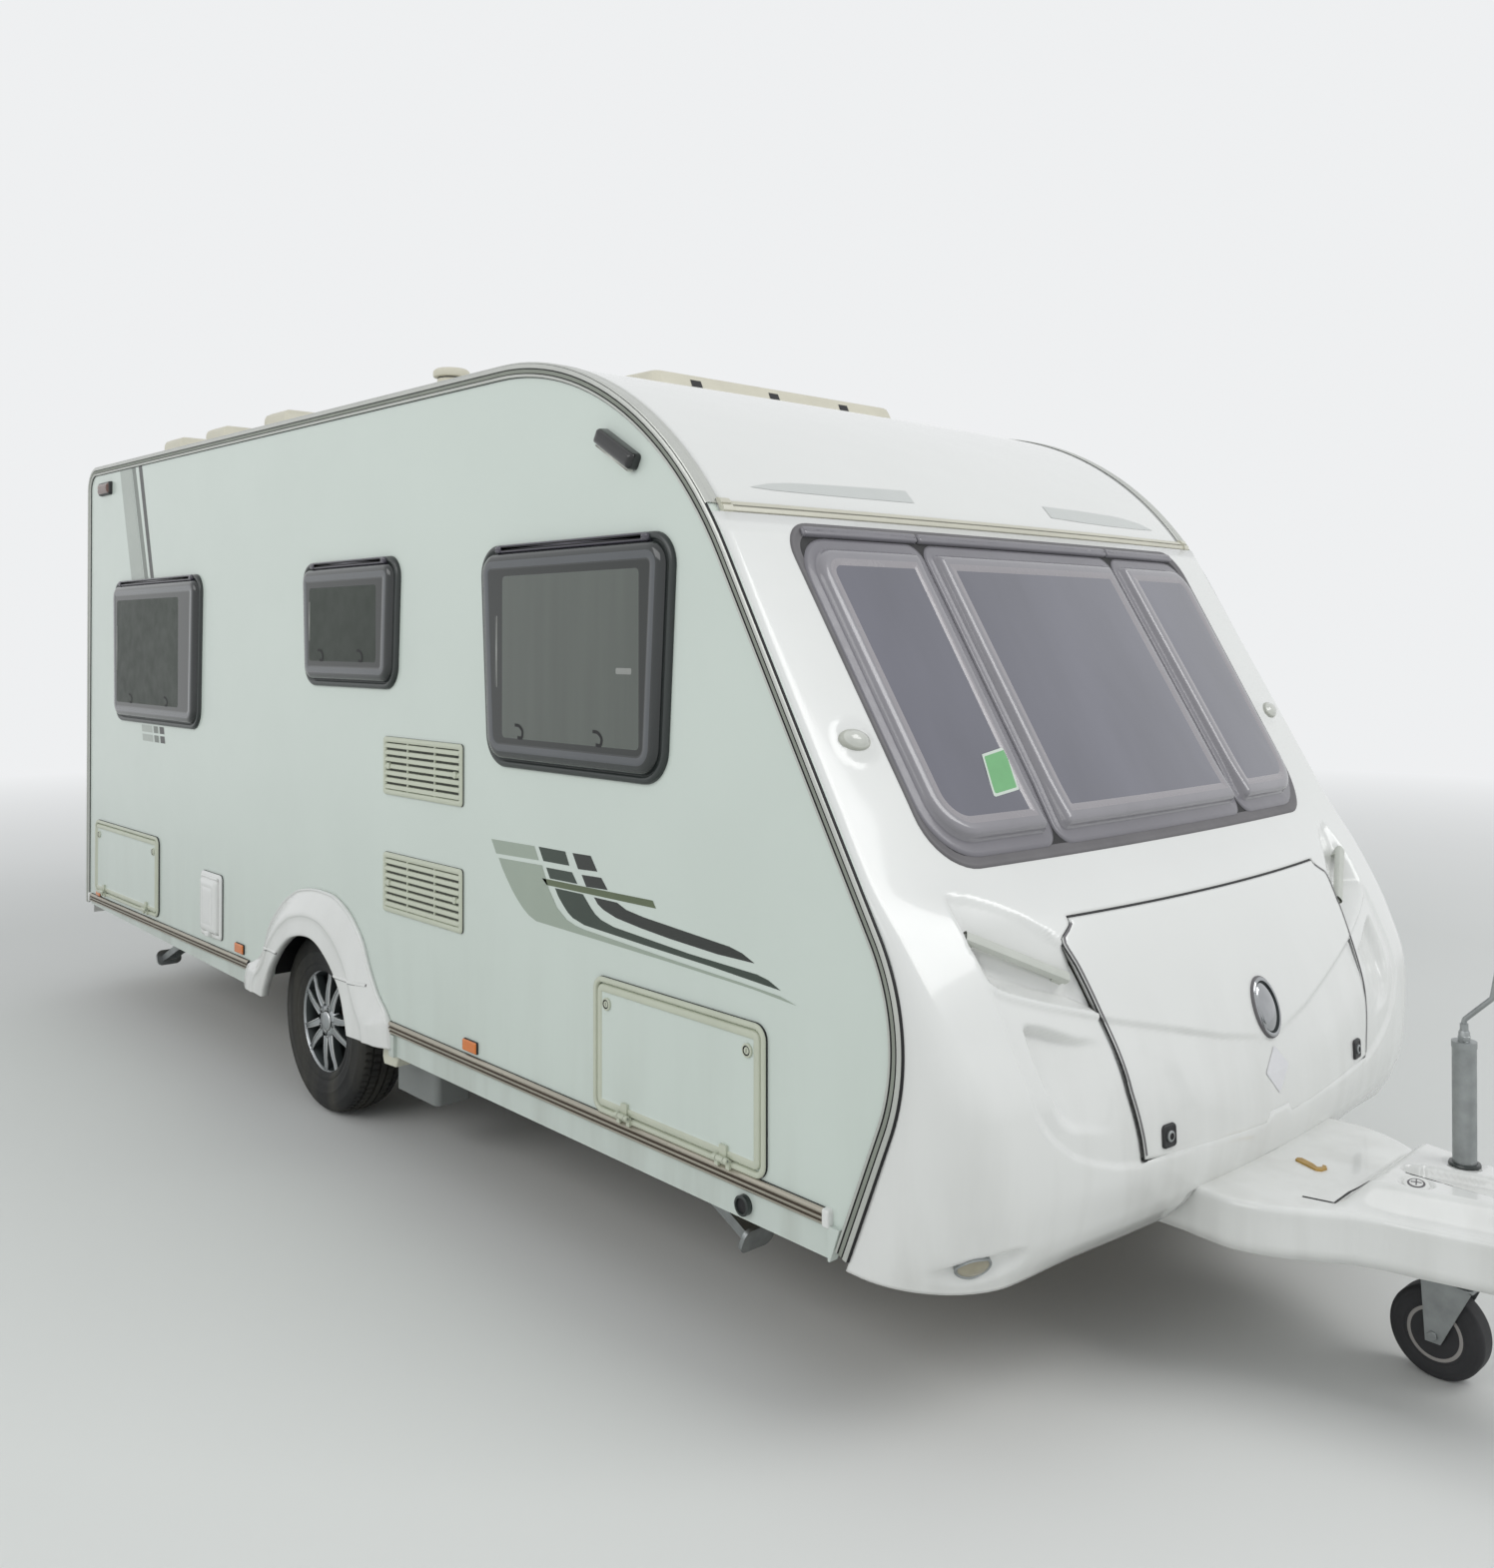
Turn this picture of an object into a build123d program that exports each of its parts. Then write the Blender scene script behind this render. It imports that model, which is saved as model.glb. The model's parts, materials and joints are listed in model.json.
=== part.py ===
from build123d import *
import os
from math import cos, radians, sin, tan

os.makedirs("parts", exist_ok=True)

# Travel caravan, in millimetres: +X forward to the coupling, +Y to the entrance side, +Z up,
# with its origin on the ground below the middle of its whole length.
# Stations run forward from the rear end of the belly rail, and heights run up from its middle.

# Driving dimensions of the body
body_width = 2200.0
tyre_radius = 325.0
axle_drop = 124.0
axle_station = 2400.0
rear_station = -60.0
roof_height = 2083.0
roof_drop = 55.0
roof_corner_station = 4336.0
nose_corner_station = 5260.0
nose_corner_height = 430.0
under_lean = 22.3
roof_rear_radius = 110.0
roof_front_radius = 1150.0
nose_side_radius = 470.0
coupling_station = 6560.0

# Body shell
wall = 30.0
roof_thickness = 30.0
floor_thickness = 45.0
wall_foot = -20.0
skirt_foot = -90.0
skirt_rear_foot = -34.0
skirt_rise = 12.0
skirt_thickness = 12.0
nose_foot = -100.0
front_wall = 30.0
cap_start_station = 3580.0
seam_height = 1558.0
cap_crown = 48.0
bulkhead_station = 4985.0
bulkhead_thickness = 25.0
locker_floor_height = -20.0
locker_floor_length = 400.0
locker_shelf_height = 715.0
panel_gap = 6.0
face_gap = 0.3

# Plan sections of the nose: height, station at the sides, station on the centreline, corner radius
nose_sections = [
    (nose_foot, 5290.0, 5388.0, 250.0),
    (0.0, 5332.0, 5448.0, 220.0),
    (90.0, 5345.0, 5465.0, 200.0),
    (270.0, 5348.0, 5448.0, 150.0),
    (430.0, 5285.0, 5395.0, 90.0),
    (620.0, 5175.0, 5300.0, 45.0),
    (745.0, 5090.0, 5150.0, 30.0),
]
seam_lead = 10.0
seam_corner_radius = 28.0
nose_back_station = 4880.0
seam_back_station = 4420.0

# Edge trims, belly rails and seam rail
trim_width = 40.0
trim_proud = 8.0
rail_width = 38.0
rail_proud = 14.0
rail_end = 5000.0
seam_rail_width = 34.0
seam_rail_proud = 12.0

# Wheels, spats and axle
tyre_width = 185.0
rim_radius = 203.0
rim_seat_radius = 178.0
hub_radius = 62.0
wheel_y = 955.0
bead_half = 78.0
flange = 8.0
spoke_face = 72.0
spoke_thickness = 34.0
spoke_pairs = 5
spoke_start = 67.0
lug_circle = 56.0
# Corners of one spoke of a pair: radius and angle from the pair's middle line
spoke_corners = [(58.0, 12.0), (172.0, 8.5), (172.0, 15.5), (58.0, 35.0)]
stub_radius = 20.0
hub_offset = 38.0
drum_radius = 114.0
drum_inner = 829.0
drum_outer = 905.0
backplate_y = 823.0
axle_half = 775.0
arm_height = 64.0
arm_thickness = 26.0
arch_station = 2435.0
arch_radius = 372.0
spat_height = 373.0
spat_rear_station = 1895.0
spat_front_station = 3050.0
spat_opening_radius = 325.0
spat_proud = 46.0
spat_thickness = 18.0
spat_rear_run = 150.0
spat_front_run = 70.0
spat_shoulder = 60.0
spat_foot_head = 20.0
spat_lead = 80.0
spat_opening_lead = 40.0
arch_lead = -35.0
arch_clearance = 12.0
axle_tube_radius = 50.0
axle_tube_lead = 165.0
axle_tube_lift = 30.0

# Wheel boxes inside the cabin
box_half_length = 380.0
box_height = 360.0
box_depth = 255.0
box_thickness = 6.0

# Side windows: name, rear station, front station, foot, head, taper of each side, corner radius
right_windows = [
    ("rear", 350.0, 1420.0, 876.0, 1521.0, 22.0, 75.0),
    ("kitchen", 2380.0, 3090.0, 1087.0, 1521.0, 22.0, 70.0),
    ("lounge", 3580.0, 4480.0, 884.0, 1521.0, 40.0, 85.0),
]
left_windows = [
    ("rear", 350.0, 1420.0, 876.0, 1521.0, 22.0, 75.0),
    ("lounge", 3720.0, 4480.0, 884.0, 1521.0, 40.0, 85.0),
]
window_border = 46.0
window_proud = 26.0
frame_proud = 12.0
glass_thickness = 10.0

# Front windows: half widths at head and foot of the three panes, heights
front_window_head = 1494.0
front_window_foot = 760.0
front_window_half_head = 893.0
front_window_half_foot = 858.0
front_divider = 447.0
front_window_border = 60.0
front_window_radius = 60.0
front_pane_gap = 6.0
front_pane_proud = 12.0

# Rear window
rear_window_half = 620.0
rear_window_foot = 900.0
rear_window_head = 1500.0

# Gas locker lid: half width and height of each corner, down one side to the notch in its foot
lid_corners = [
    (606.0, 622.0), (610.0, 606.0), (656.0, 572.0), (628.0, 428.0),
    (599.0, 260.0), (563.0, 103.0), (62.0, 72.0), (46.0, 94.0),
]
lid_top_gap = 12.0
lid_side_gap = 6.0
lid_thickness = 22.0
lid_cut_station = 5000.0
lid_hinge_station = 5292.0
lid_hinge_height = 628.0
lid_hinge_y = 170.0
lid_hinge_length = 36.0
lid_knuckle_radius = 4.5
lid_pin_radius = 2.5

# Handle recesses beside the lid, at the outer and inner end: distance from the middle,
# height and station of the head, height and station of the foot
recess_ends = [
    (908.0, 690.0, 5150.0, 530.0, 5262.0),
    (615.0, 560.0, 5292.0, 424.0, 5370.0),
]
recess_depth = 40.0
recess_lip = 16.0
recess_reach = 160.0
# Flutes below the recesses: distance from the middle and height of each corner
flute_corners = [(560.0, 345.0), (707.0, 390.0), (852.0, 438.0), (857.0, 368.0), (821.0, 248.0), (782.0, 210.0), (560.0, 160.0)]
flute_depth = 14.0

# Service hatches on the right side: name, rear station, front station, foot, head
hatches = [
    ("rear", 80.0, 930.0, 48.0, 385.0),
    ("front", 4140.0, 4800.0, 30.0, 370.0),
]
hatch_frame_width = 16.0
hatch_proud = 12.0
hatch_radius = 40.0
hatch_rim = 18.0
hatch_hinge_out = 21.0
hatch_hinge_up = 8.0
hatch_knuckle_radius = 5.0
hatch_lug = 6.0
hatch_lock_pad = 52.0
hatch_lock_radius = 14.0

# Entrance door on the left side
door_rear = 3062.0
door_front = 3602.0
door_foot = 30.0
door_head = 1760.0
door_radius = 70.0
door_thickness = 24.0
door_window_foot = 1000.0
door_window_head = 1500.0
door_window_inset = 110.0
hinge_offset = 8.0
knuckle_radius = 6.0
knuckle_length = 40.0
hinge_leaf = 3.0
hinge_pin_radius = 3.0
door_hinge_heights = [230.0, 900.0, 1570.0]

# Fridge vents: foot and head
vent_rear = 2980.0
vent_front = 3475.0
vents = [(747.0, 936.0), (368.0, 562.0)]
vent_proud = 8.0
vent_slats = 7
vent_border = 18.0

# Inlet box on the right wall and the socket flap to its rear
inlet_station = 1532.0
inlet_height = 178.0
inlet_width = 214.0
inlet_length = 262.0
inlet_proud = 34.0
flap_station = 1380.0
flap_width = 110.0
flap_length = 140.0
flap_proud = 22.0

# Lamps: places and sizes
marker_station = 4936.0
marker_y = 1022.0
marker_height = 1018.0
marker_half_width = 56.0
marker_half_height = 30.0
marker_proud = 30.0
# Side markers: station on the right, station on the left, height, width, length
side_markers = [
    (122.0, 122.0, 31.0, 60.0, 22.0),
    (1812.0, 1812.0, 50.0, 82.0, 38.0),
    (3520.0, 3960.0, 46.0, 78.0, 36.0),
]
side_marker_proud = 10.0
high_marker_station = 204.0
high_marker_height = 1968.0
high_marker_width = 160.0
high_marker_length = 62.0
high_marker_proud = 24.0
awning_lamp_station = 4248.0
awning_lamp_height = 1740.0
awning_lamp_width = 178.0
awning_lamp_length = 46.0
awning_lamp_angle = -30.0
awning_lamp_proud = 34.0
corner_lamp_station = 5300.0
corner_lamp_y = 1009.0
corner_lamp_height = -29.0
corner_lamp_radius = 28.0
corner_lamp_depth = 30.0
corner_lamp_turn = 38.0

# Rear bumper, lamp clusters and blank plate
rear_bumper_top = 215.0
rear_bumper_foot = -88.0
rear_bumper_radius = 50.0
rear_lamp_y = 960.0
rear_lamp_height = 380.0
rear_lamp_width = 120.0
rear_lamp_length = 290.0
rear_lamp_proud = 40.0
plate_height = 330.0
plate_width = 520.0
plate_length = 115.0
plate_proud = 6.0

# Grab handles on the nose: inner and outer end as (station, Y, height)
handle_ends = [(5308.0, 674.0, 503.0), (5210.0, 904.0, 612.0)]
handle_height = 22.0
handle_depth = 14.0
handle_corner = 4.0
handle_foot = 30.0
handle_reach = 45.0

# Chassis
member_height = 150.0
member_width = 45.0
member_y = 700.0
member_rear = 150.0
drawbar_split_station = 4060.0
drawbar_meet_station = 6180.0
drawbar_meet_y = 62.0
drawbar_height = 80.0
cross_members = [200.0, 1500.0, 3000.0, 4100.0]
drawbar_width = 45.0

# Drawbar cover: station and half width along its edge
cover_outline = [
    (5405.0, 325.0), (5528.0, 348.0), (5632.0, 304.0), (5744.0, 224.0),
    (5864.0, 188.0), (6002.0, 147.0), (6200.0, 104.0), (6250.0, 92.0),
]
cover_top = -10.0
cover_foot = -120.0
cover_thickness = 7.0
hump_rear = 5700.0
hump_front = 6215.0
hump_half = 142.0
hump_top = 52.0

# Coupling head and its ball socket
ball_radius = 25.0
socket_clearance = 0.4
socket_depth = 34.0
coupling_height = -45.0
coupling_width = 78.0
coupling_rear = 6040.0
yoke_thickness = 30.0
yoke_width = 180.0
head_radius = 42.0
brake_station = 6290.0
brake_angle = 62.0
brake_length = 330.0

# Jockey wheel
jockey_station = 5858.0
jockey_y = 90.0
jockey_outer_radius = 25.0
jockey_inner_radius = 19.0
jockey_wheel_radius = 105.0
jockey_wheel_width = 65.0
jockey_trail = 55.0
jockey_tube_top = 318.0
jockey_tube_foot = -100.0
jockey_clearance = 0.3
clamp_width = 44.0
clamp_gap = 8.0
jockey_lift_down = 120.0
jockey_lift_up = 110.0
pivot_radius = 12.0
jockey_axle_height = jockey_wheel_radius - tyre_radius - axle_drop

# Corner steadies: name, station of the pivot, side, direction of the folded leg
steady_length = 430.0
steady_width = 60.0
steady_depth = 34.0
steady_height = -78.0
steady_y = 880.0
steady_fold = 24.0
steady_foot_width = 110.0
steady_foot_height = 70.0
steady_plate = 6.0
steady_pin_radius = 7.0
steadies = [
    ("front_right", 4130.0, -1, 1),
    ("front_left", 4130.0, 1, 1),
    ("rear_right", 820.0, -1, -1),
    ("rear_left", 820.0, 1, -1),
]

# Roof fittings
rooflight_rear = 3040.0
rooflight_front = 3731.0
rooflight_half = 581.0
rooflight_proud = 66.0
rooflight_frame = 110.0
rooflight_slope = 25.0
small_vents = [(850.0, -860.0), (1340.0, -860.0), (1940.0, -860.0)]
small_vent_size = 240.0
small_vent_proud = 80.0
flue_station = 3200.0
flue_y = -830.0
flue_radius = 62.0
flue_proud = 75.0

# Box below the floor beside the right side member
under_box_station = 2990.0
under_box_length = 270.0
under_box_y = 925.0
under_box_width = 130.0
under_box_height = 240.0

# Values worked out from those above
half_width = body_width / 2
rail_height = tyre_radius + axle_drop
front_station = coupling_station + head_radius
rear_bumper_depth = 62.0
tail_station = rear_station - rear_bumper_depth
centre_station = (tail_station + front_station) / 2
roof_corner_height = roof_height - roof_drop
roof_fall = roof_drop / (roof_corner_station - rear_station)
slant = (nose_corner_station - roof_corner_station) / (roof_corner_height - nose_corner_height)
seam_side_station = roof_corner_station + (roof_corner_height - seam_height) * slant + seam_lead
inner_half = half_width - wall
axle_tube_height = axle_tube_lift - axle_drop
seam_station = seam_side_station - seam_corner_radius


def side_plane(y):
    """Plane along the caravan: local x is the station, local y the height, its normal is -Y"""
    return Plane(origin=(-centre_station, y, rail_height), x_dir=(1, 0, 0), z_dir=(0, -1, 0))


def plan_plane(height):
    """Level plane: local x is the station, local y is Y, its normal is +Z"""
    return Plane(origin=(-centre_station, 0, rail_height + height))


def front_plane(station):
    """Plane across the caravan: local x is Y, local y the height, its normal is +X"""
    return Plane(origin=(station - centre_station, 0, rail_height), x_dir=(0, 1, 0), z_dir=(1, 0, 0))


def under_station(height):
    """Station of the nose's lower edge line at a height"""
    return nose_corner_station - (nose_corner_height - height) * tan(radians(under_lean))


def side_outline(foot):
    """The caravan's side view above a height, as a face"""
    with BuildSketch() as outline:
        with BuildLine():
            FilletPolyline(
                (rear_station, foot),
                (rear_station, roof_height),
                (roof_corner_station, roof_corner_height),
                (nose_corner_station, nose_corner_height),
                (under_station(foot), foot),
                radius=[0, roof_rear_radius, roof_front_radius, nose_side_radius, 0],
                close=True,
            )
        make_face()
    return outline.sketch


def rounded_quad(head, foot, half_head, half_foot, middle, radius):
    """A four-sided face with level head and foot, symmetric about its middle"""
    with BuildSketch() as quad:
        with BuildLine():
            FilletPolyline(
                (middle - half_foot, foot),
                (middle + half_foot, foot),
                (middle + half_head, head),
                (middle - half_head, head),
                radius=radius,
                close=True,
            )
        make_face()
    return quad.sketch


def window_face(row, border):
    """Outline of a side window, drawn in by a border"""
    name, rear, front, foot, head, taper, radius = row
    half = (front - rear) / 2
    middle = (front + rear) / 2
    return rounded_quad(
        head - border, foot + border, half - border, half - taper - border, middle, max(radius - border, 20)
    )


def front_section(height, side, centre, radius, inset):
    """Plan section of the front moulding: flat sides, rounded corners and a crowned front"""
    back = nose_back_station if height <= nose_sections[-1][0] else seam_back_station
    half = half_width - inset
    with BuildSketch(plan_plane(height)) as section:
        with BuildLine():
            Polyline((side - inset, -half), (back, -half), (back, half), (side - inset, half))
            ThreePointArc((side - inset, half), (centre - inset, 0), (side - inset, -half))
        make_face()
        corners = vertices().sort_by(Axis.X)[-2:]
        fillet(corners, max(radius - inset, 8))
    return section.sketch


def nose_loft(inset):
    """Sections of the lower, bulging part of the front moulding"""
    return [front_section(*row, inset) for row in nose_sections]


def window_wall_loft(inset):
    """Sections of the upper, sloping part of the front moulding"""
    seam_row = (seam_height, seam_side_station, seam_side_station + cap_crown - 10, seam_corner_radius)
    return [front_section(*nose_sections[-1], inset), front_section(*seam_row, inset)]


def lid_outline(grow):
    """The gas locker lid in front view, grown on all sides"""
    left = [(-half, height) for half, height in reversed(lid_corners)]
    with BuildSketch(front_plane(lid_cut_station)) as outline:
        with BuildLine():
            Polyline(*lid_corners, *left, close=True)
        make_face()
        if grow > 0:
            offset(amount=grow)
    return outline.sketch


def recess_section(row, side, grow):
    """Side view of a handle recess at one end: its floor falls in from the head and ends on a lip"""
    y, head, head_station, foot, foot_station = row
    with BuildSketch(side_plane(side * y)) as section:
        with BuildLine():
            Polyline(
                (head_station - grow, head + grow),
                (foot_station - recess_depth - grow, foot + recess_lip),
                (foot_station - grow, foot - grow),
                (foot_station + recess_reach, foot - grow),
                (head_station + recess_reach, head + grow),
                close=True,
            )
        make_face()
    return section.sketch


def recess_loft(side, grow):
    """Sections of a handle recess, grown into the moulding"""
    outer, inner = recess_ends
    grown = (outer[0] + grow, *outer[1:])
    return [recess_section(grown, side, grow), recess_section(inner, side, grow)]


def flute_outline(side):
    """A flute beside the lid in front view"""
    with BuildSketch(front_plane(lid_cut_station)) as outline:
        with BuildLine():
            Polyline(*[(side * y, height) for y, height in flute_corners], close=True)
        make_face()
        fillet(outline.vertices(), 15)
    return outline.sketch


# Side walls with their windows, doorway, wheel arch and hatch openings
side_face = side_outline(wall_foot)

with BuildPart() as side_wall_right:
    with BuildSketch(side_plane(-inner_half)):
        add(side_face)
        for row in right_windows:
            add(window_face(row, window_border), mode=Mode.SUBTRACT)
        with Locations((arch_station + arch_lead, -axle_drop)):
            Circle(arch_radius - arch_clearance, mode=Mode.SUBTRACT)
        for name, rear, front, foot, head in hatches:
            with Locations(((rear + front) / 2, (foot + head) / 2)):
                Rectangle(
                    front - rear - 2 * hatch_frame_width, head - foot - 2 * hatch_frame_width, mode=Mode.SUBTRACT
                )
    extrude(amount=wall)
side_wall_right.part.label = "side_wall_right"
export_step(side_wall_right.part, "parts/side_wall_right.step")

with BuildPart() as side_wall_left:
    with BuildSketch(side_plane(half_width)):
        add(side_face)
        for row in left_windows:
            add(window_face(row, window_border), mode=Mode.SUBTRACT)
        with Locations((arch_station + arch_lead, -axle_drop)):
            Circle(arch_radius - arch_clearance, mode=Mode.SUBTRACT)
        with BuildLine():
            FilletPolyline(
                (door_rear - panel_gap, door_foot - panel_gap),
                (door_front + panel_gap, door_foot - panel_gap),
                (door_front + panel_gap, door_head + panel_gap),
                (door_rear - panel_gap, door_head + panel_gap),
                radius=[0, 0, door_radius, door_radius],
                close=True,
            )
        make_face(mode=Mode.SUBTRACT)
    extrude(amount=wall)
side_wall_left.part.label = "side_wall_left"
export_step(side_wall_left.part, "parts/side_wall_left.step")

# Roof panel: a band below the side view's edge, with the rooflight's opening
with BuildPart() as roof_panel:
    with BuildSketch(side_plane(inner_half)):
        add(side_face)
        offset(amount=-roof_thickness, mode=Mode.SUBTRACT)
        with Locations(((rear_station + cap_start_station) / 2, roof_height)):
            Rectangle(cap_start_station - rear_station, 2 * roof_rear_radius + 80, mode=Mode.INTERSECT)
    extrude(amount=2 * inner_half)
    with BuildSketch(plan_plane(roof_height - 150)):
        with Locations(((rooflight_rear + rooflight_front) / 2 - 90, 0)):
            Rectangle(rooflight_front - rooflight_rear - 320, 2 * rooflight_half - 160)
    extrude(amount=300, mode=Mode.SUBTRACT)
roof_panel.part.label = "roof_panel"
export_step(roof_panel.part, "parts/roof_panel.step")


def cap_section(y, crown):
    """Section of the roof's front cap: level, one arc, then the slant down to the seam"""
    with BuildSketch(side_plane(y)) as section:
        with BuildLine():
            FilletPolyline(
                (rear_station, nose_corner_height),
                (rear_station, roof_height),
                (roof_corner_station + crown, roof_corner_height),
                (nose_corner_station + crown, nose_corner_height),
                radius=[0, 0, roof_front_radius, 0],
                close=True,
            )
        make_face()
        offset(amount=-roof_thickness, mode=Mode.SUBTRACT)
        with Locations((cap_start_station, seam_height)):
            Rectangle(2000, 1000, align=(Align.MIN, Align.MIN), mode=Mode.INTERSECT)
    return section.sketch


with BuildPart() as roof_front_cap:
    loft([cap_section(-inner_half, 0), cap_section(0, cap_crown), cap_section(inner_half, 0)])
roof_front_cap.part.label = "roof_front_cap"
export_step(roof_front_cap.part, "parts/roof_front_cap.step")

# Rear panel with its window opening
with BuildPart() as rear_panel:
    with BuildSketch(front_plane(rear_station)):
        with Locations((0, (wall_foot + roof_height - roof_rear_radius - 40) / 2)):
            Rectangle(2 * inner_half, roof_height - roof_rear_radius - 40 - wall_foot)
        middle = (rear_window_foot + rear_window_head) / 2
        with Locations((0, middle)):
            RectangleRounded(
                2 * (rear_window_half - window_border), rear_window_head - rear_window_foot - 2 * window_border, 40,
                mode=Mode.SUBTRACT,
            )
    extrude(amount=wall)
rear_panel.part.label = "rear_panel"
export_step(rear_panel.part, "parts/rear_panel.step")

front_openings = [
    (front_divider - 50, front_divider - 50, 0),
    ((front_window_half_head - front_divider) / 2 - 52, (front_window_half_foot - front_divider) / 2 - 52,
     (front_window_half_foot + front_divider) / 2),
    ((front_window_half_head - front_divider) / 2 - 52, (front_window_half_foot - front_divider) / 2 - 52,
     -(front_window_half_foot + front_divider) / 2),
]

# Space inside the nose: its wall steps in behind each handle recess
with BuildPart() as nose_space:
    loft(nose_loft(front_wall))
    for side in (-1, 1):
        loft(recess_loft(side, front_wall), mode=Mode.SUBTRACT)

# Skin that the flutes take off the nose
with BuildPart() as flutes:
    loft(nose_loft(-flute_depth))
    loft(nose_loft(flute_depth), mode=Mode.SUBTRACT)
    extrude(to_extrude=flute_outline(-1) + flute_outline(1), amount=800, mode=Mode.INTERSECT)

# Front moulding: nose and window wall as one shell, open for the windows and the locker lid
with BuildPart() as front_panel:
    loft(nose_loft(0))
    loft(window_wall_loft(0))
    for side in (-1, 1):
        loft(recess_loft(side, 0), mode=Mode.SUBTRACT)
    add(flutes.part, mode=Mode.SUBTRACT)
    add(nose_space.part, mode=Mode.SUBTRACT)
    loft(window_wall_loft(front_wall), mode=Mode.SUBTRACT)
    for y in (-inner_half, half_width):
        with BuildSketch(side_plane(y)):
            add(side_outline(nose_foot - 10))
        extrude(amount=wall, mode=Mode.SUBTRACT)
    with BuildSketch(front_plane(4300)):
        for half_head, half_foot, middle in front_openings:
            add(rounded_quad(
                front_window_head - front_window_border, front_window_foot + front_window_border,
                half_head, half_foot, middle, 30,
            ))
    extrude(amount=1500, mode=Mode.SUBTRACT)
    extrude(to_extrude=lid_outline(lid_side_gap), amount=800, mode=Mode.SUBTRACT)
    with BuildSketch(front_plane(lid_cut_station)):
        with Locations((0, lid_corners[0][1])):
            Rectangle(2 * lid_corners[0][0] + 2 * lid_side_gap, 2 * lid_top_gap)
    extrude(amount=800, mode=Mode.SUBTRACT)
    with BuildSketch(front_plane(bulkhead_station)):
        with Locations((0, cover_top + face_gap)):
            Rectangle(2 * cover_outline[1][1], 200, align=(Align.CENTER, Align.MAX))
    extrude(amount=800, mode=Mode.SUBTRACT)
    for side in (-1, 1):
        with BuildSketch(side_plane(side * lid_hinge_y)):
            with Locations((lid_hinge_station, lid_hinge_height)):
                Circle(lid_pin_radius)
        extrude(amount=lid_hinge_length / 2 + 8, both=True)
        for end in (-1, 1):
            with BuildSketch(side_plane(side * lid_hinge_y + end * (lid_hinge_length / 2 + 5))):
                with Locations((lid_hinge_station, lid_hinge_height)):
                    Circle(lid_knuckle_radius)
                with Locations((lid_hinge_station + 2, lid_hinge_height)):
                    Rectangle(22, 14, align=(Align.MAX, Align.MIN))
            extrude(amount=3, both=True)
front_panel.part.label = "front_panel"
export_step(front_panel.part, "parts/front_panel.step")

# Gas locker lid, cut from the same shell
with BuildPart() as locker_lid:
    loft(nose_loft(0))
    loft(nose_loft(lid_thickness), mode=Mode.SUBTRACT)
    extrude(to_extrude=lid_outline(0), amount=800, mode=Mode.INTERSECT)
    for side in (-1, 1):
        with BuildSketch(side_plane(side * lid_hinge_y)):
            with Locations((lid_hinge_station, lid_hinge_height)):
                Circle(lid_knuckle_radius)
                Rectangle(2 * lid_knuckle_radius, 16, align=(Align.CENTER, Align.MAX))
        extrude(amount=lid_hinge_length / 2, both=True)
        with BuildSketch(side_plane(side * lid_hinge_y)):
            with Locations((lid_hinge_station, lid_hinge_height)):
                Circle(lid_pin_radius + face_gap)
        extrude(amount=lid_hinge_length, both=True, mode=Mode.SUBTRACT)
locker_lid.part.label = "locker_lid"
export_step(locker_lid.part, "parts/locker_lid.step")

# Gas locker tub: bulkhead, shelf and floor, fitted inside the moulding and the side walls
with BuildPart() as locker_tub:
    with BuildSketch(side_plane(inner_half)):
        with Locations((bulkhead_station, locker_floor_height)):
            Rectangle(
                bulkhead_thickness, locker_shelf_height - locker_floor_height, align=(Align.MIN, Align.MIN)
            )
            Rectangle(locker_floor_length, bulkhead_thickness, align=(Align.MIN, Align.MIN))
        with Locations((bulkhead_station, locker_shelf_height)):
            Rectangle(300, bulkhead_thickness, align=(Align.MIN, Align.MAX))
    extrude(amount=2 * inner_half)
    loft(nose_loft(front_wall), mode=Mode.INTERSECT)
locker_tub.part.label = "locker_tub"
export_step(locker_tub.part, "parts/locker_tub.step")


def front_pane_outline():
    """Outlines of the three panes of the front window"""
    gap = front_pane_gap / 2
    head = front_window_head
    foot = front_window_foot
    with BuildSketch(front_plane(4300)) as panes:
        with BuildLine():
            FilletPolyline(
                (-front_divider + gap, foot),
                (front_divider - gap, foot),
                (front_divider - gap, head),
                (-front_divider + gap, head),
                radius=[12, 12, 12, 12],
                close=True,
            )
        make_face()
        for side in (-1, 1):
            with BuildLine():
                FilletPolyline(
                    (side * (front_divider + gap), foot),
                    (side * front_window_half_foot, foot),
                    (side * front_window_half_head, head),
                    (side * (front_divider + gap), head),
                    radius=[12, front_window_radius, front_window_radius, 12],
                    close=True,
                )
            make_face()
    return panes.sketch


# Front window panes, one skin over the moulding
with BuildPart() as front_windows:
    loft(window_wall_loft(-front_pane_proud))
    loft(window_wall_loft(-face_gap), mode=Mode.SUBTRACT)
    extrude(to_extrude=front_pane_outline(), amount=1500, mode=Mode.INTERSECT)
front_windows.part.label = "front_windows"
export_step(front_windows.part, "parts/front_windows.step")


# Side windows: a tinted pane standing proud of the wall, on a rim
for side, rows in ((-1, right_windows), (1, left_windows)):
    hand = "right" if side < 0 else "left"
    with BuildPart() as side_windows:
        for row in rows:
            with BuildSketch(side_plane(side * half_width)):
                add(window_face(row, 0))
            extrude(amount=-side * frame_proud)
            with BuildSketch(side_plane(side * (half_width + frame_proud))):
                add(window_face(row, 6))
            extrude(amount=-side * (window_proud - frame_proud), taper=40)
            with BuildSketch(side_plane(side * half_width)):
                add(window_face(row, window_border))
            extrude(amount=-side * (window_proud - glass_thickness), mode=Mode.SUBTRACT)
    side_windows.part.label = f"side_windows_{hand}"
    export_step(side_windows.part, f"parts/side_windows_{hand}.step")

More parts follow.
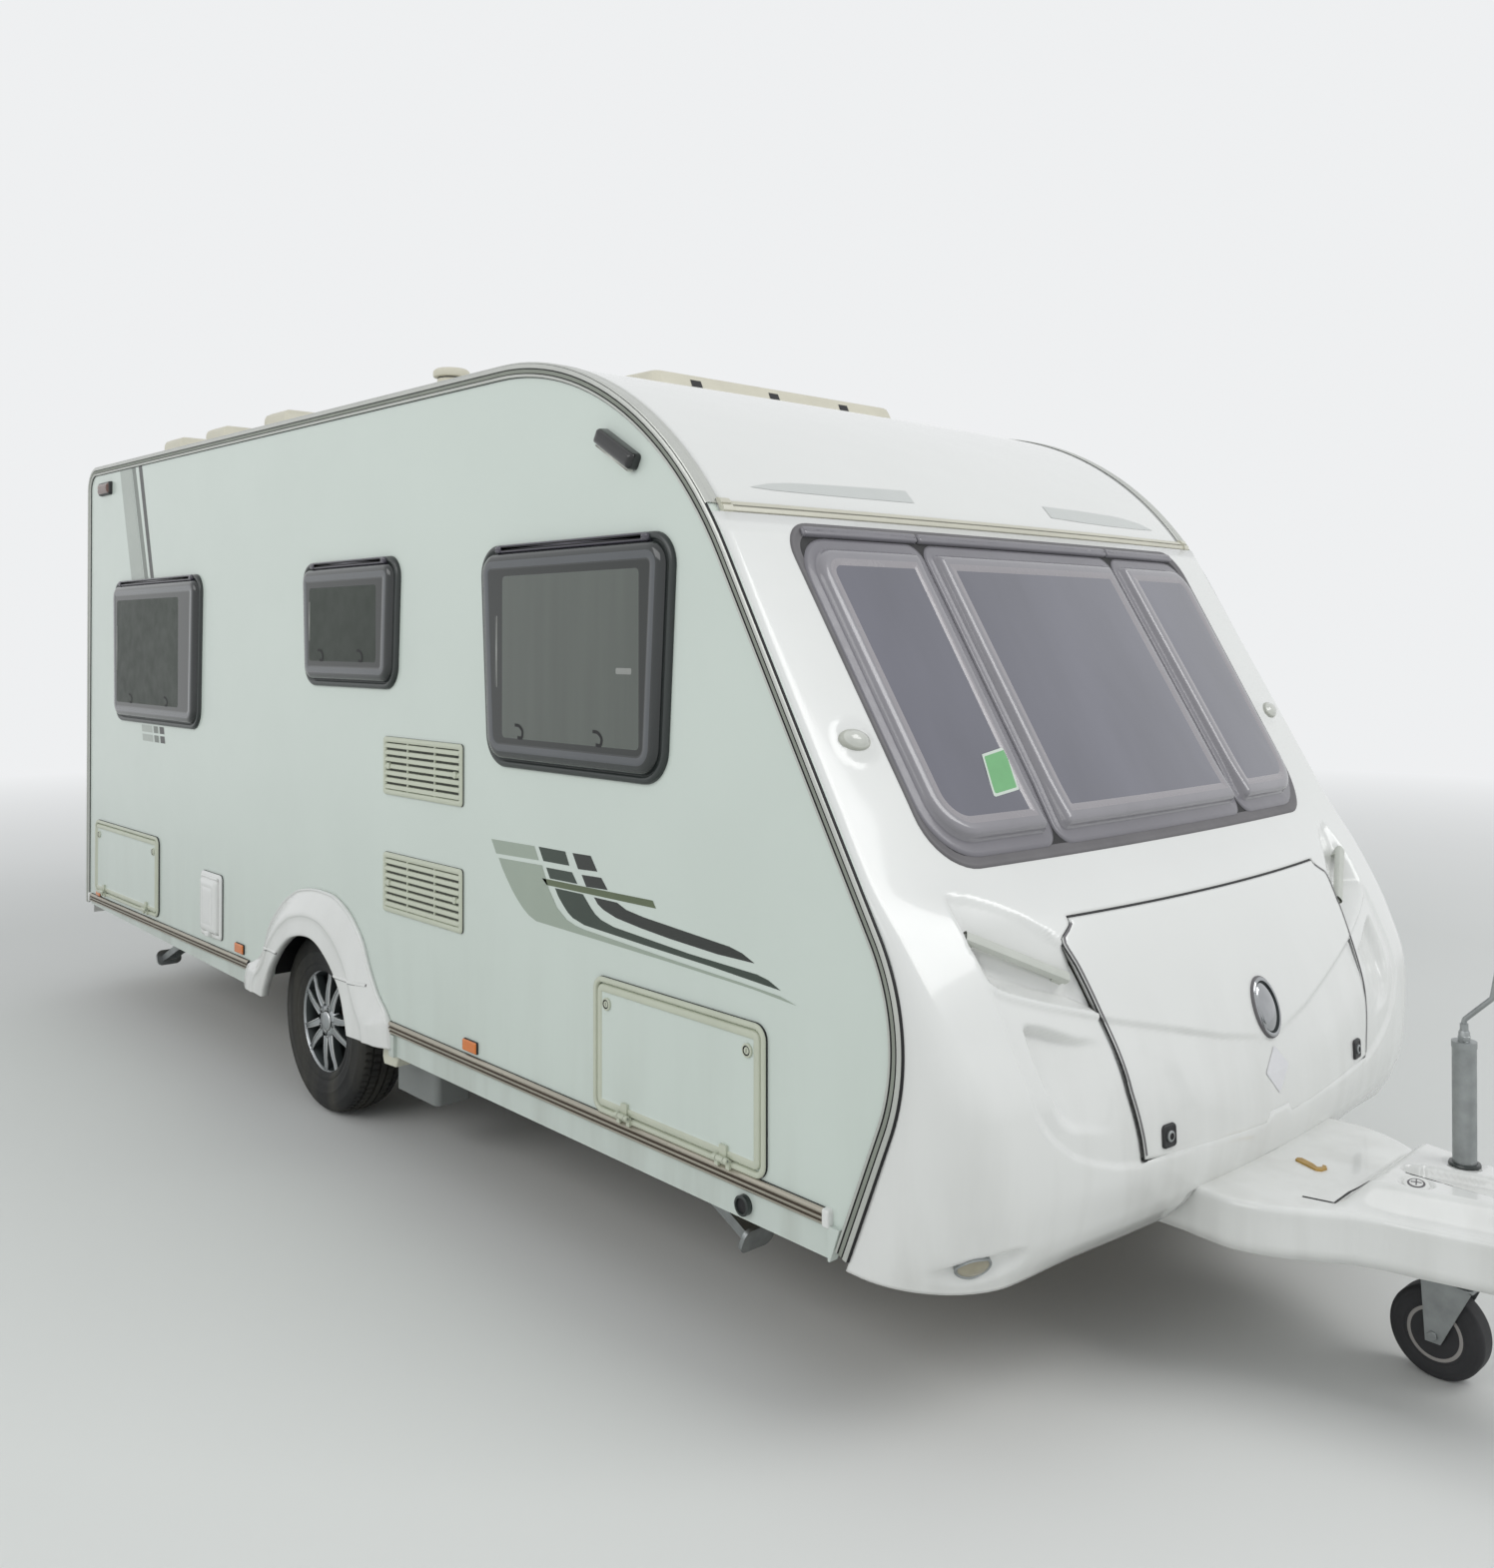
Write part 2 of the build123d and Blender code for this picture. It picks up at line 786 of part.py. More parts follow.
# Rear window on the rear panel
with BuildPart() as rear_window:
    middle = (rear_window_foot + rear_window_head) / 2
    height = rear_window_head - rear_window_foot
    with BuildSketch(front_plane(rear_station)):
        with Locations((0, middle)):
            RectangleRounded(2 * rear_window_half, height, 80)
    extrude(amount=-frame_proud)
    with BuildSketch(front_plane(rear_station - frame_proud)):
        with Locations((0, middle)):
            RectangleRounded(2 * rear_window_half - 12, height - 12, 74)
    extrude(amount=-(window_proud - frame_proud), taper=40)
    with BuildSketch(front_plane(rear_station)):
        with Locations((0, middle)):
            RectangleRounded(2 * (rear_window_half - window_border), height - 2 * window_border, 40)
    extrude(amount=-(window_proud - glass_thickness), mode=Mode.SUBTRACT)
rear_window.part.label = "rear_window"
export_step(rear_window.part, "parts/rear_window.step")

# Floor between the side walls, open over each wheel
with BuildPart() as floor_panel:
    with BuildSketch(plan_plane(wall_foot)):
        with Locations(((rear_station + wall + bulkhead_station) / 2, 0)):
            Rectangle(bulkhead_station - rear_station - wall, 2 * inner_half)
        for side in (-1, 1):
            with Locations((axle_station, side * (inner_half - box_depth / 2))):
                Rectangle(2 * box_half_length, box_depth, mode=Mode.SUBTRACT)
    extrude(amount=floor_thickness)
floor_panel.part.label = "floor_panel"
export_step(floor_panel.part, "parts/floor_panel.step")

# Wheel boxes: half-round covers over the wheels, inside the cabin
with BuildPart() as wheel_boxes:
    for side in (-1, 1):
        with BuildSketch(side_plane(max(side * inner_half, side * (inner_half - box_depth)))):
            with Locations((axle_station, wall_foot)):
                Rectangle(2 * box_half_length, box_height, align=(Align.CENTER, Align.MIN))
            fillet(vertices().group_by(Axis.Y)[-1], 160)
        extrude(amount=box_depth)
        with BuildSketch(side_plane(side * inner_half)):
            with Locations((axle_station, wall_foot)):
                Rectangle(
                    2 * (box_half_length - box_thickness), box_height - box_thickness,
                    align=(Align.CENTER, Align.MIN),
                )
            fillet(vertices().group_by(Axis.Y)[-1], 160 - box_thickness)
        extrude(amount=side * (box_depth - box_thickness), mode=Mode.SUBTRACT)
wheel_boxes.part.label = "wheel_boxes"
export_step(wheel_boxes.part, "parts/wheel_boxes.step")

# Edge trims: a band on each side wall along its rear, roof and front edge
with BuildPart() as edge_trims:
    for side in (-1, 1):
        with BuildSketch(side_plane(side * half_width)):
            add(side_outline(skirt_foot))
            offset(amount=-trim_width, mode=Mode.SUBTRACT)
            with Locations((0, skirt_foot)):
                Rectangle(
                    under_station(skirt_foot) - trim_width / cos(radians(under_lean)), trim_width + 1,
                    align=(Align.MIN, Align.MIN), mode=Mode.SUBTRACT,
                )
            with Locations((rear_station, skirt_foot)):
                Rectangle(
                    2 * trim_width, skirt_rear_foot - skirt_foot, align=(Align.MIN, Align.MIN), mode=Mode.SUBTRACT
                )
        extrude(amount=-side * trim_proud)
edge_trims.part.label = "edge_trims"
export_step(edge_trims.part, "parts/edge_trims.step")

# Belly rails: a low rail along each side wall, broken by the wheel spat
with BuildPart() as belly_rails:
    for side in (-1, 1):
        for start, end in ((trim_width - 20, spat_rear_station), (spat_front_station, rail_end)):
            with BuildSketch(front_plane(start)):
                with Locations((side * half_width, 0)):
                    SlotOverall(rail_width, 2 * rail_proud, rotation=90)
                with Locations((side * (half_width - rail_width), 0)):
                    Rectangle(2 * rail_width, 2 * rail_width, mode=Mode.SUBTRACT)
            extrude(amount=end - start)
belly_rails.part.label = "belly_rails"
export_step(belly_rails.part, "parts/belly_rails.step")

# Skirts below the belly rails
with BuildPart() as side_skirts:
    for side in (-1, 1):
        with BuildSketch(side_plane(side * (half_width - face_gap))):
            with BuildLine():
                Polyline(
                    (0, wall_foot), (spat_rear_station, wall_foot), (spat_rear_station, skirt_foot + skirt_rise),
                    (0, skirt_rear_foot), close=True,
                )
            make_face()
            with Locations((spat_front_station, skirt_foot)):
                Rectangle(rail_end - spat_front_station, wall_foot - skirt_foot, align=(Align.MIN, Align.MIN))
        extrude(amount=side * skirt_thickness)
side_skirts.part.label = "side_skirts"
export_step(side_skirts.part, "parts/side_skirts.step")

# Wheel arch spats: a bulged half ring over each wheel with a foot at both ends
with BuildPart() as wheel_arch_spats:
    for side in (-1, 1):
        with BuildSketch(side_plane(side * half_width)):
            with BuildLine():
                outer_arc = ThreePointArc(
                    (spat_rear_station + spat_rear_run, spat_shoulder), (arch_station + spat_lead, spat_height),
                    (spat_front_station - spat_front_run, spat_shoulder),
                )
                Polyline(
                    outer_arc @ 1, (spat_front_station, spat_foot_head), (spat_front_station, skirt_foot),
                    (spat_rear_station, skirt_foot + skirt_rise), (spat_rear_station, spat_foot_head),
                    outer_arc @ 0,
                )
            make_face()
            with Locations((axle_station + spat_opening_lead, -axle_drop)):
                Circle(spat_opening_radius, mode=Mode.SUBTRACT)
        extrude(amount=-side * spat_proud)
    outer_edges = edges().filter_by(GeomType.CIRCLE).filter_by(
        lambda edge: abs(abs(edge.center().Y) - half_width - spat_proud) < 1
    )
    chamfer(outer_edges, spat_proud - spat_thickness)
wheel_arch_spats.part.label = "wheel_arch_spats"
export_step(wheel_arch_spats.part, "parts/wheel_arch_spats.step")

# Chassis: two side members, cross members and the drawbar that runs in to the coupling
with BuildPart() as chassis_frame:
    for side in (-1, 1):
        with BuildSketch(side_plane(side * member_y + member_width / 2)):
            with BuildLine():
                Polyline(
                    (member_rear, wall_foot), (drawbar_split_station, wall_foot),
                    (drawbar_split_station, wall_foot - drawbar_height),
                    (axle_station + 700, wall_foot - member_height), (axle_station - 500, wall_foot - member_height),
                    (member_rear, wall_foot - drawbar_height), close=True,
                )
            make_face()
            with Locations((axle_station + axle_tube_lead, axle_tube_height)):
                Circle(axle_tube_radius + face_gap, mode=Mode.SUBTRACT)
        extrude(amount=member_width)
        with BuildSketch(plan_plane(wall_foot)):
            with BuildLine():
                Line(
                    (drawbar_split_station - 20, side * member_y),
                    (drawbar_meet_station, side * drawbar_meet_y),
                )
            trace(line_width=drawbar_width)
        extrude(amount=-drawbar_height)
    for station in cross_members:
        with BuildSketch(front_plane(station)):
            with Locations((0, wall_foot)):
                Rectangle(2 * member_y, drawbar_height, align=(Align.CENTER, Align.MAX))
        extrude(amount=drawbar_width)
    with BuildSketch(front_plane(coupling_rear - yoke_thickness)):
        with Locations((0, wall_foot)):
            Rectangle(yoke_width, drawbar_height, align=(Align.CENTER, Align.MAX))
    extrude(amount=yoke_thickness)
chassis_frame.part.label = "chassis_frame"
export_step(chassis_frame.part, "parts/chassis_frame.step")

# Axle: a tube through the side members, with an arm, a stub axle and a backplate at each end
with BuildPart() as axle_beam:
    with BuildSketch(side_plane(axle_half)):
        with Locations((axle_station + axle_tube_lead, axle_tube_height)):
            Circle(axle_tube_radius)
    extrude(amount=2 * axle_half)
axle_beam.part.label = "axle_beam"
export_step(axle_beam.part, "parts/axle_beam.step")

with BuildPart() as suspension_arms:
    for side in (-1, 1):
        with BuildSketch(side_plane(side * (axle_half + face_gap))):
            with BuildLine():
                Line((axle_station, -axle_drop), (axle_station + axle_tube_lead, axle_tube_height))
            trace(line_width=arm_height)
            with Locations((axle_station, -axle_drop), (axle_station + axle_tube_lead, axle_tube_height)):
                Circle(arm_height / 2)
        extrude(amount=-side * arm_thickness)
        arm_face = axle_half + face_gap + arm_thickness
        with BuildSketch(side_plane(side * arm_face)):
            with Locations((axle_station, -axle_drop)):
                Circle(stub_radius)
        extrude(amount=-side * (wheel_y + hub_offset - 40 - arm_face))
        with BuildSketch(side_plane(side * backplate_y)):
            with Locations((axle_station, -axle_drop)):
                Circle(drum_radius - 3)
        extrude(amount=-side * 4)
suspension_arms.part.label = "suspension_arms"
export_step(suspension_arms.part, "parts/suspension_arms.step")

# Wheels: drum, tyre and a five twin-spoke alloy on each side
with BuildSketch() as spoke_shape:
    for bend in (-1, 1):
        with BuildLine():
            Polyline(
                *[
                    (radius * cos(radians(angle)), bend * radius * sin(radians(angle)))
                    for radius, angle in spoke_corners
                ],
                close=True,
            )
        make_face()
spoke_pair = spoke_shape.sketch

for side in (-1, 1):
    hand = "right" if side < 0 else "left"
    wheel_axis = Axis((axle_station - centre_station, 0, tyre_radius), (0, 1, 0))
    section_plane = Plane(
        origin=(axle_station - centre_station, side * wheel_y, tyre_radius), x_dir=(0, side, 0),
        z_dir=(side, 0, 0),
    )
    half = tyre_width / 2
    with BuildPart() as tyre:
        with BuildSketch(section_plane):
            with BuildLine():
                FilletPolyline(
                    (-bead_half, rim_seat_radius + face_gap), (bead_half, rim_seat_radius + face_gap),
                    (bead_half, rim_radius + 3), (half, 262), (half - 10, tyre_radius),
                    (10 - half, tyre_radius), (-half, 262), (-bead_half, rim_radius + 3),
                    radius=[0, 0, 6, 40, 18, 18, 40, 6], close=True,
                )
            make_face()
        revolve(axis=wheel_axis)
    tyre.part.label = f"tyre_{hand}"
    export_step(tyre.part, f"parts/tyre_{hand}.step")

    face_plane = Plane(
        origin=(axle_station - centre_station, side * (wheel_y + spoke_face), tyre_radius), x_dir=(1, 0, 0),
        z_dir=(0, side, 0),
    )
    with BuildPart() as alloy:
        with BuildSketch(section_plane):
            with BuildLine():
                Polyline(
                    (-bead_half - flange, rim_radius), (-bead_half - 0.3, rim_radius),
                    (-bead_half - 0.3, rim_seat_radius), (bead_half + 0.3, rim_seat_radius),
                    (bead_half + 0.3, rim_radius), (bead_half + flange, rim_radius),
                    (bead_half + flange - 2, rim_seat_radius - 4), (bead_half - 16, rim_seat_radius - 9),
                    (-bead_half - flange, rim_seat_radius - 9), close=True,
                )
            make_face()
        revolve(axis=wheel_axis)
        with BuildSketch(face_plane):
            Circle(hub_radius + 12)
            with PolarLocations(0, spoke_pairs, start_angle=spoke_start):
                add(spoke_pair)
            with PolarLocations(lug_circle, spoke_pairs, start_angle=spoke_start):
                Circle(10, mode=Mode.SUBTRACT)
        extrude(amount=-spoke_thickness)
        with BuildSketch(face_plane):
            Circle(hub_radius - 26)
        extrude(amount=7)
    alloy.part.label = f"alloy_{hand}"
    export_step(alloy.part, f"parts/alloy_{hand}.step")

    with BuildPart() as drum:
        with BuildSketch(section_plane):
            with BuildLine():
                Polyline(
                    (drum_inner - wheel_y, stub_radius + face_gap), (drum_inner - wheel_y, drum_radius),
                    (drum_outer - wheel_y, drum_radius), (drum_outer - wheel_y, hub_radius),
                    (spoke_face - spoke_thickness - face_gap, hub_radius),
                    (spoke_face - spoke_thickness - face_gap, 0), (hub_offset - 36, 0),
                    (hub_offset - 36, stub_radius + face_gap), close=True,
                )
            make_face()
        revolve(axis=wheel_axis)
    drum.part.label = f"drum_{hand}"
    export_step(drum.part, f"parts/drum_{hand}.step")

# Drawbar cover: a thin moulded lid over the drawbar with a raised front, open below
def cover_face(inset):
    """Plan outline of the drawbar cover, drawn in"""
    right = [(station, inset - half) for station, half in cover_outline]
    left = [(station, half - inset) for station, half in reversed(cover_outline)]
    with BuildSketch() as outline:
        with BuildLine():
            Polyline(*right, *left, close=True)
        make_face()
    return outline.sketch


with BuildPart() as drawbar_cover:
    with BuildSketch(plan_plane(cover_foot)):
        add(cover_face(0))
    extrude(amount=cover_top - cover_foot)
    with BuildSketch(plan_plane(cover_top)):
        with Locations(((hump_rear + hump_front) / 2, 0)):
            Trapezoid(hump_front - hump_rear, 2 * hump_half, 62, rotation=-90)
    extrude(amount=hump_top - cover_top, taper=20)
    with BuildSketch(plan_plane(cover_foot)):
        add(cover_face(cover_thickness))
    extrude(amount=cover_top - cover_foot - cover_thickness, mode=Mode.SUBTRACT)
    with BuildSketch(plan_plane(cover_foot)):
        with Locations((jockey_station, jockey_y)):
            Circle(jockey_outer_radius + 12)
    extrude(amount=hump_top - cover_foot, mode=Mode.SUBTRACT)
    with BuildSketch(front_plane(cover_outline[-1][0] + 1)):
        with Locations((0, cover_top - cover_thickness)):
            Rectangle(coupling_width + 2 * panel_gap, 150, align=(Align.CENTER, Align.MAX))
    extrude(amount=-2 * cover_thickness, mode=Mode.SUBTRACT)
drawbar_cover.part.label = "drawbar_cover"
export_step(drawbar_cover.part, "parts/drawbar_cover.step")

# Coupling head: a drawn tube with a hooded socket for a ball, its release handle and grip
with BuildPart() as coupling_head:
    with BuildSketch(side_plane(coupling_width / 2)):
        with BuildLine():
            FilletPolyline(
                (coupling_rear, coupling_height - 34), (coupling_station, coupling_height - 30),
                (coupling_station, coupling_height + 40), (coupling_station - 150, coupling_height + 34),
                (cover_outline[-1][0], coupling_height + 24), (coupling_rear, coupling_height + 24),
                radius=[0, 0, 0, 30, 30, 0], close=True,
            )
        make_face()
    extrude(amount=coupling_width)
    with BuildSketch(plan_plane(coupling_height - 30)):
        with Locations((coupling_station, 0)):
            Circle(head_radius)
    extrude(amount=70)
    with BuildSketch(plan_plane(coupling_height - 30 - head_radius)):
        with Locations((coupling_station, 0)):
            Circle(ball_radius + socket_clearance)
    extrude(amount=head_radius + socket_depth, mode=Mode.SUBTRACT)
    with BuildSketch(side_plane(18)):
        with BuildLine():
            FilletPolyline(
                (coupling_station + 6, coupling_height + 40), (coupling_station + 20, coupling_height + 62),
                (coupling_station - 60, coupling_height + 104), (coupling_station - 190, coupling_height + 112),
                (coupling_station - 190, coupling_height + 90), (coupling_station - 70, coupling_height + 76),
                (coupling_station - 40, coupling_height + 40),
                radius=[0, 14, 30, 8, 8, 20, 0], close=True,
            )
        make_face()
    extrude(amount=36)
coupling_head.part.label = "coupling_head"
export_step(coupling_head.part, "parts/coupling_head.step")

# Handbrake lever beside the coupling, pulled on
with BuildPart() as handbrake_lever:
    with BuildSketch(side_plane(-coupling_width / 2 - face_gap)):
        with Locations((brake_station, coupling_height)):
            Circle(24)
            with Locations(Rotation(0, 0, brake_angle)):
                Rectangle(brake_length, 22, align=(Align.MIN, Align.CENTER))
    extrude(amount=10)
    with BuildSketch(side_plane(-coupling_width / 2 - face_gap + 6)):
        with Locations((brake_station, coupling_height)):
            with Locations(Rotation(0, 0, brake_angle)):
                with Locations((brake_length - 110, 0)):
                    SlotOverall(130, 32)
    extrude(amount=22)
handbrake_lever.part.label = "handbrake_lever"
export_step(handbrake_lever.part, "parts/handbrake_lever.step")

# Jockey wheel: clamp and outer tube, telescoping inner tube, swivelling fork and wheel
clamp_reach = drawbar_meet_y + (drawbar_meet_station - jockey_station) * (member_y - drawbar_meet_y) / (
    drawbar_meet_station - drawbar_split_station + 20
) - drawbar_width / 2 - jockey_y - clamp_gap

with BuildPart() as jockey_tube:
    with BuildSketch(plan_plane(jockey_tube_foot)):
        with Locations((jockey_station, jockey_y)):
            Circle(jockey_outer_radius)
    extrude(amount=jockey_tube_top - jockey_tube_foot)
    with BuildSketch(plan_plane(jockey_tube_top)):
        with Locations((jockey_station, jockey_y)):
            Circle(jockey_outer_radius + 2)
    extrude(amount=14)
    with BuildSketch(plan_plane(wall_foot - 15)):
        with Locations((jockey_station, jockey_y)):
            Circle(jockey_outer_radius + 10)
            Rectangle(clamp_width, clamp_reach, align=(Align.CENTER, Align.MIN))
    extrude(amount=-50)
    with BuildSketch(plan_plane(jockey_tube_foot)):
        with Locations((jockey_station, jockey_y)):
            Circle(jockey_inner_radius + jockey_clearance)
    extrude(amount=jockey_tube_top - jockey_tube_foot - 20, mode=Mode.SUBTRACT)
    with BuildSketch(plan_plane(jockey_tube_top + 14)):
        with Locations((jockey_station, jockey_y)):
            Circle(9)
    extrude(amount=40)
    with BuildLine(side_plane(jockey_y)):
        crank = FilletPolyline(
            (jockey_station, jockey_tube_top + 40), (jockey_station, jockey_tube_top + 62),
            (jockey_station + 60, jockey_tube_top + 122), (jockey_station + 72, jockey_tube_top + 190),
            radius=14,
        )
    with BuildSketch(Plane(origin=crank @ 0, z_dir=crank % 0)):
        Circle(6)
    sweep()
jockey_tube.part.label = "jockey_tube"
export_step(jockey_tube.part, "parts/jockey_tube.step")

fork_top = jockey_wheel_radius * 2 - rail_height + 14

with BuildPart() as jockey_inner:
    with BuildSketch(plan_plane(fork_top + 8)):
        with Locations((jockey_station, jockey_y)):
            Circle(jockey_inner_radius)
    extrude(amount=jockey_tube_foot + 240 - fork_top)
    with BuildSketch(plan_plane(fork_top + 8)):
        with Locations((jockey_station, jockey_y)):
            Circle(pivot_radius + jockey_clearance)
    extrude(amount=60, mode=Mode.SUBTRACT)
jockey_inner.part.label = "jockey_inner"
export_step(jockey_inner.part, "parts/jockey_inner.step")

with BuildPart() as jockey_fork:
    with BuildSketch(plan_plane(fork_top)):
        with Locations((jockey_station - jockey_trail / 2, jockey_y)):
            RectangleRounded(jockey_trail + 60, jockey_wheel_width + 24, 12)
    extrude(amount=8 - jockey_clearance)
    with BuildSketch(plan_plane(fork_top)):
        with Locations((jockey_station, jockey_y)):
            Circle(pivot_radius)
    extrude(amount=60)
    for side in (-1, 1):
        with BuildSketch(side_plane(jockey_y + side * (jockey_wheel_width / 2 + 12) - (0 if side > 0 else -5))):
            with BuildLine():
                Polyline(
                    (jockey_station + 28, fork_top + 2), (jockey_station - jockey_trail - 26, fork_top + 2),
                    (jockey_station - jockey_trail - 17, jockey_axle_height - 16),
                    (jockey_station - jockey_trail + 17, jockey_axle_height - 16), close=True,
                )
            make_face()
        extrude(amount=5)
    with BuildSketch(side_plane(jockey_y + jockey_wheel_width / 2 + 10)):
        with Locations((jockey_station - jockey_trail, jockey_axle_height)):
            Circle(8)
    extrude(amount=jockey_wheel_width + 20)
jockey_fork.part.label = "jockey_fork"
export_step(jockey_fork.part, "parts/jockey_fork.step")

with BuildPart() as jockey_wheel:
    with BuildSketch(side_plane(jockey_y + jockey_wheel_width / 2)):
        with Locations((jockey_station - jockey_trail, jockey_axle_height)):
            Circle(jockey_wheel_radius)
    extrude(amount=jockey_wheel_width)
    fillet(edges().filter_by(GeomType.CIRCLE), 14)
    with BuildSketch(side_plane(jockey_y + jockey_wheel_width / 2 + 1)):
        with Locations((jockey_station - jockey_trail, jockey_axle_height)):
            Circle(8 + jockey_clearance)
    extrude(amount=jockey_wheel_width + 2, mode=Mode.SUBTRACT)
jockey_wheel.part.label = "jockey_wheel"
export_step(jockey_wheel.part, "parts/jockey_wheel.step")

# Corner steadies: brackets below the floor, and legs folded up along the caravan
with BuildPart() as steady_brackets:
    for name, station, side, direction in steadies:
        for cheek in (-1, 1):
            cheek_y = side * steady_y + cheek * (steady_width / 2 + 1 + steady_plate / 2)
            with BuildSketch(side_plane(cheek_y)):
                with BuildLine():
                    Polyline(
                        (station - 70, wall_foot), (station + 70, wall_foot),
                        (station + 20, steady_height - 16), (station - 20, steady_height - 16), close=True,
                    )
                make_face()
            extrude(amount=steady_plate / 2, both=True)
        with BuildSketch(side_plane(side * steady_y)):
            with Locations((station, steady_height)):
                Circle(steady_pin_radius)
        extrude(amount=steady_width / 2 + 2, both=True)
steady_brackets.part.label = "steady_brackets"
export_step(steady_brackets.part, "parts/steady_brackets.step")

for name, station, side, direction in steadies:
    leg_plane = Plane(
        origin=(station - centre_station, side * steady_y, rail_height + steady_height),
        x_dir=(direction * cos(radians(steady_fold)), 0, -sin(radians(steady_fold))),
        z_dir=(0, -direction, 0),
    )
    with BuildPart() as steady_leg:
        with BuildSketch(leg_plane):
            with BuildLine():
                Polyline(
                    (-18, -17), (-18, 17), (60, 17), (steady_length, 10), (steady_length, -17), close=True
                )
            make_face()
        extrude(amount=steady_width / 2, both=True)
        with BuildSketch(leg_plane):
            with BuildLine():
                Polyline(
                    (30, -18), (30, 13), (steady_length - 20, 6), (steady_length - 20, -18), close=True
                )
            make_face()
        extrude(amount=steady_width / 2 - 4, both=True, mode=Mode.SUBTRACT)
        with BuildSketch(leg_plane):
            Circle(steady_pin_radius + face_gap)
        extrude(amount=steady_width, both=True, mode=Mode.SUBTRACT)
        foot_origin = leg_plane.origin + leg_plane.x_dir * steady_length
        with BuildSketch(Plane(origin=foot_origin, x_dir=(0, 1, 0), z_dir=leg_plane.x_dir)):
            RectangleRounded(steady_foot_width, steady_foot_height, 24)
        extrude(amount=12)
    steady_leg.part.label = f"steady_{name}"
    export_step(steady_leg.part, f"parts/steady_{name}.step")

# Entrance door: slab, tinted window, handle and hinges
with BuildPart() as entrance_door:
    with BuildSketch(side_plane(half_width)):
        with BuildLine():
            FilletPolyline(
                (door_rear, door_foot), (door_front, door_foot), (door_front, door_head), (door_rear, door_head),
                radius=[0, 0, door_radius - panel_gap, door_radius - panel_gap], close=True,
            )
        make_face()
        with Locations(((door_rear + door_front) / 2, (door_window_foot + door_window_head) / 2)):
            RectangleRounded(
                door_front - door_rear - 2 * door_window_inset, door_window_head - door_window_foot, 50,
                mode=Mode.SUBTRACT,
            )
    extrude(amount=door_thickness)
    for height in door_hinge_heights:
        with BuildSketch(side_plane(half_width)):
            with Locations((door_front + panel_gap / 2, height)):
                Rectangle(50, knuckle_length, align=(Align.MAX, Align.CENTER))
        extrude(amount=-hinge_leaf)
        with BuildSketch(plan_plane(height - knuckle_length / 2)):
            with Locations((door_front + panel_gap / 2, half_width + hinge_offset)):
                Circle(knuckle_radius)
        extrude(amount=knuckle_length)
        with BuildSketch(plan_plane(height - knuckle_length / 2)):
            with Locations((door_front + panel_gap / 2, half_width + hinge_offset)):
                Circle(hinge_pin_radius + face_gap)
        extrude(amount=knuckle_length, mode=Mode.SUBTRACT)
    with BuildSketch(side_plane(half_width)):
        with Locations((door_rear + 60, 860)):
            RectangleRounded(46, 130, 16)
    extrude(amount=-9)
    with BuildSketch(side_plane(half_width + 9)):
        with Locations((door_rear + 78, 885)):
            RectangleRounded(80, 24, 11)
    extrude(amount=-18)
entrance_door.part.label = "entrance_door"
export_step(entrance_door.part, "parts/entrance_door.step")

with BuildPart() as door_window:
    with BuildSketch(side_plane(half_width)):
        with Locations(((door_rear + door_front) / 2, (door_window_foot + door_window_head) / 2)):
            RectangleRounded(
                door_front - door_rear - 2 * door_window_inset - 2 * face_gap,
                door_window_head - door_window_foot - 2 * face_gap, 50,
            )
    extrude(amount=door_thickness - 4)
    with BuildSketch(side_plane(half_width)):
        with Locations(((door_rear + door_front) / 2, (door_window_foot + door_window_head) / 2)):
            RectangleRounded(
                door_front - door_rear - 2 * door_window_inset + 30, door_window_head - door_window_foot + 30, 62
            )
    extrude(amount=-8, taper=30)
door_window.part.label = "door_window"
export_step(door_window.part, "parts/door_window.step")

with BuildPart() as door_hinges:
    for height in door_hinge_heights:
        for end in (-1, 1):
            middle = height + end * (knuckle_length + 3)
            with BuildSketch(side_plane(half_width)):
                with Locations((door_front + panel_gap / 2 + 5, middle)):
                    Rectangle(40, knuckle_length, align=(Align.MIN, Align.CENTER))
            extrude(amount=-hinge_leaf)
            with BuildSketch(plan_plane(middle - knuckle_length / 2)):
                with Locations((door_front + panel_gap / 2, half_width + hinge_offset)):
                    Circle(knuckle_radius)
                with Locations((door_front + panel_gap / 2, half_width + hinge_leaf)):
                    Rectangle(10, hinge_offset - hinge_leaf, align=(Align.MIN, Align.MIN))
            extrude(amount=knuckle_length)
        with BuildSketch(plan_plane(height - knuckle_length - 10)):
            with Locations((door_front + panel_gap / 2, half_width + hinge_offset)):
                Circle(hinge_pin_radius)
        extrude(amount=2 * knuckle_length + 20)
door_hinges.part.label = "door_hinges"
export_step(door_hinges.part, "parts/door_hinges.step")

# Service hatches on the right wall: fixed frames, and doors hinged along their foot
with BuildPart() as hatch_frames:
    for name, rear, front, foot, head in hatches:
        with BuildSketch(side_plane(-half_width)):
            with Locations(((rear + front) / 2, (foot + head) / 2)):
                RectangleRounded(front - rear, head - foot, hatch_radius)
                RectangleRounded(
                    front - rear - 2 * hatch_frame_width, head - foot - 2 * hatch_frame_width,
                    hatch_radius - hatch_frame_width, mode=Mode.SUBTRACT,
                )
        extrude(amount=hatch_proud - 2)
        for end in (-1, 1):
            middle = (rear + front) / 2 + end * (front - rear) / 4
            with BuildSketch(front_plane(middle - knuckle_length / 2)):
                with Locations((-half_width - hatch_hinge_out, foot + hatch_hinge_up)):
                    Circle(hinge_pin_radius)
            extrude(amount=knuckle_length)
            with BuildSketch(front_plane(middle - knuckle_length / 2)):
                with Locations((-half_width - hatch_hinge_out, foot + hatch_hinge_up)):
                    Circle(hinge_pin_radius)
                    Rectangle(hatch_hinge_out, 2 * hinge_pin_radius, align=(Align.MIN, Align.CENTER))
            extrude(amount=hatch_lug)
hatch_frames.part.label = "hatch_frames"
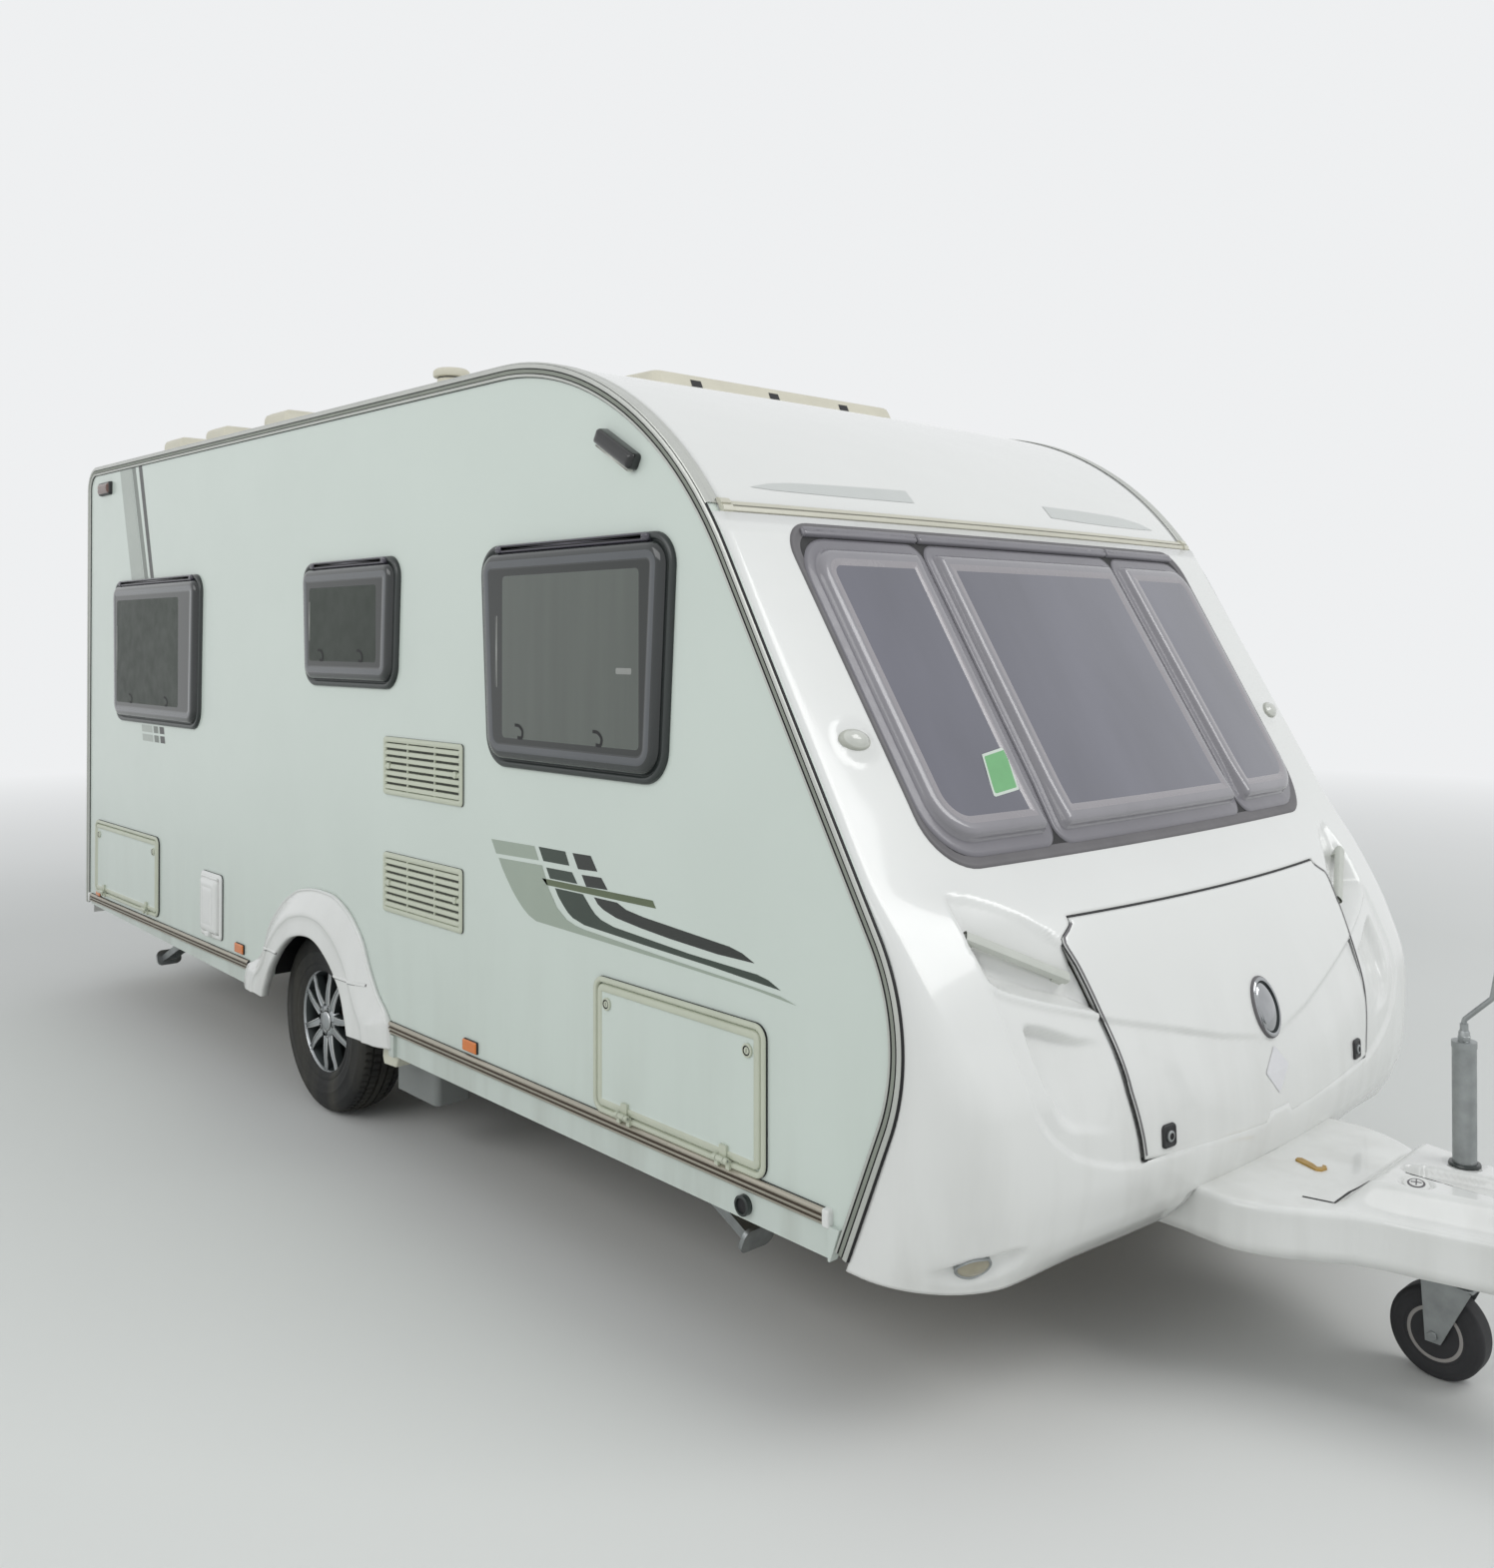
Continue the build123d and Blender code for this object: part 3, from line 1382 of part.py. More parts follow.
export_step(hatch_frames.part, "parts/hatch_frames.step")

for name, rear, front, foot, head in hatches:
    inset = hatch_frame_width + panel_gap
    door_width = front - rear - 2 * inset
    door_length = head - foot - 2 * inset
    middle = ((rear + front) / 2, (foot + head) / 2)
    with BuildPart() as hatch_door:
        with BuildSketch(side_plane(-half_width + door_thickness)):
            with Locations(middle):
                RectangleRounded(door_width, door_length, hatch_radius - inset)
        extrude(amount=door_thickness)
        with BuildSketch(side_plane(-half_width)):
            with Locations(middle):
                RectangleRounded(door_width, door_length, hatch_radius - inset)
                RectangleRounded(
                    door_width - 2 * hatch_rim, door_length - 2 * hatch_rim, hatch_radius - inset,
                    mode=Mode.SUBTRACT,
                )
            for end in (-1, 1):
                with Locations((middle[0] + end * (door_width / 2 - 30), head - inset - 30)):
                    RectangleRounded(hatch_lock_pad, hatch_lock_pad, hatch_radius / 2)
        extrude(amount=hatch_proud)
        for end in (-1, 1):
            with BuildSketch(side_plane(-half_width - hatch_proud)):
                with Locations((middle[0] + end * (door_width / 2 - 30), head - inset - 30)):
                    Circle(hatch_lock_radius)
            extrude(amount=3)
        for end in (-1, 1):
            knuckle_start = middle[0] + end * (front - rear) / 4 - knuckle_length / 2 + hatch_lug + 1
            with BuildSketch(front_plane(knuckle_start)):
                with Locations((-half_width - hatch_hinge_out, foot + hatch_hinge_up)):
                    Circle(hatch_knuckle_radius)
                    Rectangle(6, 26, align=(Align.CENTER, Align.MIN))
                with Locations((-half_width - hatch_hinge_out, foot + inset + 2)):
                    Rectangle(hatch_hinge_out, 10, align=(Align.MIN, Align.MIN))
            extrude(amount=knuckle_length - hatch_lug - 1)
            with BuildSketch(front_plane(knuckle_start)):
                with Locations((-half_width - hatch_hinge_out, foot + hatch_hinge_up)):
                    Circle(hinge_pin_radius + face_gap)
            extrude(amount=knuckle_length, mode=Mode.SUBTRACT)
    hatch_door.part.label = f"hatch_door_{name}"
    export_step(hatch_door.part, f"parts/hatch_door_{name}.step")

# Fridge vents: a frame with downward slats
with BuildPart() as fridge_vents:
    for foot, head in vents:
        middle = ((vent_rear + vent_front) / 2, (foot + head) / 2)
        with BuildSketch(side_plane(-half_width)):
            with Locations(middle):
                RectangleRounded(vent_front - vent_rear, head - foot, 14)
        extrude(amount=vent_proud)
        with BuildSketch(side_plane(-half_width - 3)):
            with Locations(middle):
                Rectangle(vent_front - vent_rear - 2 * vent_border, head - foot - 2 * vent_border)
        extrude(amount=vent_proud, mode=Mode.SUBTRACT)
        pitch = (head - foot - 2 * vent_border) / vent_slats
        for slat in range(vent_slats):
            top = foot + vent_border + (slat + 1) * pitch
            with BuildSketch(front_plane(vent_rear + vent_border)):
                with BuildLine():
                    Polyline(
                        (-half_width - 2, top), (-half_width - 5, top),
                        (-half_width - vent_proud - 3, top - pitch * 0.7),
                        (-half_width - vent_proud, top - pitch * 0.75), (-half_width - 2, top - 6), close=True,
                    )
                make_face()
            extrude(amount=vent_front - vent_rear - 2 * vent_border)
fridge_vents.part.label = "fridge_vents"
export_step(fridge_vents.part, "parts/fridge_vents.step")

# Inlet box and the flap of the socket beside it
with BuildPart() as inlet_box:
    with BuildSketch(side_plane(-half_width)):
        with Locations((inlet_station, inlet_height)):
            RectangleRounded(inlet_width, inlet_length, 14)
    extrude(amount=inlet_proud)
    fillet(edges().group_by(Axis.Y)[0], 10)
    with BuildSketch(side_plane(-half_width)):
        with Locations((flap_station, inlet_height)):
            RectangleRounded(flap_width, flap_length, 40)
    extrude(amount=flap_proud)
inlet_box.part.label = "inlet_box"
export_step(inlet_box.part, "parts/inlet_box.step")

# Lamps: clear front markers, side markers, high rear markers and the awning lamp
front_slope = Vector(nose_sections[-1][1] - seam_side_station, 0, nose_sections[-1][0] - seam_height)
front_normal = Vector(-front_slope.Z, 0, front_slope.X)

with BuildPart() as marker_lamps:
    for side in (-1, 1):
        lamp_plane = Plane(
            origin=(marker_station - centre_station, side * marker_y, rail_height + marker_height),
            x_dir=(0, 1, 0), z_dir=front_normal,
        )
        with BuildSketch(lamp_plane.offset(-4)):
            Ellipse(marker_half_width, marker_half_height)
        extrude(amount=marker_proud, taper=15)
        for right_station, left_station, height, width, length in side_markers:
            with BuildSketch(side_plane(side * half_width)):
                with Locations((right_station if side < 0 else left_station, height)):
                    RectangleRounded(width, length, 4)
            extrude(amount=-side * side_marker_proud)
        with BuildSketch(side_plane(side * half_width)):
            with Locations((high_marker_station, high_marker_height)):
                RectangleRounded(high_marker_width, high_marker_length, 20)
        extrude(amount=-side * high_marker_proud)
    with BuildSketch(side_plane(-half_width)):
        with Locations(Location((awning_lamp_station, awning_lamp_height, 0), (0, 0, awning_lamp_angle))):
            RectangleRounded(awning_lamp_width, awning_lamp_length, 14)
    extrude(amount=awning_lamp_proud, taper=12)
    loft(window_wall_loft(-face_gap), mode=Mode.SUBTRACT)
    for side in (-1, 1):
        corner_plane = Plane(
            origin=(corner_lamp_station - centre_station, side * corner_lamp_y, rail_height + corner_lamp_height),
            z_dir=(cos(radians(corner_lamp_turn)), side * sin(radians(corner_lamp_turn)), 0),
        )
        with BuildSketch(corner_plane):
            Circle(corner_lamp_radius)
        extrude(amount=corner_lamp_depth, taper=10)
    loft(nose_loft(-face_gap), mode=Mode.SUBTRACT)
marker_lamps.part.label = "marker_lamps"
export_step(marker_lamps.part, "parts/marker_lamps.step")

# Rear bumper moulding, lamp clusters and a blank number plate
with BuildPart() as rear_bumper:
    with BuildSketch(plan_plane(rear_bumper_foot)):
        with BuildLine():
            FilletPolyline(
                (rear_station - face_gap, -inner_half), (tail_station, 90 - inner_half),
                (tail_station, inner_half - 90), (rear_station - face_gap, inner_half),
                radius=[0, rear_bumper_radius, rear_bumper_radius, 0], close=True,
            )
        make_face()
    extrude(amount=rear_bumper_top - rear_bumper_foot)
    chamfer(edges().filter_by(lambda edge: edge.center().X < rear_station - centre_station - 5).group_by(Axis.Z)[-1], 12)
    with BuildSketch(front_plane(rear_station - face_gap)):
        with Locations((0, plate_height)):
            RectangleRounded(plate_width, plate_length, 10)
    extrude(amount=-plate_proud)
rear_bumper.part.label = "rear_bumper"
export_step(rear_bumper.part, "parts/rear_bumper.step")

with BuildPart() as rear_lamps:
    for side in (-1, 1):
        with BuildSketch(front_plane(rear_station)):
            with Locations((side * rear_lamp_y, rear_lamp_height)):
                RectangleRounded(rear_lamp_width, rear_lamp_length, 30)
        extrude(amount=-rear_lamp_proud)
    fillet(edges().group_by(Axis.X)[0], 12)
rear_lamps.part.label = "rear_lamps"
export_step(rear_lamps.part, "parts/rear_lamps.step")


def roof_plane(station, y):
    """Plane on the roof: local x runs forward along its fall, its normal points up"""
    height = roof_height - roof_fall * (station - rear_station)
    return Plane(
        origin=(station - centre_station, y, rail_height + height), x_dir=(1, 0, -roof_fall), z_dir=(roof_fall, 0, 1)
    )


# Roof fittings: the framed rooflight, three vents near the right edge and a flue
with BuildPart() as rooflight:
    light_plane = roof_plane((rooflight_rear + rooflight_front) / 2, 0)
    light_length = rooflight_front - rooflight_rear
    with BuildSketch(light_plane):
        Rectangle(light_length, 2 * rooflight_half)
    extrude(amount=rooflight_proud, taper=rooflight_slope)
    with BuildSketch(light_plane):
        Rectangle(light_length - 2 * rooflight_frame, 2 * (rooflight_half - rooflight_frame))
    extrude(amount=rooflight_proud - 12, mode=Mode.SUBTRACT)
    add(roof_front_cap.part, mode=Mode.SUBTRACT)
rooflight.part.label = "rooflight"
export_step(rooflight.part, "parts/rooflight.step")

with BuildPart() as roof_vents:
    for station, y in small_vents:
        with BuildSketch(roof_plane(station, y)):
            RectangleRounded(small_vent_size, small_vent_size, 30)
        extrude(amount=small_vent_proud, taper=14)
    with BuildSketch(roof_plane(flue_station, flue_y)):
        Circle(flue_radius * 0.75)
    extrude(amount=flue_proud)
    with BuildSketch(roof_plane(flue_station, flue_y).offset(flue_proud)):
        Circle(flue_radius)
    extrude(amount=flue_proud / 3, taper=30)
roof_vents.part.label = "roof_vents"
export_step(roof_vents.part, "parts/roof_vents.step")


def seam_station_at(row, height):
    """Station of the window wall at a height, from one column of its two end sections"""
    foot_height = nose_sections[-1][0]
    foot_station = nose_sections[-1][row]
    head_station = seam_side_station + (0 if row == 1 else cap_crown - 10)
    return foot_station + (head_station - foot_station) * (height - foot_height) / (seam_height - foot_height)


# Seam rail across the front where the roof cap meets the window wall
with BuildPart() as seam_rail:
    rail_foot = seam_height - seam_rail_width / 2
    side_station = seam_station_at(1, rail_foot)
    middle_station = seam_station_at(2, rail_foot)
    with BuildSketch(plan_plane(rail_foot)):
        with BuildLine():
            ThreePointArc(
                (side_station + face_gap, -half_width), (middle_station + face_gap, 0),
                (side_station + face_gap, half_width),
            )
            ThreePointArc(
                (side_station + seam_rail_proud, half_width), (middle_station + seam_rail_proud, 0),
                (side_station + seam_rail_proud, -half_width),
            )
            Line((side_station + face_gap, half_width), (side_station + seam_rail_proud, half_width))
            Line((side_station + face_gap, -half_width), (side_station + seam_rail_proud, -half_width))
        make_face()
    extrude(amount=seam_rail_width, dir=-front_slope.normalized())
seam_rail.part.label = "seam_rail"
export_step(seam_rail.part, "parts/seam_rail.step")

# Grab handles on the nose: a flat bar across each recess, with a foot at both ends
with BuildPart() as recessed_nose:
    loft(nose_loft(-face_gap))
    for side in (-1, 1):
        loft(recess_loft(side, -face_gap), mode=Mode.SUBTRACT)

with BuildPart() as grab_handles:
    for side in (-1, 1):
        start, end = [
            Vector(station - centre_station, side * y, rail_height + height) for station, y, height in handle_ends
        ]
        along = (end - start).normalized()
        across = along.cross(front_normal)
        with BuildSketch(Plane(origin=start, x_dir=across, z_dir=along)):
            RectangleRounded(handle_height, handle_depth, handle_corner)
        extrude(amount=(end - start).length)
        for middle in (start + along * handle_foot / 2, end - along * handle_foot / 2):
            with BuildSketch(Plane(origin=middle, x_dir=along, z_dir=-front_normal)):
                RectangleRounded(handle_foot, handle_height, handle_corner)
            extrude(amount=handle_reach)
    add(recessed_nose.part, mode=Mode.SUBTRACT)
grab_handles.part.label = "grab_handles"
export_step(grab_handles.part, "parts/grab_handles.step")

# Box below the floor
with BuildPart() as underbody_box:
    with BuildSketch(plan_plane(wall_foot)):
        with Locations((under_box_station, -under_box_y)):
            RectangleRounded(under_box_length, under_box_width, 20)
    extrude(amount=-under_box_height)
underbody_box.part.label = "underbody_box"
export_step(underbody_box.part, "parts/underbody_box.step")
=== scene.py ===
import json
from math import asin, atan2, cos, pi, radians, sin, sqrt
from functools import lru_cache

import bmesh
import bpy
from mathutils import Matrix, Vector


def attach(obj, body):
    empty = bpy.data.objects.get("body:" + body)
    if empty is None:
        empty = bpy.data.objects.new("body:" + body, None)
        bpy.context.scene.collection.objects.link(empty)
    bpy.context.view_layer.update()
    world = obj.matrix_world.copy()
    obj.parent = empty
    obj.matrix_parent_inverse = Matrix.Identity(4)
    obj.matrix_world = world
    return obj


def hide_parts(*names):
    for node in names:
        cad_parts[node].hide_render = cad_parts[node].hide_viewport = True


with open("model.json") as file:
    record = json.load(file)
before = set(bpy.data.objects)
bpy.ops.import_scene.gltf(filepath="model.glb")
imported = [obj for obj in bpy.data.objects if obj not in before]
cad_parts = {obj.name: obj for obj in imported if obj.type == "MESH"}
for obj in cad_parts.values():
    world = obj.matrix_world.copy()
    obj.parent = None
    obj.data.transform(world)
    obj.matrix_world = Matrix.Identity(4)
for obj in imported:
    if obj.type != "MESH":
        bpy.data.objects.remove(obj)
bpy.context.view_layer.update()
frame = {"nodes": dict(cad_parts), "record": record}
scene = bpy.context.scene

# Stations and heights are measured in metres from the rear end of the belly rail and its middle line
CENTRE_STATION = 3.24
RAIL_HEIGHT = 0.449
HALF_WIDTH = 1.1
SIDES = (("right", -1), ("left", 1))


def at(station, y, height):
    return Vector((station - CENTRE_STATION, y, height + RAIL_HEIGHT))


# Camera, at the photograph's place, with the frame taken as 1496 by 1570
IMAGE_LONG_SIDE = 1570
FOCAL_PIXELS = 1365.7
HORIZON_ROW = 628.4
CAMERA_YAW = 2.4014
CAMERA_PITCH = 0.0089
CAMERA_PLACE = (7.0604, -3.2289, 1.2489)
camera_data = bpy.data.cameras.new("camera")
camera_data.sensor_width = 36
camera_data.lens = FOCAL_PIXELS / IMAGE_LONG_SIDE * camera_data.sensor_width
camera_data.shift_y = (HORIZON_ROW - IMAGE_LONG_SIDE / 2) / IMAGE_LONG_SIDE
camera_data.clip_end = 300
camera = bpy.data.objects.new("camera", camera_data)
scene.collection.objects.link(camera)
forward = Vector(
    (cos(CAMERA_PITCH) * cos(CAMERA_YAW), cos(CAMERA_PITCH) * sin(CAMERA_YAW), sin(CAMERA_PITCH))
)
right = Vector((sin(CAMERA_YAW), -cos(CAMERA_YAW), 0))
up = right.cross(forward)
turn = Matrix((right, up, -forward)).transposed()
camera.matrix_world = Matrix.Translation(at(*CAMERA_PLACE)) @ turn.to_4x4()
scene.camera = camera
scene.view_settings.view_transform = "Standard"


# Materials
GRIME_COLOUR = (120, 116, 100)
GRIME_HEIGHTS = (0.36, 0.95)


def linear(colour):
    return tuple(((c / 255 + 0.055) / 1.055) ** 2.4 if c > 10 else c / 255 / 12.92 for c in colour) + (1.0,)


def noise(tree, coord, scale, detail=3.0, stretch=(1, 1, 1)):
    mapping = tree.nodes.new("ShaderNodeMapping")
    mapping.inputs["Scale"].default_value = stretch
    tree.links.new(coord, mapping.inputs["Vector"])
    texture = tree.nodes.new("ShaderNodeTexNoise")
    texture.inputs["Scale"].default_value = scale
    texture.inputs["Detail"].default_value = detail
    tree.links.new(mapping.outputs["Vector"], texture.inputs["Vector"])
    return texture.outputs["Fac"]


def spread(tree, value, low, high, start=0.3, end=0.7):
    ramp = tree.nodes.new("ShaderNodeMapRange")
    ramp.inputs["From Min"].default_value = start
    ramp.inputs["From Max"].default_value = end
    ramp.inputs["To Min"].default_value = low
    ramp.inputs["To Max"].default_value = high
    tree.links.new(value, ramp.inputs["Value"])
    return ramp.outputs["Result"]


def mixed(tree, factor, first, second):
    mix = tree.nodes.new("ShaderNodeMix")
    mix.data_type = "RGBA"
    tree.links.new(factor, mix.inputs["Factor"])
    for socket, value in ((mix.inputs["A"], first), (mix.inputs["B"], second)):
        if isinstance(value, tuple):
            socket.default_value = value
        else:
            tree.links.new(value, socket)
    return mix.outputs["Result"]


def material(
    name, colour, rough, metallic=0.0, coat=0.0, shade=0.94, cloud=2.5, grain=900.0, bump=0.02,
    rough_span=0.06, bump_depth=0.0004, grime=0.0, stretch=(1, 1, 1), specular=0.5,
):
    """A surface whose colour, roughness and relief vary at their own scales, with dirt low down"""
    made = bpy.data.materials.new(name)
    made.use_nodes = True
    tree = made.node_tree
    shader = tree.nodes["Principled BSDF"]
    coord = tree.nodes.new("ShaderNodeTexCoord").outputs["Object"]
    base = linear(colour)
    darker = tuple(c * shade for c in base[:3]) + (1.0,)
    clouds = spread(tree, noise(tree, coord, cloud, 4.0, stretch), 0.0, 1.0)
    result = mixed(tree, clouds, base, darker)
    if grime:
        place = tree.nodes.new("ShaderNodeSeparateXYZ")
        tree.links.new(coord, place.inputs["Vector"])
        low = spread(tree, place.outputs["Z"], grime, 0.0, *GRIME_HEIGHTS)
        streaks = spread(tree, noise(tree, coord, 1.0, 5.0, (9, 9, 1.2)), 0.0, 1.0, 0.42, 0.68)
        product = tree.nodes.new("ShaderNodeMath")
        product.operation = "MULTIPLY"
        tree.links.new(low, product.inputs[0])
        tree.links.new(streaks, product.inputs[1])
        result = mixed(tree, product.outputs["Value"], result, linear(GRIME_COLOUR))
    tree.links.new(result, shader.inputs["Base Color"])
    wear = noise(tree, coord, cloud * 6, 4.0, stretch)
    tree.links.new(
        spread(tree, wear, rough - rough_span / 2, rough + rough_span / 2), shader.inputs["Roughness"],
    )
    relief = tree.nodes.new("ShaderNodeBump")
    relief.inputs["Strength"].default_value = bump
    relief.inputs["Distance"].default_value = bump_depth
    tree.links.new(noise(tree, coord, grain, 2.0, stretch), relief.inputs["Height"])
    tree.links.new(relief.outputs["Normal"], shader.inputs["Normal"])
    values = {
        "Metallic": metallic, "Coat Weight": coat, "Coat Roughness": 0.06, "IOR": 1.5,
        "Specular IOR Level": specular,
    }
    for socket, value in values.items():
        shader.inputs[socket].default_value = value
    return made


# Looks by the slot that their pieces take unless a piece names another: colour, roughness, metal, coat,
# darkest share of the colour, scale of the clouds, scale and strength of the grain, and what else differs
LOOKS = {
    "wall_paint": {
        "wall_paint": ((209, 219, 211), 0.32, 0, 0.35, 0.97, 2.5, 260, 0.05, {"grime": 0.1}),
        "decal_grey": ((158, 170, 156), 0.34, 0, 0.2, 0.95, 6, 400, 0.05),
        "decal_stripe": ((172, 180, 172), 0.34, 0, 0.2, 0.95, 6, 400, 0.05),
        "decal_dark": ((112, 120, 112), 0.34, 0, 0.2, 0.93, 6, 400, 0.05),
        "decal_green": ((46, 60, 50), 0.32, 0, 0.2, 0.86, 6, 400, 0.05),
        "decal_black": ((34, 38, 34), 0.32, 0, 0.2, 0.86, 6, 400, 0.05),
        "decal_olive": ((92, 104, 74), 0.34, 0, 0.2, 0.9, 6, 400, 0.05),
    },
    "body_moulding": {
        "body_moulding": ((228, 229, 226), 0.24, 0, 0.6, 0.975, 2.5, 180, 0.04, {"grime": 0.14}),
        "chrome": ((176, 178, 180), 0.1, 1, 0.3, 0.86, 20, 400, 0.03, {"rough_span": 0.05}),
        "patch_pale": ((226, 226, 228), 0.55, 0, 0, 0.97, 30, 220, 0.25, {"rough_span": 0.2}),
        "decal_light": ((202, 205, 202), 0.34, 0, 0, 0.96, 6, 400, 0.04),
        "skirt_paint": ((203, 212, 205), 0.34, 0, 0.3, 0.97, 2.5, 260, 0.05, {"grime": 0.22}),
    },
    "cream_plastic": {
        "cream_plastic": ((214, 214, 196), 0.42, 0, 0, 0.94, 2.5, 700, 0.1, {"grime": 0.1}),
        "seam_ivory": ((204, 202, 186), 0.38, 0, 0.2, 0.93, 6, 500, 0.08),
        "handle_plastic": ((198, 201, 193), 0.55, 0, 0, 0.92, 20, 340, 0.35, {"rough_span": 0.12}),
        "vent_cream": ((198, 203, 184), 0.42, 0, 0.15, 0.94, 8, 600, 0.1, {"grime": 0.12}),
        "marker_base": ((188, 190, 180), 0.4, 0, 0, 0.9, 14, 400, 0.08),
        "roof_cream": ((214, 210, 192), 0.45, 0, 0, 0.93, 9, 400, 0.12),
    },
    "smoked_acrylic": {
        "smoked_acrylic": ((38, 46, 40), 0.08, 0, 0.5, 0.85, 2.5, 900, 0.01, {"rough_span": 0.05}),
        # Front pane rings: their purple-grey tones are a painted sky reflection on dark smoked acrylic; the
        # border is lighter also for its real frosting
        "pane_flange": ((122, 120, 126), 0.34, 0, 0.3, 0.9, 6, 400, 0.05, {"rough_span": 0.1}),
        "pane_edge": ((140, 138, 143), 0.22, 0, 0.6, 0.88, 5, 300, 0.04, {"rough_span": 0.08}),
        "pane_border": ((150, 146, 150), 0.26, 0, 0.4, 0.93, 5, 500, 0.05, {"rough_span": 0.1}),
        # Front glass: its purple-grey colour and streaky clouds are a painted reflection of an overcast sky
        # on dark smoked acrylic
        "front_glass": (
            (104, 104, 116), 0.08, 0, 0.8, 0.72, 1.3, 60, 0.02,
            {"rough_span": 0.06, "stretch": (1, 2.2, 0.7)},
        ),
        "rubber_dark": ((34, 42, 40), 0.36, 0, 0.3, 0.85, 9, 600, 0.1),
        "pane_smoked": ((30, 36, 36), 0.14, 0, 0.6, 0.8, 4, 300, 0.03, {"rough_span": 0.08}),
        "glass_dark": ((24, 30, 27), 0.08, 0, 0.25, 0.7, 2.2, 60, 0.02, {"rough_span": 0.05}),
        "glass_blind": ((26, 32, 29), 0.08, 0, 0.25, 0.7, 2, 60, 0.02, {"rough_span": 0.05}),
        "tag_green": ((112, 176, 118), 0.4, 0, 0, 0.93, 30, 400, 0.05),
        "tag_edge": ((206, 216, 206), 0.4, 0, 0, 0.93, 30, 400, 0.05),
        "bar_purple": ((70, 66, 78), 0.24, 0, 0.4, 0.88, 5, 400, 0.05),
        "mesh_screen": ((50, 58, 50), 0.42, 0, 0, 0.8, 3, 700, 0.3, {"rough_span": 0.1, "specular": 0.3}),
        "net_curtain": (
            (90, 96, 90), 0.34, 0, 0.15, 0.88, 1.6, 420, 0.14, {"rough_span": 0.06, "stretch": (14, 14, 0.9)},
        ),
        # Side window pane band: a lighter ring on the pillow pane, a painted reflection
        "pane_band": ((74, 78, 82), 0.16, 0, 0.6, 0.84, 4, 300, 0.03, {"rough_span": 0.08}),
        "stay_pale": ((150, 152, 148), 0.4, 0, 0, 0.9, 12, 400, 0.08),
    },
    "trim_aluminium": {
        "trim_aluminium": ((190, 190, 180), 0.32, 0.9, 0, 0.85, 2.5, 500, 0.08),
        "trim_band": ((196, 198, 192), 0.34, 0.55, 0.2, 0.9, 8, 400, 0.06),
        "trim_insert": ((140, 145, 134), 0.55, 0, 0, 0.85, 10, 500, 0.12),
        "rail_band": ((188, 182, 168), 0.3, 0.6, 0, 0.8, 9, 300, 0.08, {"stretch": (0.3, 3, 3)}),
        "rail_dark": ((92, 82, 70), 0.5, 0.3, 0, 0.75, 12, 300, 0.15, {"stretch": (0.3, 3, 3)}),
        "brass": ((196, 160, 92), 0.34, 0.85, 0, 0.8, 40, 300, 0.12),
    },
    "galvanised": {"galvanised": ((164, 168, 168), 0.46, 0.85, 0, 0.78, 26, 120, 0.12)},
    "board": {"board": ((120, 106, 86), 0.75, 0, 0, 0.85, 2.5, 300, 0.25, {"stretch": (1, 6, 6)})},
    "black_plastic": {
        "black_plastic": ((34, 35, 36), 0.48, 0, 0, 0.8, 2.5, 900, 0.12),
        # Black seals; on the rooflight's duct faces it is painted shade for their dark holes
        "seal_black": ((22, 22, 24), 0.6, 0, 0, 0.8, 9, 700, 0.15),
        # Behind the fridge vents' slats: painted shade
        "vent_dark": ((62, 64, 56), 0.7, 0, 0, 0.8, 12, 500, 0.2),
        "dark_lens": ((96, 62, 50), 0.2, 0, 0.5, 0.75, 20, 120, 0.3),
        "gloss_black": ((24, 26, 26), 0.16, 0, 0.5, 0.8, 8, 500, 0.05),
        "plate_blank": ((214, 214, 208), 0.4, 0, 0, 0.94, 8, 300, 0.06),
    },
    "grey_plastic": {
        "grey_plastic": ((156, 152, 148), 0.5, 0, 0, 0.9, 2.5, 800, 0.1),
        # Grey rubber; on the seam rail's edges and grooves it is a painted shadow
        "rubber_grey": ((110, 108, 110), 0.55, 0, 0, 0.8, 8, 700, 0.12),
        "box_plastic": ((128, 132, 130), 0.35, 0, 0.3, 0.85, 5, 300, 0.08),
    },
    "tyre_rubber": {"tyre_rubber": ((27, 28, 28), 0.72, 0, 0, 0.75, 14, 500, 0.25, {"grime": 0.2})},
    "wheel_alloy": {
        "wheel_alloy": ((172, 176, 178), 0.3, 0.8, 0.3, 0.85, 12, 900, 0.06),
        "alloy_bright": ((206, 208, 208), 0.22, 0.9, 0.4, 0.9, 16, 300, 0.05),
        "alloy_dark": ((56, 62, 62), 0.5, 0.5, 0, 0.75, 16, 300, 0.12),
    },
    "drum_iron": {"drum_iron": ((92, 74, 62), 0.7, 0.5, 0, 0.7, 30, 200, 0.3)},
    "coupling_black": {"coupling_black": ((40, 41, 43), 0.5, 0.3, 0, 0.75, 24, 160, 0.25)},
    "wheel_rubber": {"wheel_rubber": ((46, 46, 48), 0.68, 0, 0, 0.8, 18, 400, 0.2)},
    "lamp_lens": {
        "lamp_lens": ((196, 132, 60), 0.16, 0, 0.5, 0.85, 40, 90, 0.3),
        "amber_lens": ((226, 122, 30), 0.18, 0, 0.6, 0.86, 30, 120, 0.35, {"rough_span": 0.05}),
        "amber_clear": ((158, 152, 130), 0.16, 0, 0.6, 0.85, 30, 160, 0.35),
        "clear_lens": ((206, 208, 200), 0.12, 0, 0.7, 0.84, 26, 110, 0.35, {"rough_span": 0.05}),
    },
    "red_lens": {
        "red_lens": ((150, 26, 22), 0.15, 0, 0.5, 0.8, 40, 90, 0.3),
        "red_glow": ((172, 26, 22), 0.15, 0, 0.6, 0.8, 30, 110, 0.35),
    },
}
MATERIALS = {}
for slot, looks in LOOKS.items():
    for name, (*values, last) in looks.items():
        others = last if isinstance(last, dict) else {"bump": last}
        MATERIALS[name] = material(name, *values, **others)
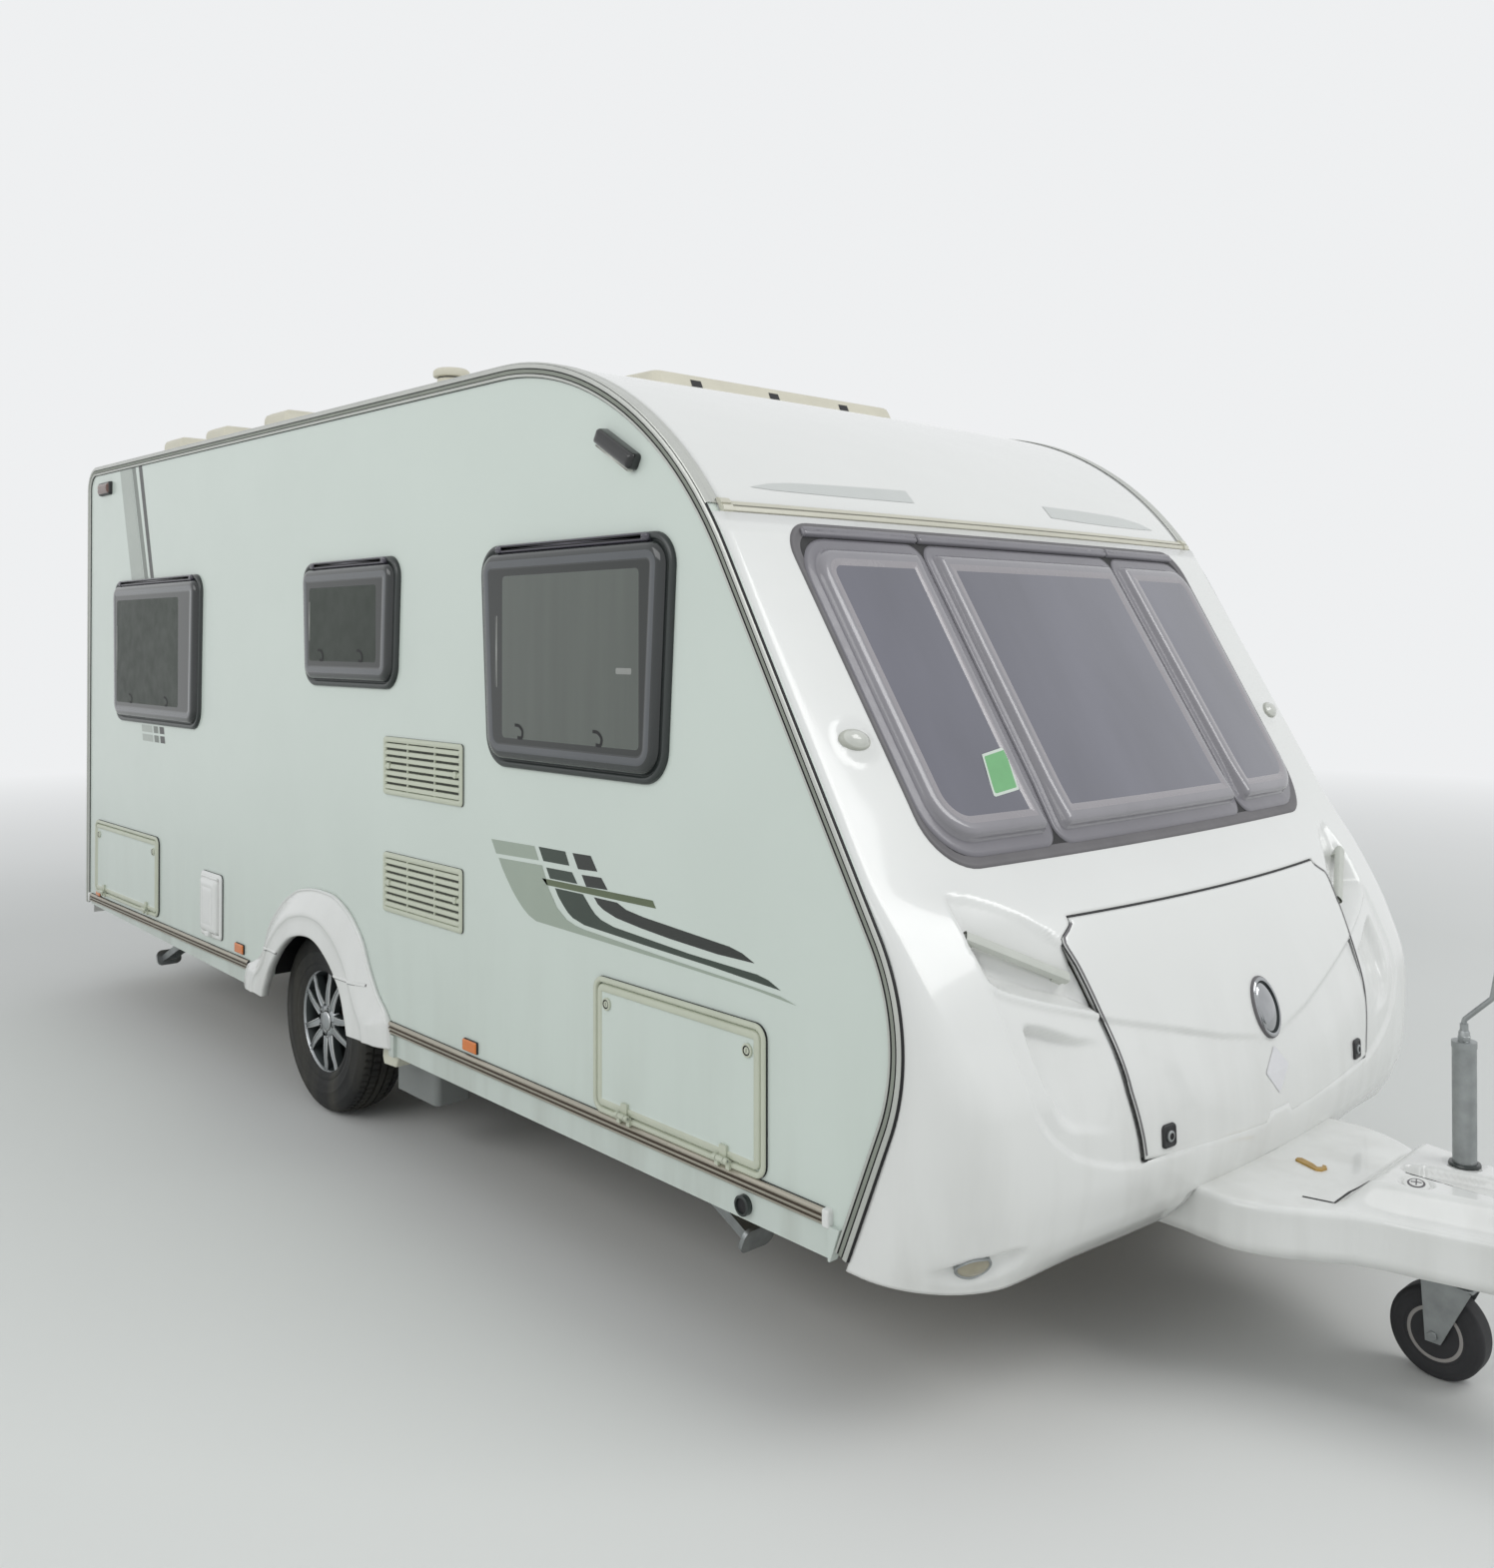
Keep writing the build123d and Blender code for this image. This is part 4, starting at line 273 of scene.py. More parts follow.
NODE_LOOKS = {"side_skirts": "skirt_paint", "underbody_box": "box_plastic"}
node_slots = {entry["node"]: entry["material_slot"] for entry in frame["record"]["subparts"]}
for name, thing in frame["nodes"].items():
    thing.data.materials.clear()
    thing.data.materials.append(MATERIALS[NODE_LOOKS.get(name, node_slots[name])])


# Floor, backdrop and light
def mesh_object(name, points, faces, made=None):
    mesh = bpy.data.meshes.new(name)
    mesh.from_pydata([tuple(p) for p in points], [], faces)
    mesh.update()
    thing = bpy.data.objects.new(name, mesh)
    scene.collection.objects.link(thing)
    if made:
        mesh.materials.append(made)
    return thing


floor = mesh_object("floor", [(-70, -70, 0), (70, -70, 0), (70, 70, 0), (-70, 70, 0)], [(0, 1, 2, 3)])
floor_material = material(
    "floor", (226, 227, 224), 0.85, shade=0.98, cloud=0.4, grain=60, bump=0.03, bump_depth=0.002,
)
floor_tree = floor_material.node_tree
far = floor_tree.nodes.new("ShaderNodeVectorMath")
far.operation = "LENGTH"
floor_tree.links.new(floor_tree.nodes["Texture Coordinate"].outputs["Object"], far.inputs[0])
haze = floor_tree.nodes.new("ShaderNodeEmission")
haze.inputs["Color"].default_value = (0.86, 0.87, 0.88, 1)
fade = floor_tree.nodes.new("ShaderNodeMixShader")
floor_tree.links.new(spread(floor_tree, far.outputs["Value"], 0.0, 1.0, 5.0, 15.0), fade.inputs["Fac"])
floor_tree.links.new(floor_tree.nodes["Principled BSDF"].outputs["BSDF"], fade.inputs[1])
floor_tree.links.new(haze.outputs["Emission"], fade.inputs[2])
floor_tree.links.new(fade.outputs["Shader"], floor_tree.nodes["Material Output"].inputs["Surface"])
floor.data.materials.append(floor_material)

world = bpy.data.worlds.new("studio")
scene.world = world
world.use_nodes = True
sky = world.node_tree
sky.nodes.clear()
output = sky.nodes.new("ShaderNodeOutputWorld")
switch = sky.nodes.new("ShaderNodeMixShader")
path = sky.nodes.new("ShaderNodeLightPath")
light_sky = sky.nodes.new("ShaderNodeBackground")
seen_sky = sky.nodes.new("ShaderNodeBackground")
light_sky.inputs["Color"].default_value = (0.94, 0.97, 1.0, 1)
light_sky.inputs["Strength"].default_value = 0.6
seen_sky.inputs["Color"].default_value = (0.86, 0.87, 0.88, 1)
seen = [path.outputs[kind] for kind in ("Is Camera Ray", "Is Glossy Ray", "Is Transmission Ray")]
for other in seen[1:]:
    either = sky.nodes.new("ShaderNodeMath")
    either.operation = "MAXIMUM"
    sky.links.new(seen[0], either.inputs[0])
    sky.links.new(other, either.inputs[1])
    seen[0] = either.outputs["Value"]
sky.links.new(seen[0], switch.inputs["Fac"])
sky.links.new(light_sky.outputs["Background"], switch.inputs[1])
sky.links.new(seen_sky.outputs["Background"], switch.inputs[2])
sky.links.new(switch.outputs["Shader"], output.inputs["Surface"])


def area_light(name, place, target, size, power):
    data = bpy.data.lights.new(name, "AREA")
    data.shape = "RECTANGLE"
    data.size, data.size_y = size
    data.energy = power
    lamp = bpy.data.objects.new(name, data)
    scene.collection.objects.link(lamp)
    lamp.location = place
    lamp.rotation_euler = (Vector(target) - Vector(place)).to_track_quat("-Z", "Y").to_euler()
    return lamp


area_light("key", (9.0, 3.0, 9.0), (1.0, 0.0, 1.0), (7, 5), 430)
area_light("side", (0.0, -10.0, 6.5), (0.0, 0.0, 1.2), (10, 5), 290)

# Front moulding: its plan sections give a smooth surface, and each recess or bulge a depth on it
def smoothed(table, column, height):
    """Value of a column at a height, on a curve through the table without overshoot"""
    if height <= table[0][0]:
        return table[0][column]
    if height >= table[-1][0]:
        return table[-1][column]
    spans = [b[0] - a[0] for a, b in zip(table, table[1:])]
    rises = [(b[column] - a[column]) / span for a, b, span in zip(table, table[1:], spans)]
    slopes = [rises[0]]
    for before, after in zip(rises, rises[1:]):
        slopes.append(0.0 if before * after <= 0 else 2 * before * after / (before + after))
    slopes.append(rises[-1])
    for k, span in enumerate(spans):
        if height <= table[k + 1][0]:
            t = (height - table[k][0]) / span
            a, b = table[k][column], table[k + 1][column]
            ends = a * (1 + 2 * t) * (1 - t) ** 2 + b * t * t * (3 - 2 * t)
            bend = slopes[k] * t * (1 - t) ** 2 - slopes[k + 1] * t * t * (1 - t)
            return ends + span * bend


# Height, station at the sides, station on the centreline, corner radius
NOSE = [
    (-0.1, 5.29, 5.388, 0.25), (-0.05, 5.316, 5.422, 0.235), (0.0, 5.332, 5.448, 0.22),
    (0.09, 5.345, 5.465, 0.2), (0.18, 5.349, 5.461, 0.175), (0.27, 5.346, 5.447, 0.15),
    (0.43, 5.285, 5.395, 0.09), (0.62, 5.175, 5.3, 0.045), (0.745, 5.09, 5.151, 0.03),
    (0.9, 5.0, 5.057, 0.03), (1.2, 4.826, 4.874, 0.029), (1.558, 4.6178, 4.6558, 0.028),
]


@lru_cache(maxsize=None)
def nose_row(height):
    side, centre, radius = (smoothed(NOSE, k, height) for k in (1, 2, 3))
    crown = centre - side
    big = (HALF_WIDTH ** 2 + crown ** 2) / (2 * crown)
    corner = centre - big + sqrt((big - radius) ** 2 - (HALF_WIDTH - radius) ** 2)
    turn_y = big * (HALF_WIDTH - radius) / (big - radius)
    return centre, radius, big, corner, turn_y


def nose_station(y, height):
    """Station of the moulding's front face, without its recesses"""
    centre, radius, big, corner, turn_y = nose_row(height)
    y = min(abs(y), HALF_WIDTH)
    if y <= turn_y:
        return centre - big + sqrt(big * big - y * y)
    return corner + sqrt(max(radius ** 2 - (y - HALF_WIDTH + radius) ** 2, 0.0))


def nose_normal(y, height):
    step = 0.002
    y = max(min(y, HALF_WIDTH - 0.004), 0.004 - HALF_WIDTH)
    across = (nose_station(y + step, height) - nose_station(y - step, height)) / (2 * step)
    along = (nose_station(y, height + step) - nose_station(y, height - step)) / (2 * step)
    return Vector((1, -across, -along)).normalized()


def ease(t):
    t = max(0.0, min(1.0, t))
    return t * t * (3 - 2 * t)


def along_table(table, value):
    """Second column at a value of the first, on straight runs"""
    if value <= table[0][0]:
        return table[0][1]
    for (a, first), (b, second) in zip(table, table[1:]):
        if value <= b:
            return first + (second - first) * (value - a) / (b - a)
    return table[-1][1]


def side_distance(line, y, height):
    """Distance to a line of points, positive on its left as it is followed"""
    best = 1e9
    sign = 1.0
    for (ay, az), (by, bz) in zip(line, line[1:]):
        run_y, run_z = by - ay, bz - az
        length = run_y * run_y + run_z * run_z
        t = max(0.0, min(1.0, ((y - ay) * run_y + (height - az) * run_z) / length))
        gap = sqrt((y - ay - t * run_y) ** 2 + (height - az - t * run_z) ** 2)
        if gap < best - 1e-9:
            best = gap
            sign = 1.0 if run_y * (height - az) - run_z * (y - ay) >= 0 else -1.0
    return best * sign


# Lines on the moulding as (distance from the middle, height)
LID_EDGE = [
    (0.08, 0.56), (0.103, 0.563), (0.156, 0.572), (0.26, 0.599), (0.354, 0.614), (0.428, 0.628),
    (0.527, 0.645), (0.568, 0.657), (0.582, 0.655), (0.604, 0.612), (0.612, 0.606), (0.64, 0.606),
]
RECESS_TOP = [
    (0.56, 0.52), (0.669, 0.579), (0.702, 0.607), (0.736, 0.635), (0.787, 0.662), (0.837, 0.68),
    (0.904, 0.692),
]
RECESS_SIDE = [(0.904, 0.72), (0.914, 0.652), (0.915, 0.601), (0.908, 0.545), (0.9, 0.5)]
RECESS_FOOT = [(0.93, 0.548), (0.885, 0.507), (0.858, 0.494), (0.766, 0.464), (0.631, 0.427), (0.54, 0.405)]
PANEL_LINE = [
    (0.905, 0.62), (0.911, 0.523), (0.911, 0.417), (0.906, 0.34), (0.891, 0.267), (0.87, 0.23),
    (0.842, 0.198), (0.792, 0.159), (0.737, 0.133), (0.66, 0.108), (0.575, 0.092), (0.48, 0.078),
]
FLUTE_TOP = [(0.56, 0.368), (0.707, 0.392), (0.791, 0.425), (0.852, 0.442), (0.9, 0.452)]
FLUTE_SIDE = [
    (0.856, 0.47), (0.857, 0.368), (0.847, 0.315), (0.821, 0.248), (0.804, 0.224), (0.782, 0.208),
    (0.7, 0.186), (0.6, 0.168),
]


TUCK_HEIGHT = -0.042


def nose_depth(y, height):
    """How far the moulding lies inside its plain surface"""
    depth = 0.0
    if 0.54 < y < 0.93 and 0.06 < height < 0.56:
        inside = -side_distance(PANEL_LINE, y, height)
        below = side_distance(RECESS_FOOT, y, height)
        depth += 0.0075 * ease(inside / 0.014) * ease((below - 0.002) / 0.012)
    if 0.54 < y < 0.93 and 0.39 < height < 0.7:
        top = -side_distance(RECESS_TOP, y, height)
        side = -side_distance(RECESS_SIDE, y, height)
        foot = -side_distance(RECESS_FOOT, y, height)
        if top > 0 and side > 0 and foot > 0:
            by_lid = 0.018 + 0.9 * max(y - lid_half(height), 0.0)
            depth += min(0.005 * ease(top / 0.005) + 0.42 * top, 1.1 * side, 1.15 * foot, 0.052, by_lid)
    if 0.54 < y < 0.87 and 0.15 < height < 0.45:
        top = -side_distance(FLUTE_TOP, y, height)
        side = -side_distance(FLUTE_SIDE, y, height)
        if top > 0 and side > 0:
            reach = ease((y - 0.62) / 0.17)
            depth += 0.03 * ease(top / 0.016) * ease(side / 0.026) * reach * ease((height - 0.13) / 0.22)
    socket = sqrt(((y - 0.982) / 0.092) ** 2 + ((height + 0.034 + 0.22 * (y - 0.982)) / 0.034) ** 2)
    if socket < 1.0:
        depth += 0.018 * ease((1.0 - socket) / 0.5)
    if height < TUCK_HEIGHT:
        depth += 0.24 * (TUCK_HEIGHT - height) * ease((0.96 - y) / 0.3)
    lamp = sqrt((y - 0.962) ** 2 + 1.9 * (height - 1.018) ** 2)
    return depth - 0.01 * ease((0.066 - lamp) / 0.04) * (1 if 0.9 < height < 1.12 else 0)


def on_nose(y, height, lift=0.0):
    """Point at a lift off the moulding's plain surface, on the caravan's right for a negative y"""
    return at(*(Vector((nose_station(y, height), y, height)) + nose_normal(y, height) * lift))


def outline_station(height):
    """Station where the side wall ends at a height: slant, rounded corner and lean back below it"""
    top, corner, lean, radius = (4.336, 2.028), (5.26, 0.43), radians(22.3), 0.47
    slant = (corner[0] - top[0]) / (top[1] - corner[1])
    half_turn = (atan2(slant, 1.0) + lean) / 2
    reach = radius * sin(half_turn) / cos(half_turn)
    first = corner[1] + reach * cos(atan2(slant, 1.0))
    last = corner[1] - reach * cos(lean)
    if height >= first:
        return top[0] + (top[1] - height) * slant
    if height <= last:
        return corner[0] - (corner[1] - height) * sin(lean) / cos(lean)
    middle_height = last + radius * sin(lean)
    middle_station = outline_station(last - 1e-9) - radius * cos(lean)
    return middle_station + sqrt(radius ** 2 - (height - middle_height) ** 2)


def spaced(first, last, step):
    count = max(1, round(abs(last - first) / step))
    return [first + (last - first) * k / count for k in range(count + 1)]


def lid_half(height):
    return along_table(LID_EDGE, height)


LID_FOOT = [
    (0.0, 0.094), (0.046, 0.094), (0.062, 0.071), (0.188, 0.076), (0.36, 0.085), (0.45, 0.091),
    (0.563, 0.103),
]
LID_GAP = 0.0055

# Every piece is finished here: looks by name, its body, its slot and its sharp edges
def finish_mesh(name, mesh, looks, body="caravan", sharp=0, smooth=True, thickness=0.0):
    bmesh.ops.recalc_face_normals(mesh, faces=mesh.faces)
    if not smooth:
        bmesh.ops.triangulate(mesh, faces=[face for face in mesh.faces if len(face.verts) > 4])
    if sharp:
        mesh.normal_update()
        for edge in mesh.edges:
            if len(edge.link_faces) == 2 and edge.calc_face_angle(0.0) > radians(sharp):
                edge.smooth = False
    for face in mesh.faces:
        face.smooth = smooth
    data = bpy.data.meshes.new(name)
    mesh.to_mesh(data)
    mesh.free()
    thing = bpy.data.objects.new(name, data)
    scene.collection.objects.link(thing)
    for look in looks.split():
        data.materials.append(MATERIALS[look])
    if thickness:
        shell = thing.modifiers.new("thickness", "SOLIDIFY")
        shell.thickness = thickness
        shell.offset = -1
    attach(thing, body)
    return thing


def grid_object(name, rows, thickness, keep=None, body="caravan"):
    """A moulded shell from rows of points, with the cells that keep() allows"""
    mesh = bmesh.new()
    verts = {}
    for i in range(len(rows) - 1):
        for j in range(len(rows[0]) - 1):
            if keep and not keep(i, j):
                continue
            cell = ((i, j), (i, j + 1), (i + 1, j + 1), (i + 1, j))
            for r, c in cell:
                if (r, c) not in verts:
                    verts[r, c] = mesh.verts.new(rows[r][c])
            mesh.faces.new([verts[corner] for corner in cell])
    return finish_mesh(name, mesh, "body_moulding", body, thickness=thickness)


def metres(rows):
    """Rows of two sizes in millimetres and a material number, which is 0 where it is left out"""
    return [(row[0] / 1000, row[1] / 1000, row[2] if len(row) > 2 else 0) for row in rows]


def rect(x0, x1, y0, y1):
    return [(x0, y0), (x1, y0), (x1, y1), (x0, y1)]


def bridge(mesh, ring, after, number=0, closed=True):
    """Faces between two rows of points; a row of one point is a tip"""
    count = max(len(ring), len(after))
    for k in range(count if closed else count - 1):
        follow = (k + 1) % count
        first = [ring[0]] if len(ring) == 1 else [ring[k], ring[follow]]
        second = [after[0]] if len(after) == 1 else [after[follow], after[k]]
        mesh.faces.new(first + second).material_index = number


# Rings: a rounded outline drawn in step by step, each ring lifted off its surface
def outline_ring(corners, radii, inset, arc_steps=7, edge_steps=6):
    """Points of a rounded polygon drawn in by an inset, the same number for every inset"""
    count = len(corners)
    sides = []
    for k in range(count):
        a, b = Vector(corners[k]), Vector(corners[(k + 1) % count])
        run = (b - a).normalized()
        sides.append((a + Vector((-run.y, run.x)) * inset, run))
    shrunk = []
    for k in range(count):
        (p, u), (q, v) = sides[k - 1], sides[k]
        cross = u.x * v.y - u.y * v.x
        t = ((q - p).x * v.y - (q - p).y * v.x) / cross
        shrunk.append(p + u * t)
    ring = []
    for k in range(count):
        u, v = sides[k - 1][1], sides[k][1]
        turn = u.angle(v)
        radius = max(radii[k] - inset, 0.004)
        reach = radius * sin(turn / 2) / cos(turn / 2)
        start = shrunk[k] - u * reach
        centre = start + Vector((-u.y, u.x)) * radius
        for s in range(arc_steps + 1):
            swing = Matrix.Rotation(turn * s / arc_steps, 2)
            ring.append(centre + swing @ (start - centre))
        following = (k + 1) % count
        next_turn = v.angle(sides[following][1])
        next_radius = max(radii[following] - inset, 0.004)
        end = shrunk[following] - v * next_radius * sin(next_turn / 2) / cos(next_turn / 2)
        last = ring[-1]
        for s in range(1, edge_steps):
            ring.append(last + (end - last) * s / edge_steps)
    return ring


def ring_shell(
    name, corners, radii, profile, place, looks, fill=True, arc=7, edge=6, body="caravan",
):
    """A shell over a surface. Profile rows are inset, lift and the look's number for the band after them"""
    if not isinstance(radii, list):
        radii = [radii] * len(corners)
    mesh = bmesh.new()
    rings = []
    for inset, lift, number in metres(profile):
        flat = outline_ring(corners, radii, inset, arc, edge)
        rings.append([mesh.verts.new(place(p.x, p.y, lift)) for p in flat])
        if len(rings) > 1:
            bridge(mesh, rings[-2], rings[-1], before)
        before = number
    if fill:
        middle = Vector((sum(c[0] for c in corners), sum(c[1] for c in corners))) / len(corners)
        previous = rings[-1]
        for share in (0.75, 0.5, 0.25):
            ring = [mesh.verts.new(place(*(middle + (p - middle) * share), lift)) for p in flat]
            bridge(mesh, previous, ring, number)
            previous = ring
        bridge(mesh, previous, [mesh.verts.new(place(*middle, lift))], number)
    return finish_mesh(name, mesh, looks, body)


UP = Vector((0, 0, 1))


def sweep(name, path, sides, lifts, section, looks, body="caravan", caps=True):
    """A section carried along a path. Section rows are side, lift and the look's number for the strip
    after them; the side and lift directions are one each or one for every point"""
    mesh = bmesh.new()
    section = metres(section)
    sides, lifts = ([d] * len(path) if isinstance(d, Vector) else d for d in (sides, lifts))
    rows = [
        [mesh.verts.new(p + a * s + b * l) for s, l, number in section]
        for p, a, b in zip(path, sides, lifts)
    ]
    for first, second in zip(rows, rows[1:]):
        for k in range(len(section) - 1):
            mesh.faces.new((first[k], first[k + 1], second[k + 1], second[k])).material_index = section[k][2]
    if caps:
        mesh.faces.new(rows[0]).material_index = section[0][2]
        mesh.faces.new(rows[-1][::-1]).material_index = section[0][2]
    return finish_mesh(name, mesh, looks, body, sharp=38)


def wall_sweep(name, stations, height, sign, section, looks, y=HALF_WIDTH):
    path = [at(x, sign * y, height) for x in stations]
    return sweep(name, path, UP, Vector((0, sign, 0)), section, looks)


def turned(name, profile, centre, axis, looks, steps=48, body="caravan", sharp=40):
    """A piece turned about an axis. Profile rows are radius, distance along the axis and the look's number"""
    axis = Vector(axis).normalized()
    first = axis.orthogonal().normalized()
    second = axis.cross(first)
    turns = [2 * pi * k / steps for k in range(steps)]
    mesh = bmesh.new()
    rings = []
    for radius, along, number in metres(profile):
        middle = centre + axis * along
        places = [
            middle + first * radius * cos(t) + second * radius * sin(t)
            for t in turns
        ] if radius else [middle]
        rings.append([mesh.verts.new(p) for p in places])
        if len(rings) > 1:
            bridge(mesh, rings[-2], rings[-1], before)
        before = number
    return finish_mesh(name, mesh, looks, body, sharp=sharp)


def slab(name, outline, place, low, high, looks, body="caravan", bevel=0.0):
    """A flat piece with any outline, from one lift to another above its surface"""
    mesh = bmesh.new()
    top = [mesh.verts.new(place(x, y, high)) for x, y in outline]
    mesh.faces.new(top)
    if low < high:
        foot = [mesh.verts.new(place(x, y, low)) for x, y in outline]
        for k in range(len(outline)):
            follow = (k + 1) % len(outline)
            mesh.faces.new((top[k], foot[k], foot[follow], top[follow]))
    thing = finish_mesh(name, mesh, looks, body, smooth=False)
    if bevel:
        edge = thing.modifiers.new("edge", "BEVEL")
        edge.width = bevel
        edge.segments = 2
        edge.angle_limit = radians(40)
    return thing


def ribbon(name, points, width, place, lift, looks, body="caravan", steps=1):
    """A thin strip along points on a surface"""
    line = [
        Vector(a) + (Vector(b) - Vector(a)) * k / steps
        for a, b in zip(points, points[1:]) for k in range(steps)
    ]
    line.append(Vector(points[-1]))
    mesh = bmesh.new()
    rows = []
    for k, point in enumerate(line):
        run = (line[min(k + 1, len(line) - 1)] - line[max(k - 1, 0)]).normalized()
        side = Vector((-run.y, run.x)) * width / 2
        rows.append([mesh.verts.new(place(*(point + side * s), lift)) for s in (-1, 1)])
    for first, second in zip(rows, rows[1:]):
        bridge(mesh, first, second, closed=False)
    return finish_mesh(name, mesh, looks, body)


def oval(name, centre, rows, place, looks, body="caravan", tilt=0.0, steps=40):
    """Rings over a surface, closed on top. Rows are half width, half height, lift and look's number"""
    turn = Matrix.Rotation(tilt, 2)
    mesh = bmesh.new()
    rings = []
    for wide, high, lift, number in rows:
        ring = []
        for k in range(steps):
            point = Vector((wide * cos(2 * pi * k / steps), high * sin(2 * pi * k / steps))) / 1000
            ring.append(mesh.verts.new(place(*(Vector(centre) + turn @ point), lift / 1000)))
        rings.append(ring)
        if len(rings) > 1:
            bridge(mesh, rings[-2], rings[-1], before)
        before = number
    mesh.faces.new(rings[-1]).material_index = number
    return finish_mesh(name, mesh, looks, body, sharp=40)


# Skin of the front moulding, in rows from its foot up to the seam below the roof's front cap
COVER_HALF = 0.352
COVER_TOP, LID_FOOT_LEVEL, LID_HEAD = -0.009, 0.103, 0.624
SKIN_FOOT = -0.1
# Heights between which the rows of the skin lie closer or wider, each with the step above it
SKIN_STEPS = [
    (SKIN_FOOT, 0.0075), (COVER_TOP, 0.007), (LID_FOOT_LEVEL, 0.0062), (LID_HEAD, 0.0068), (0.705, 0.024),
    (0.93, 0.0125), (1.105, 0.05), (1.556, 0),
]
SKIN_HEIGHTS = [SKIN_FOOT]
for (low, step), (high, after) in zip(SKIN_STEPS, SKIN_STEPS[1:]):
    SKIN_HEIGHTS += spaced(low, high, step)[1:]


def lid_warp(y, height):
    """Height of a row where it passes below the lid, whose foot is not level"""
    if height >= LID_FOOT_LEVEL:
        return height
    foot = along_table(LID_FOOT, abs(y))
    return SKIN_FOOT + (height - SKIN_FOOT) * (foot - SKIN_FOOT) / (LID_FOOT_LEVEL - SKIN_FOOT)


FLAT_COLUMNS, CORNER_COLUMNS, FACE_COLUMNS, LID_SIDE_COLUMNS, MIDDLE_COLUMNS = 6, 26, 52, 8, 12
LID_COLUMN = FLAT_COLUMNS + CORNER_COLUMNS + FACE_COLUMNS
COVER_COLUMN = LID_COLUMN + LID_SIDE_COLUMNS


def half_row(height, side):
    """Points on one side of a row: from the wall's edge round the corner to the middle"""
    centre, radius, big, corner, turn_y = nose_row(height)
    edge = min(outline_station(height), corner - 0.002)
    flat_turn = asin((turn_y - HALF_WIDTH + radius) / radius)
    turns = [pi / 2 + (flat_turn - pi / 2) * k / CORNER_COLUMNS for k in range(1, CORNER_COLUMNS + 1)]
    half = lid_half(height)
    places = [HALF_WIDTH - radius + radius * sin(turn) for turn in turns]
    places += [turn_y + (half - turn_y) * k / FACE_COLUMNS for k in range(1, FACE_COLUMNS + 1)]
    places += [half + (COVER_HALF - half) * k / LID_SIDE_COLUMNS for k in range(1, LID_SIDE_COLUMNS + 1)]
    places += [COVER_HALF * (1 - k / MIDDLE_COLUMNS) for k in range(1, MIDDLE_COLUMNS + 1)]
    points = [
        at(station, side * HALF_WIDTH, height)
        for station in spaced(edge, corner, (corner - edge) / FLAT_COLUMNS)
    ]
    for y in places:
        level = lid_warp(y, height) if y < half + 1e-6 else height
        points.append(on_nose(side * y, level, -nose_depth(y, level)))
    return points


skin_rows = [half_row(height, -1) + half_row(height, 1)[-2::-1] for height in SKIN_HEIGHTS]


def in_skin(i, j):
    middle = (SKIN_HEIGHTS[i] + SKIN_HEIGHTS[i + 1]) / 2
    column = min(j, len(skin_rows[0]) - 2 - j)
    if LID_FOOT_LEVEL < middle < LID_HEAD and column >= LID_COLUMN:
        return False
    return not (middle < COVER_TOP and column >= COVER_COLUMN)


grid_object("front_moulding", skin_rows, 0.026, in_skin)

# Locker lid on the same surface, with a crease that falls from its sides to the middle
CREASE = [(0.0, 0.272), (0.213, 0.313), (0.399, 0.361), (0.603, 0.411), (0.66, 0.425)]
LID_ROWS, LID_HALF_COLUMNS = 84, 60


def lid_sunk(y, height):
    """How far the lid below its crease lies behind the plain surface"""
    fold = along_table(CREASE, abs(y))
    edge = ease((fold - height + 0.002) / 0.008)
    return 0.0085 * edge * (0.35 + 0.65 * ease(abs(y) / 0.3)) * ease((height - fold + 0.17) / 0.16)


def on_lid(y, height, lift):
    return on_nose(y, height, lift - lid_sunk(y, height))


def lid_point(y, height):
    edge = min(lid_half(height) - abs(y), LID_HEAD - height, height - along_table(LID_FOOT, abs(y)))
    return on_lid(y, height, -0.003 * (1 - ease(edge / 0.012)))


lid_rows = []
lid_top = LID_HEAD - LID_GAP
lid_low = LID_FOOT_LEVEL + LID_GAP
for row in range(LID_ROWS + 1):
    level = lid_low + (lid_top - lid_low) * row / LID_ROWS
    line = []
    for k in range(-LID_HALF_COLUMNS, LID_HALF_COLUMNS + 1):
        y = (lid_half(level) - LID_GAP) * k / LID_HALF_COLUMNS
        foot = along_table(LID_FOOT, abs(y)) + LID_GAP
        line.append(lid_point(y, lid_top - (lid_top - level) * (lid_top - foot) / (lid_top - lid_low)))
    lid_rows.append(line)
grid_object("gas_locker_lid", lid_rows, 0.02, body="lid")

# Dark seal in the gap round the lid, and the grey lip on its sides
gap_heights = spaced(0.105, LID_HEAD - 0.004, 0.012)
head_gap = [(y, LID_HEAD - LID_GAP / 2) for y in spaced(-0.6, 0.6, 0.02)]
foot_gap = [(y, along_table(LID_FOOT, abs(y)) + LID_GAP / 2) for y in spaced(-0.562, 0.562, 0.015)]
ribbon("lid_seal_head", head_gap, 0.0075, on_nose, -0.003, "seal_black")
ribbon("lid_seal_foot", foot_gap, 0.0065, on_nose, -0.003, "seal_black")
for hand, sign in SIDES:
    gap_side = [(sign * (lid_half(h) - LID_GAP / 2), h) for h in gap_heights]
    ribbon(f"lid_seal_{hand}", gap_side, 0.0075, on_nose, -0.003, "seal_black")
    lip = [(sign * (lid_half(h) - LID_GAP - 0.0035), h) for h in gap_heights[1:-1]]
    ribbon(f"lid_lip_{hand}", lip, 0.0055, on_nose, 0.0012, "rubber_grey", "lid")

# Front windows: three pillow-shaped panes in one rubber surround, each with a frosted border
def on_pane(y, height, lift):
    """Lift of the panes, which stand further out towards their foot"""
    return on_nose(y, height, lift * (1.0 + 0.45 * ease((0.9 - height) / 0.12)) if lift > 0.008 else lift)


PANE_HEAD, PANE_FOOT = 1.5, 0.752
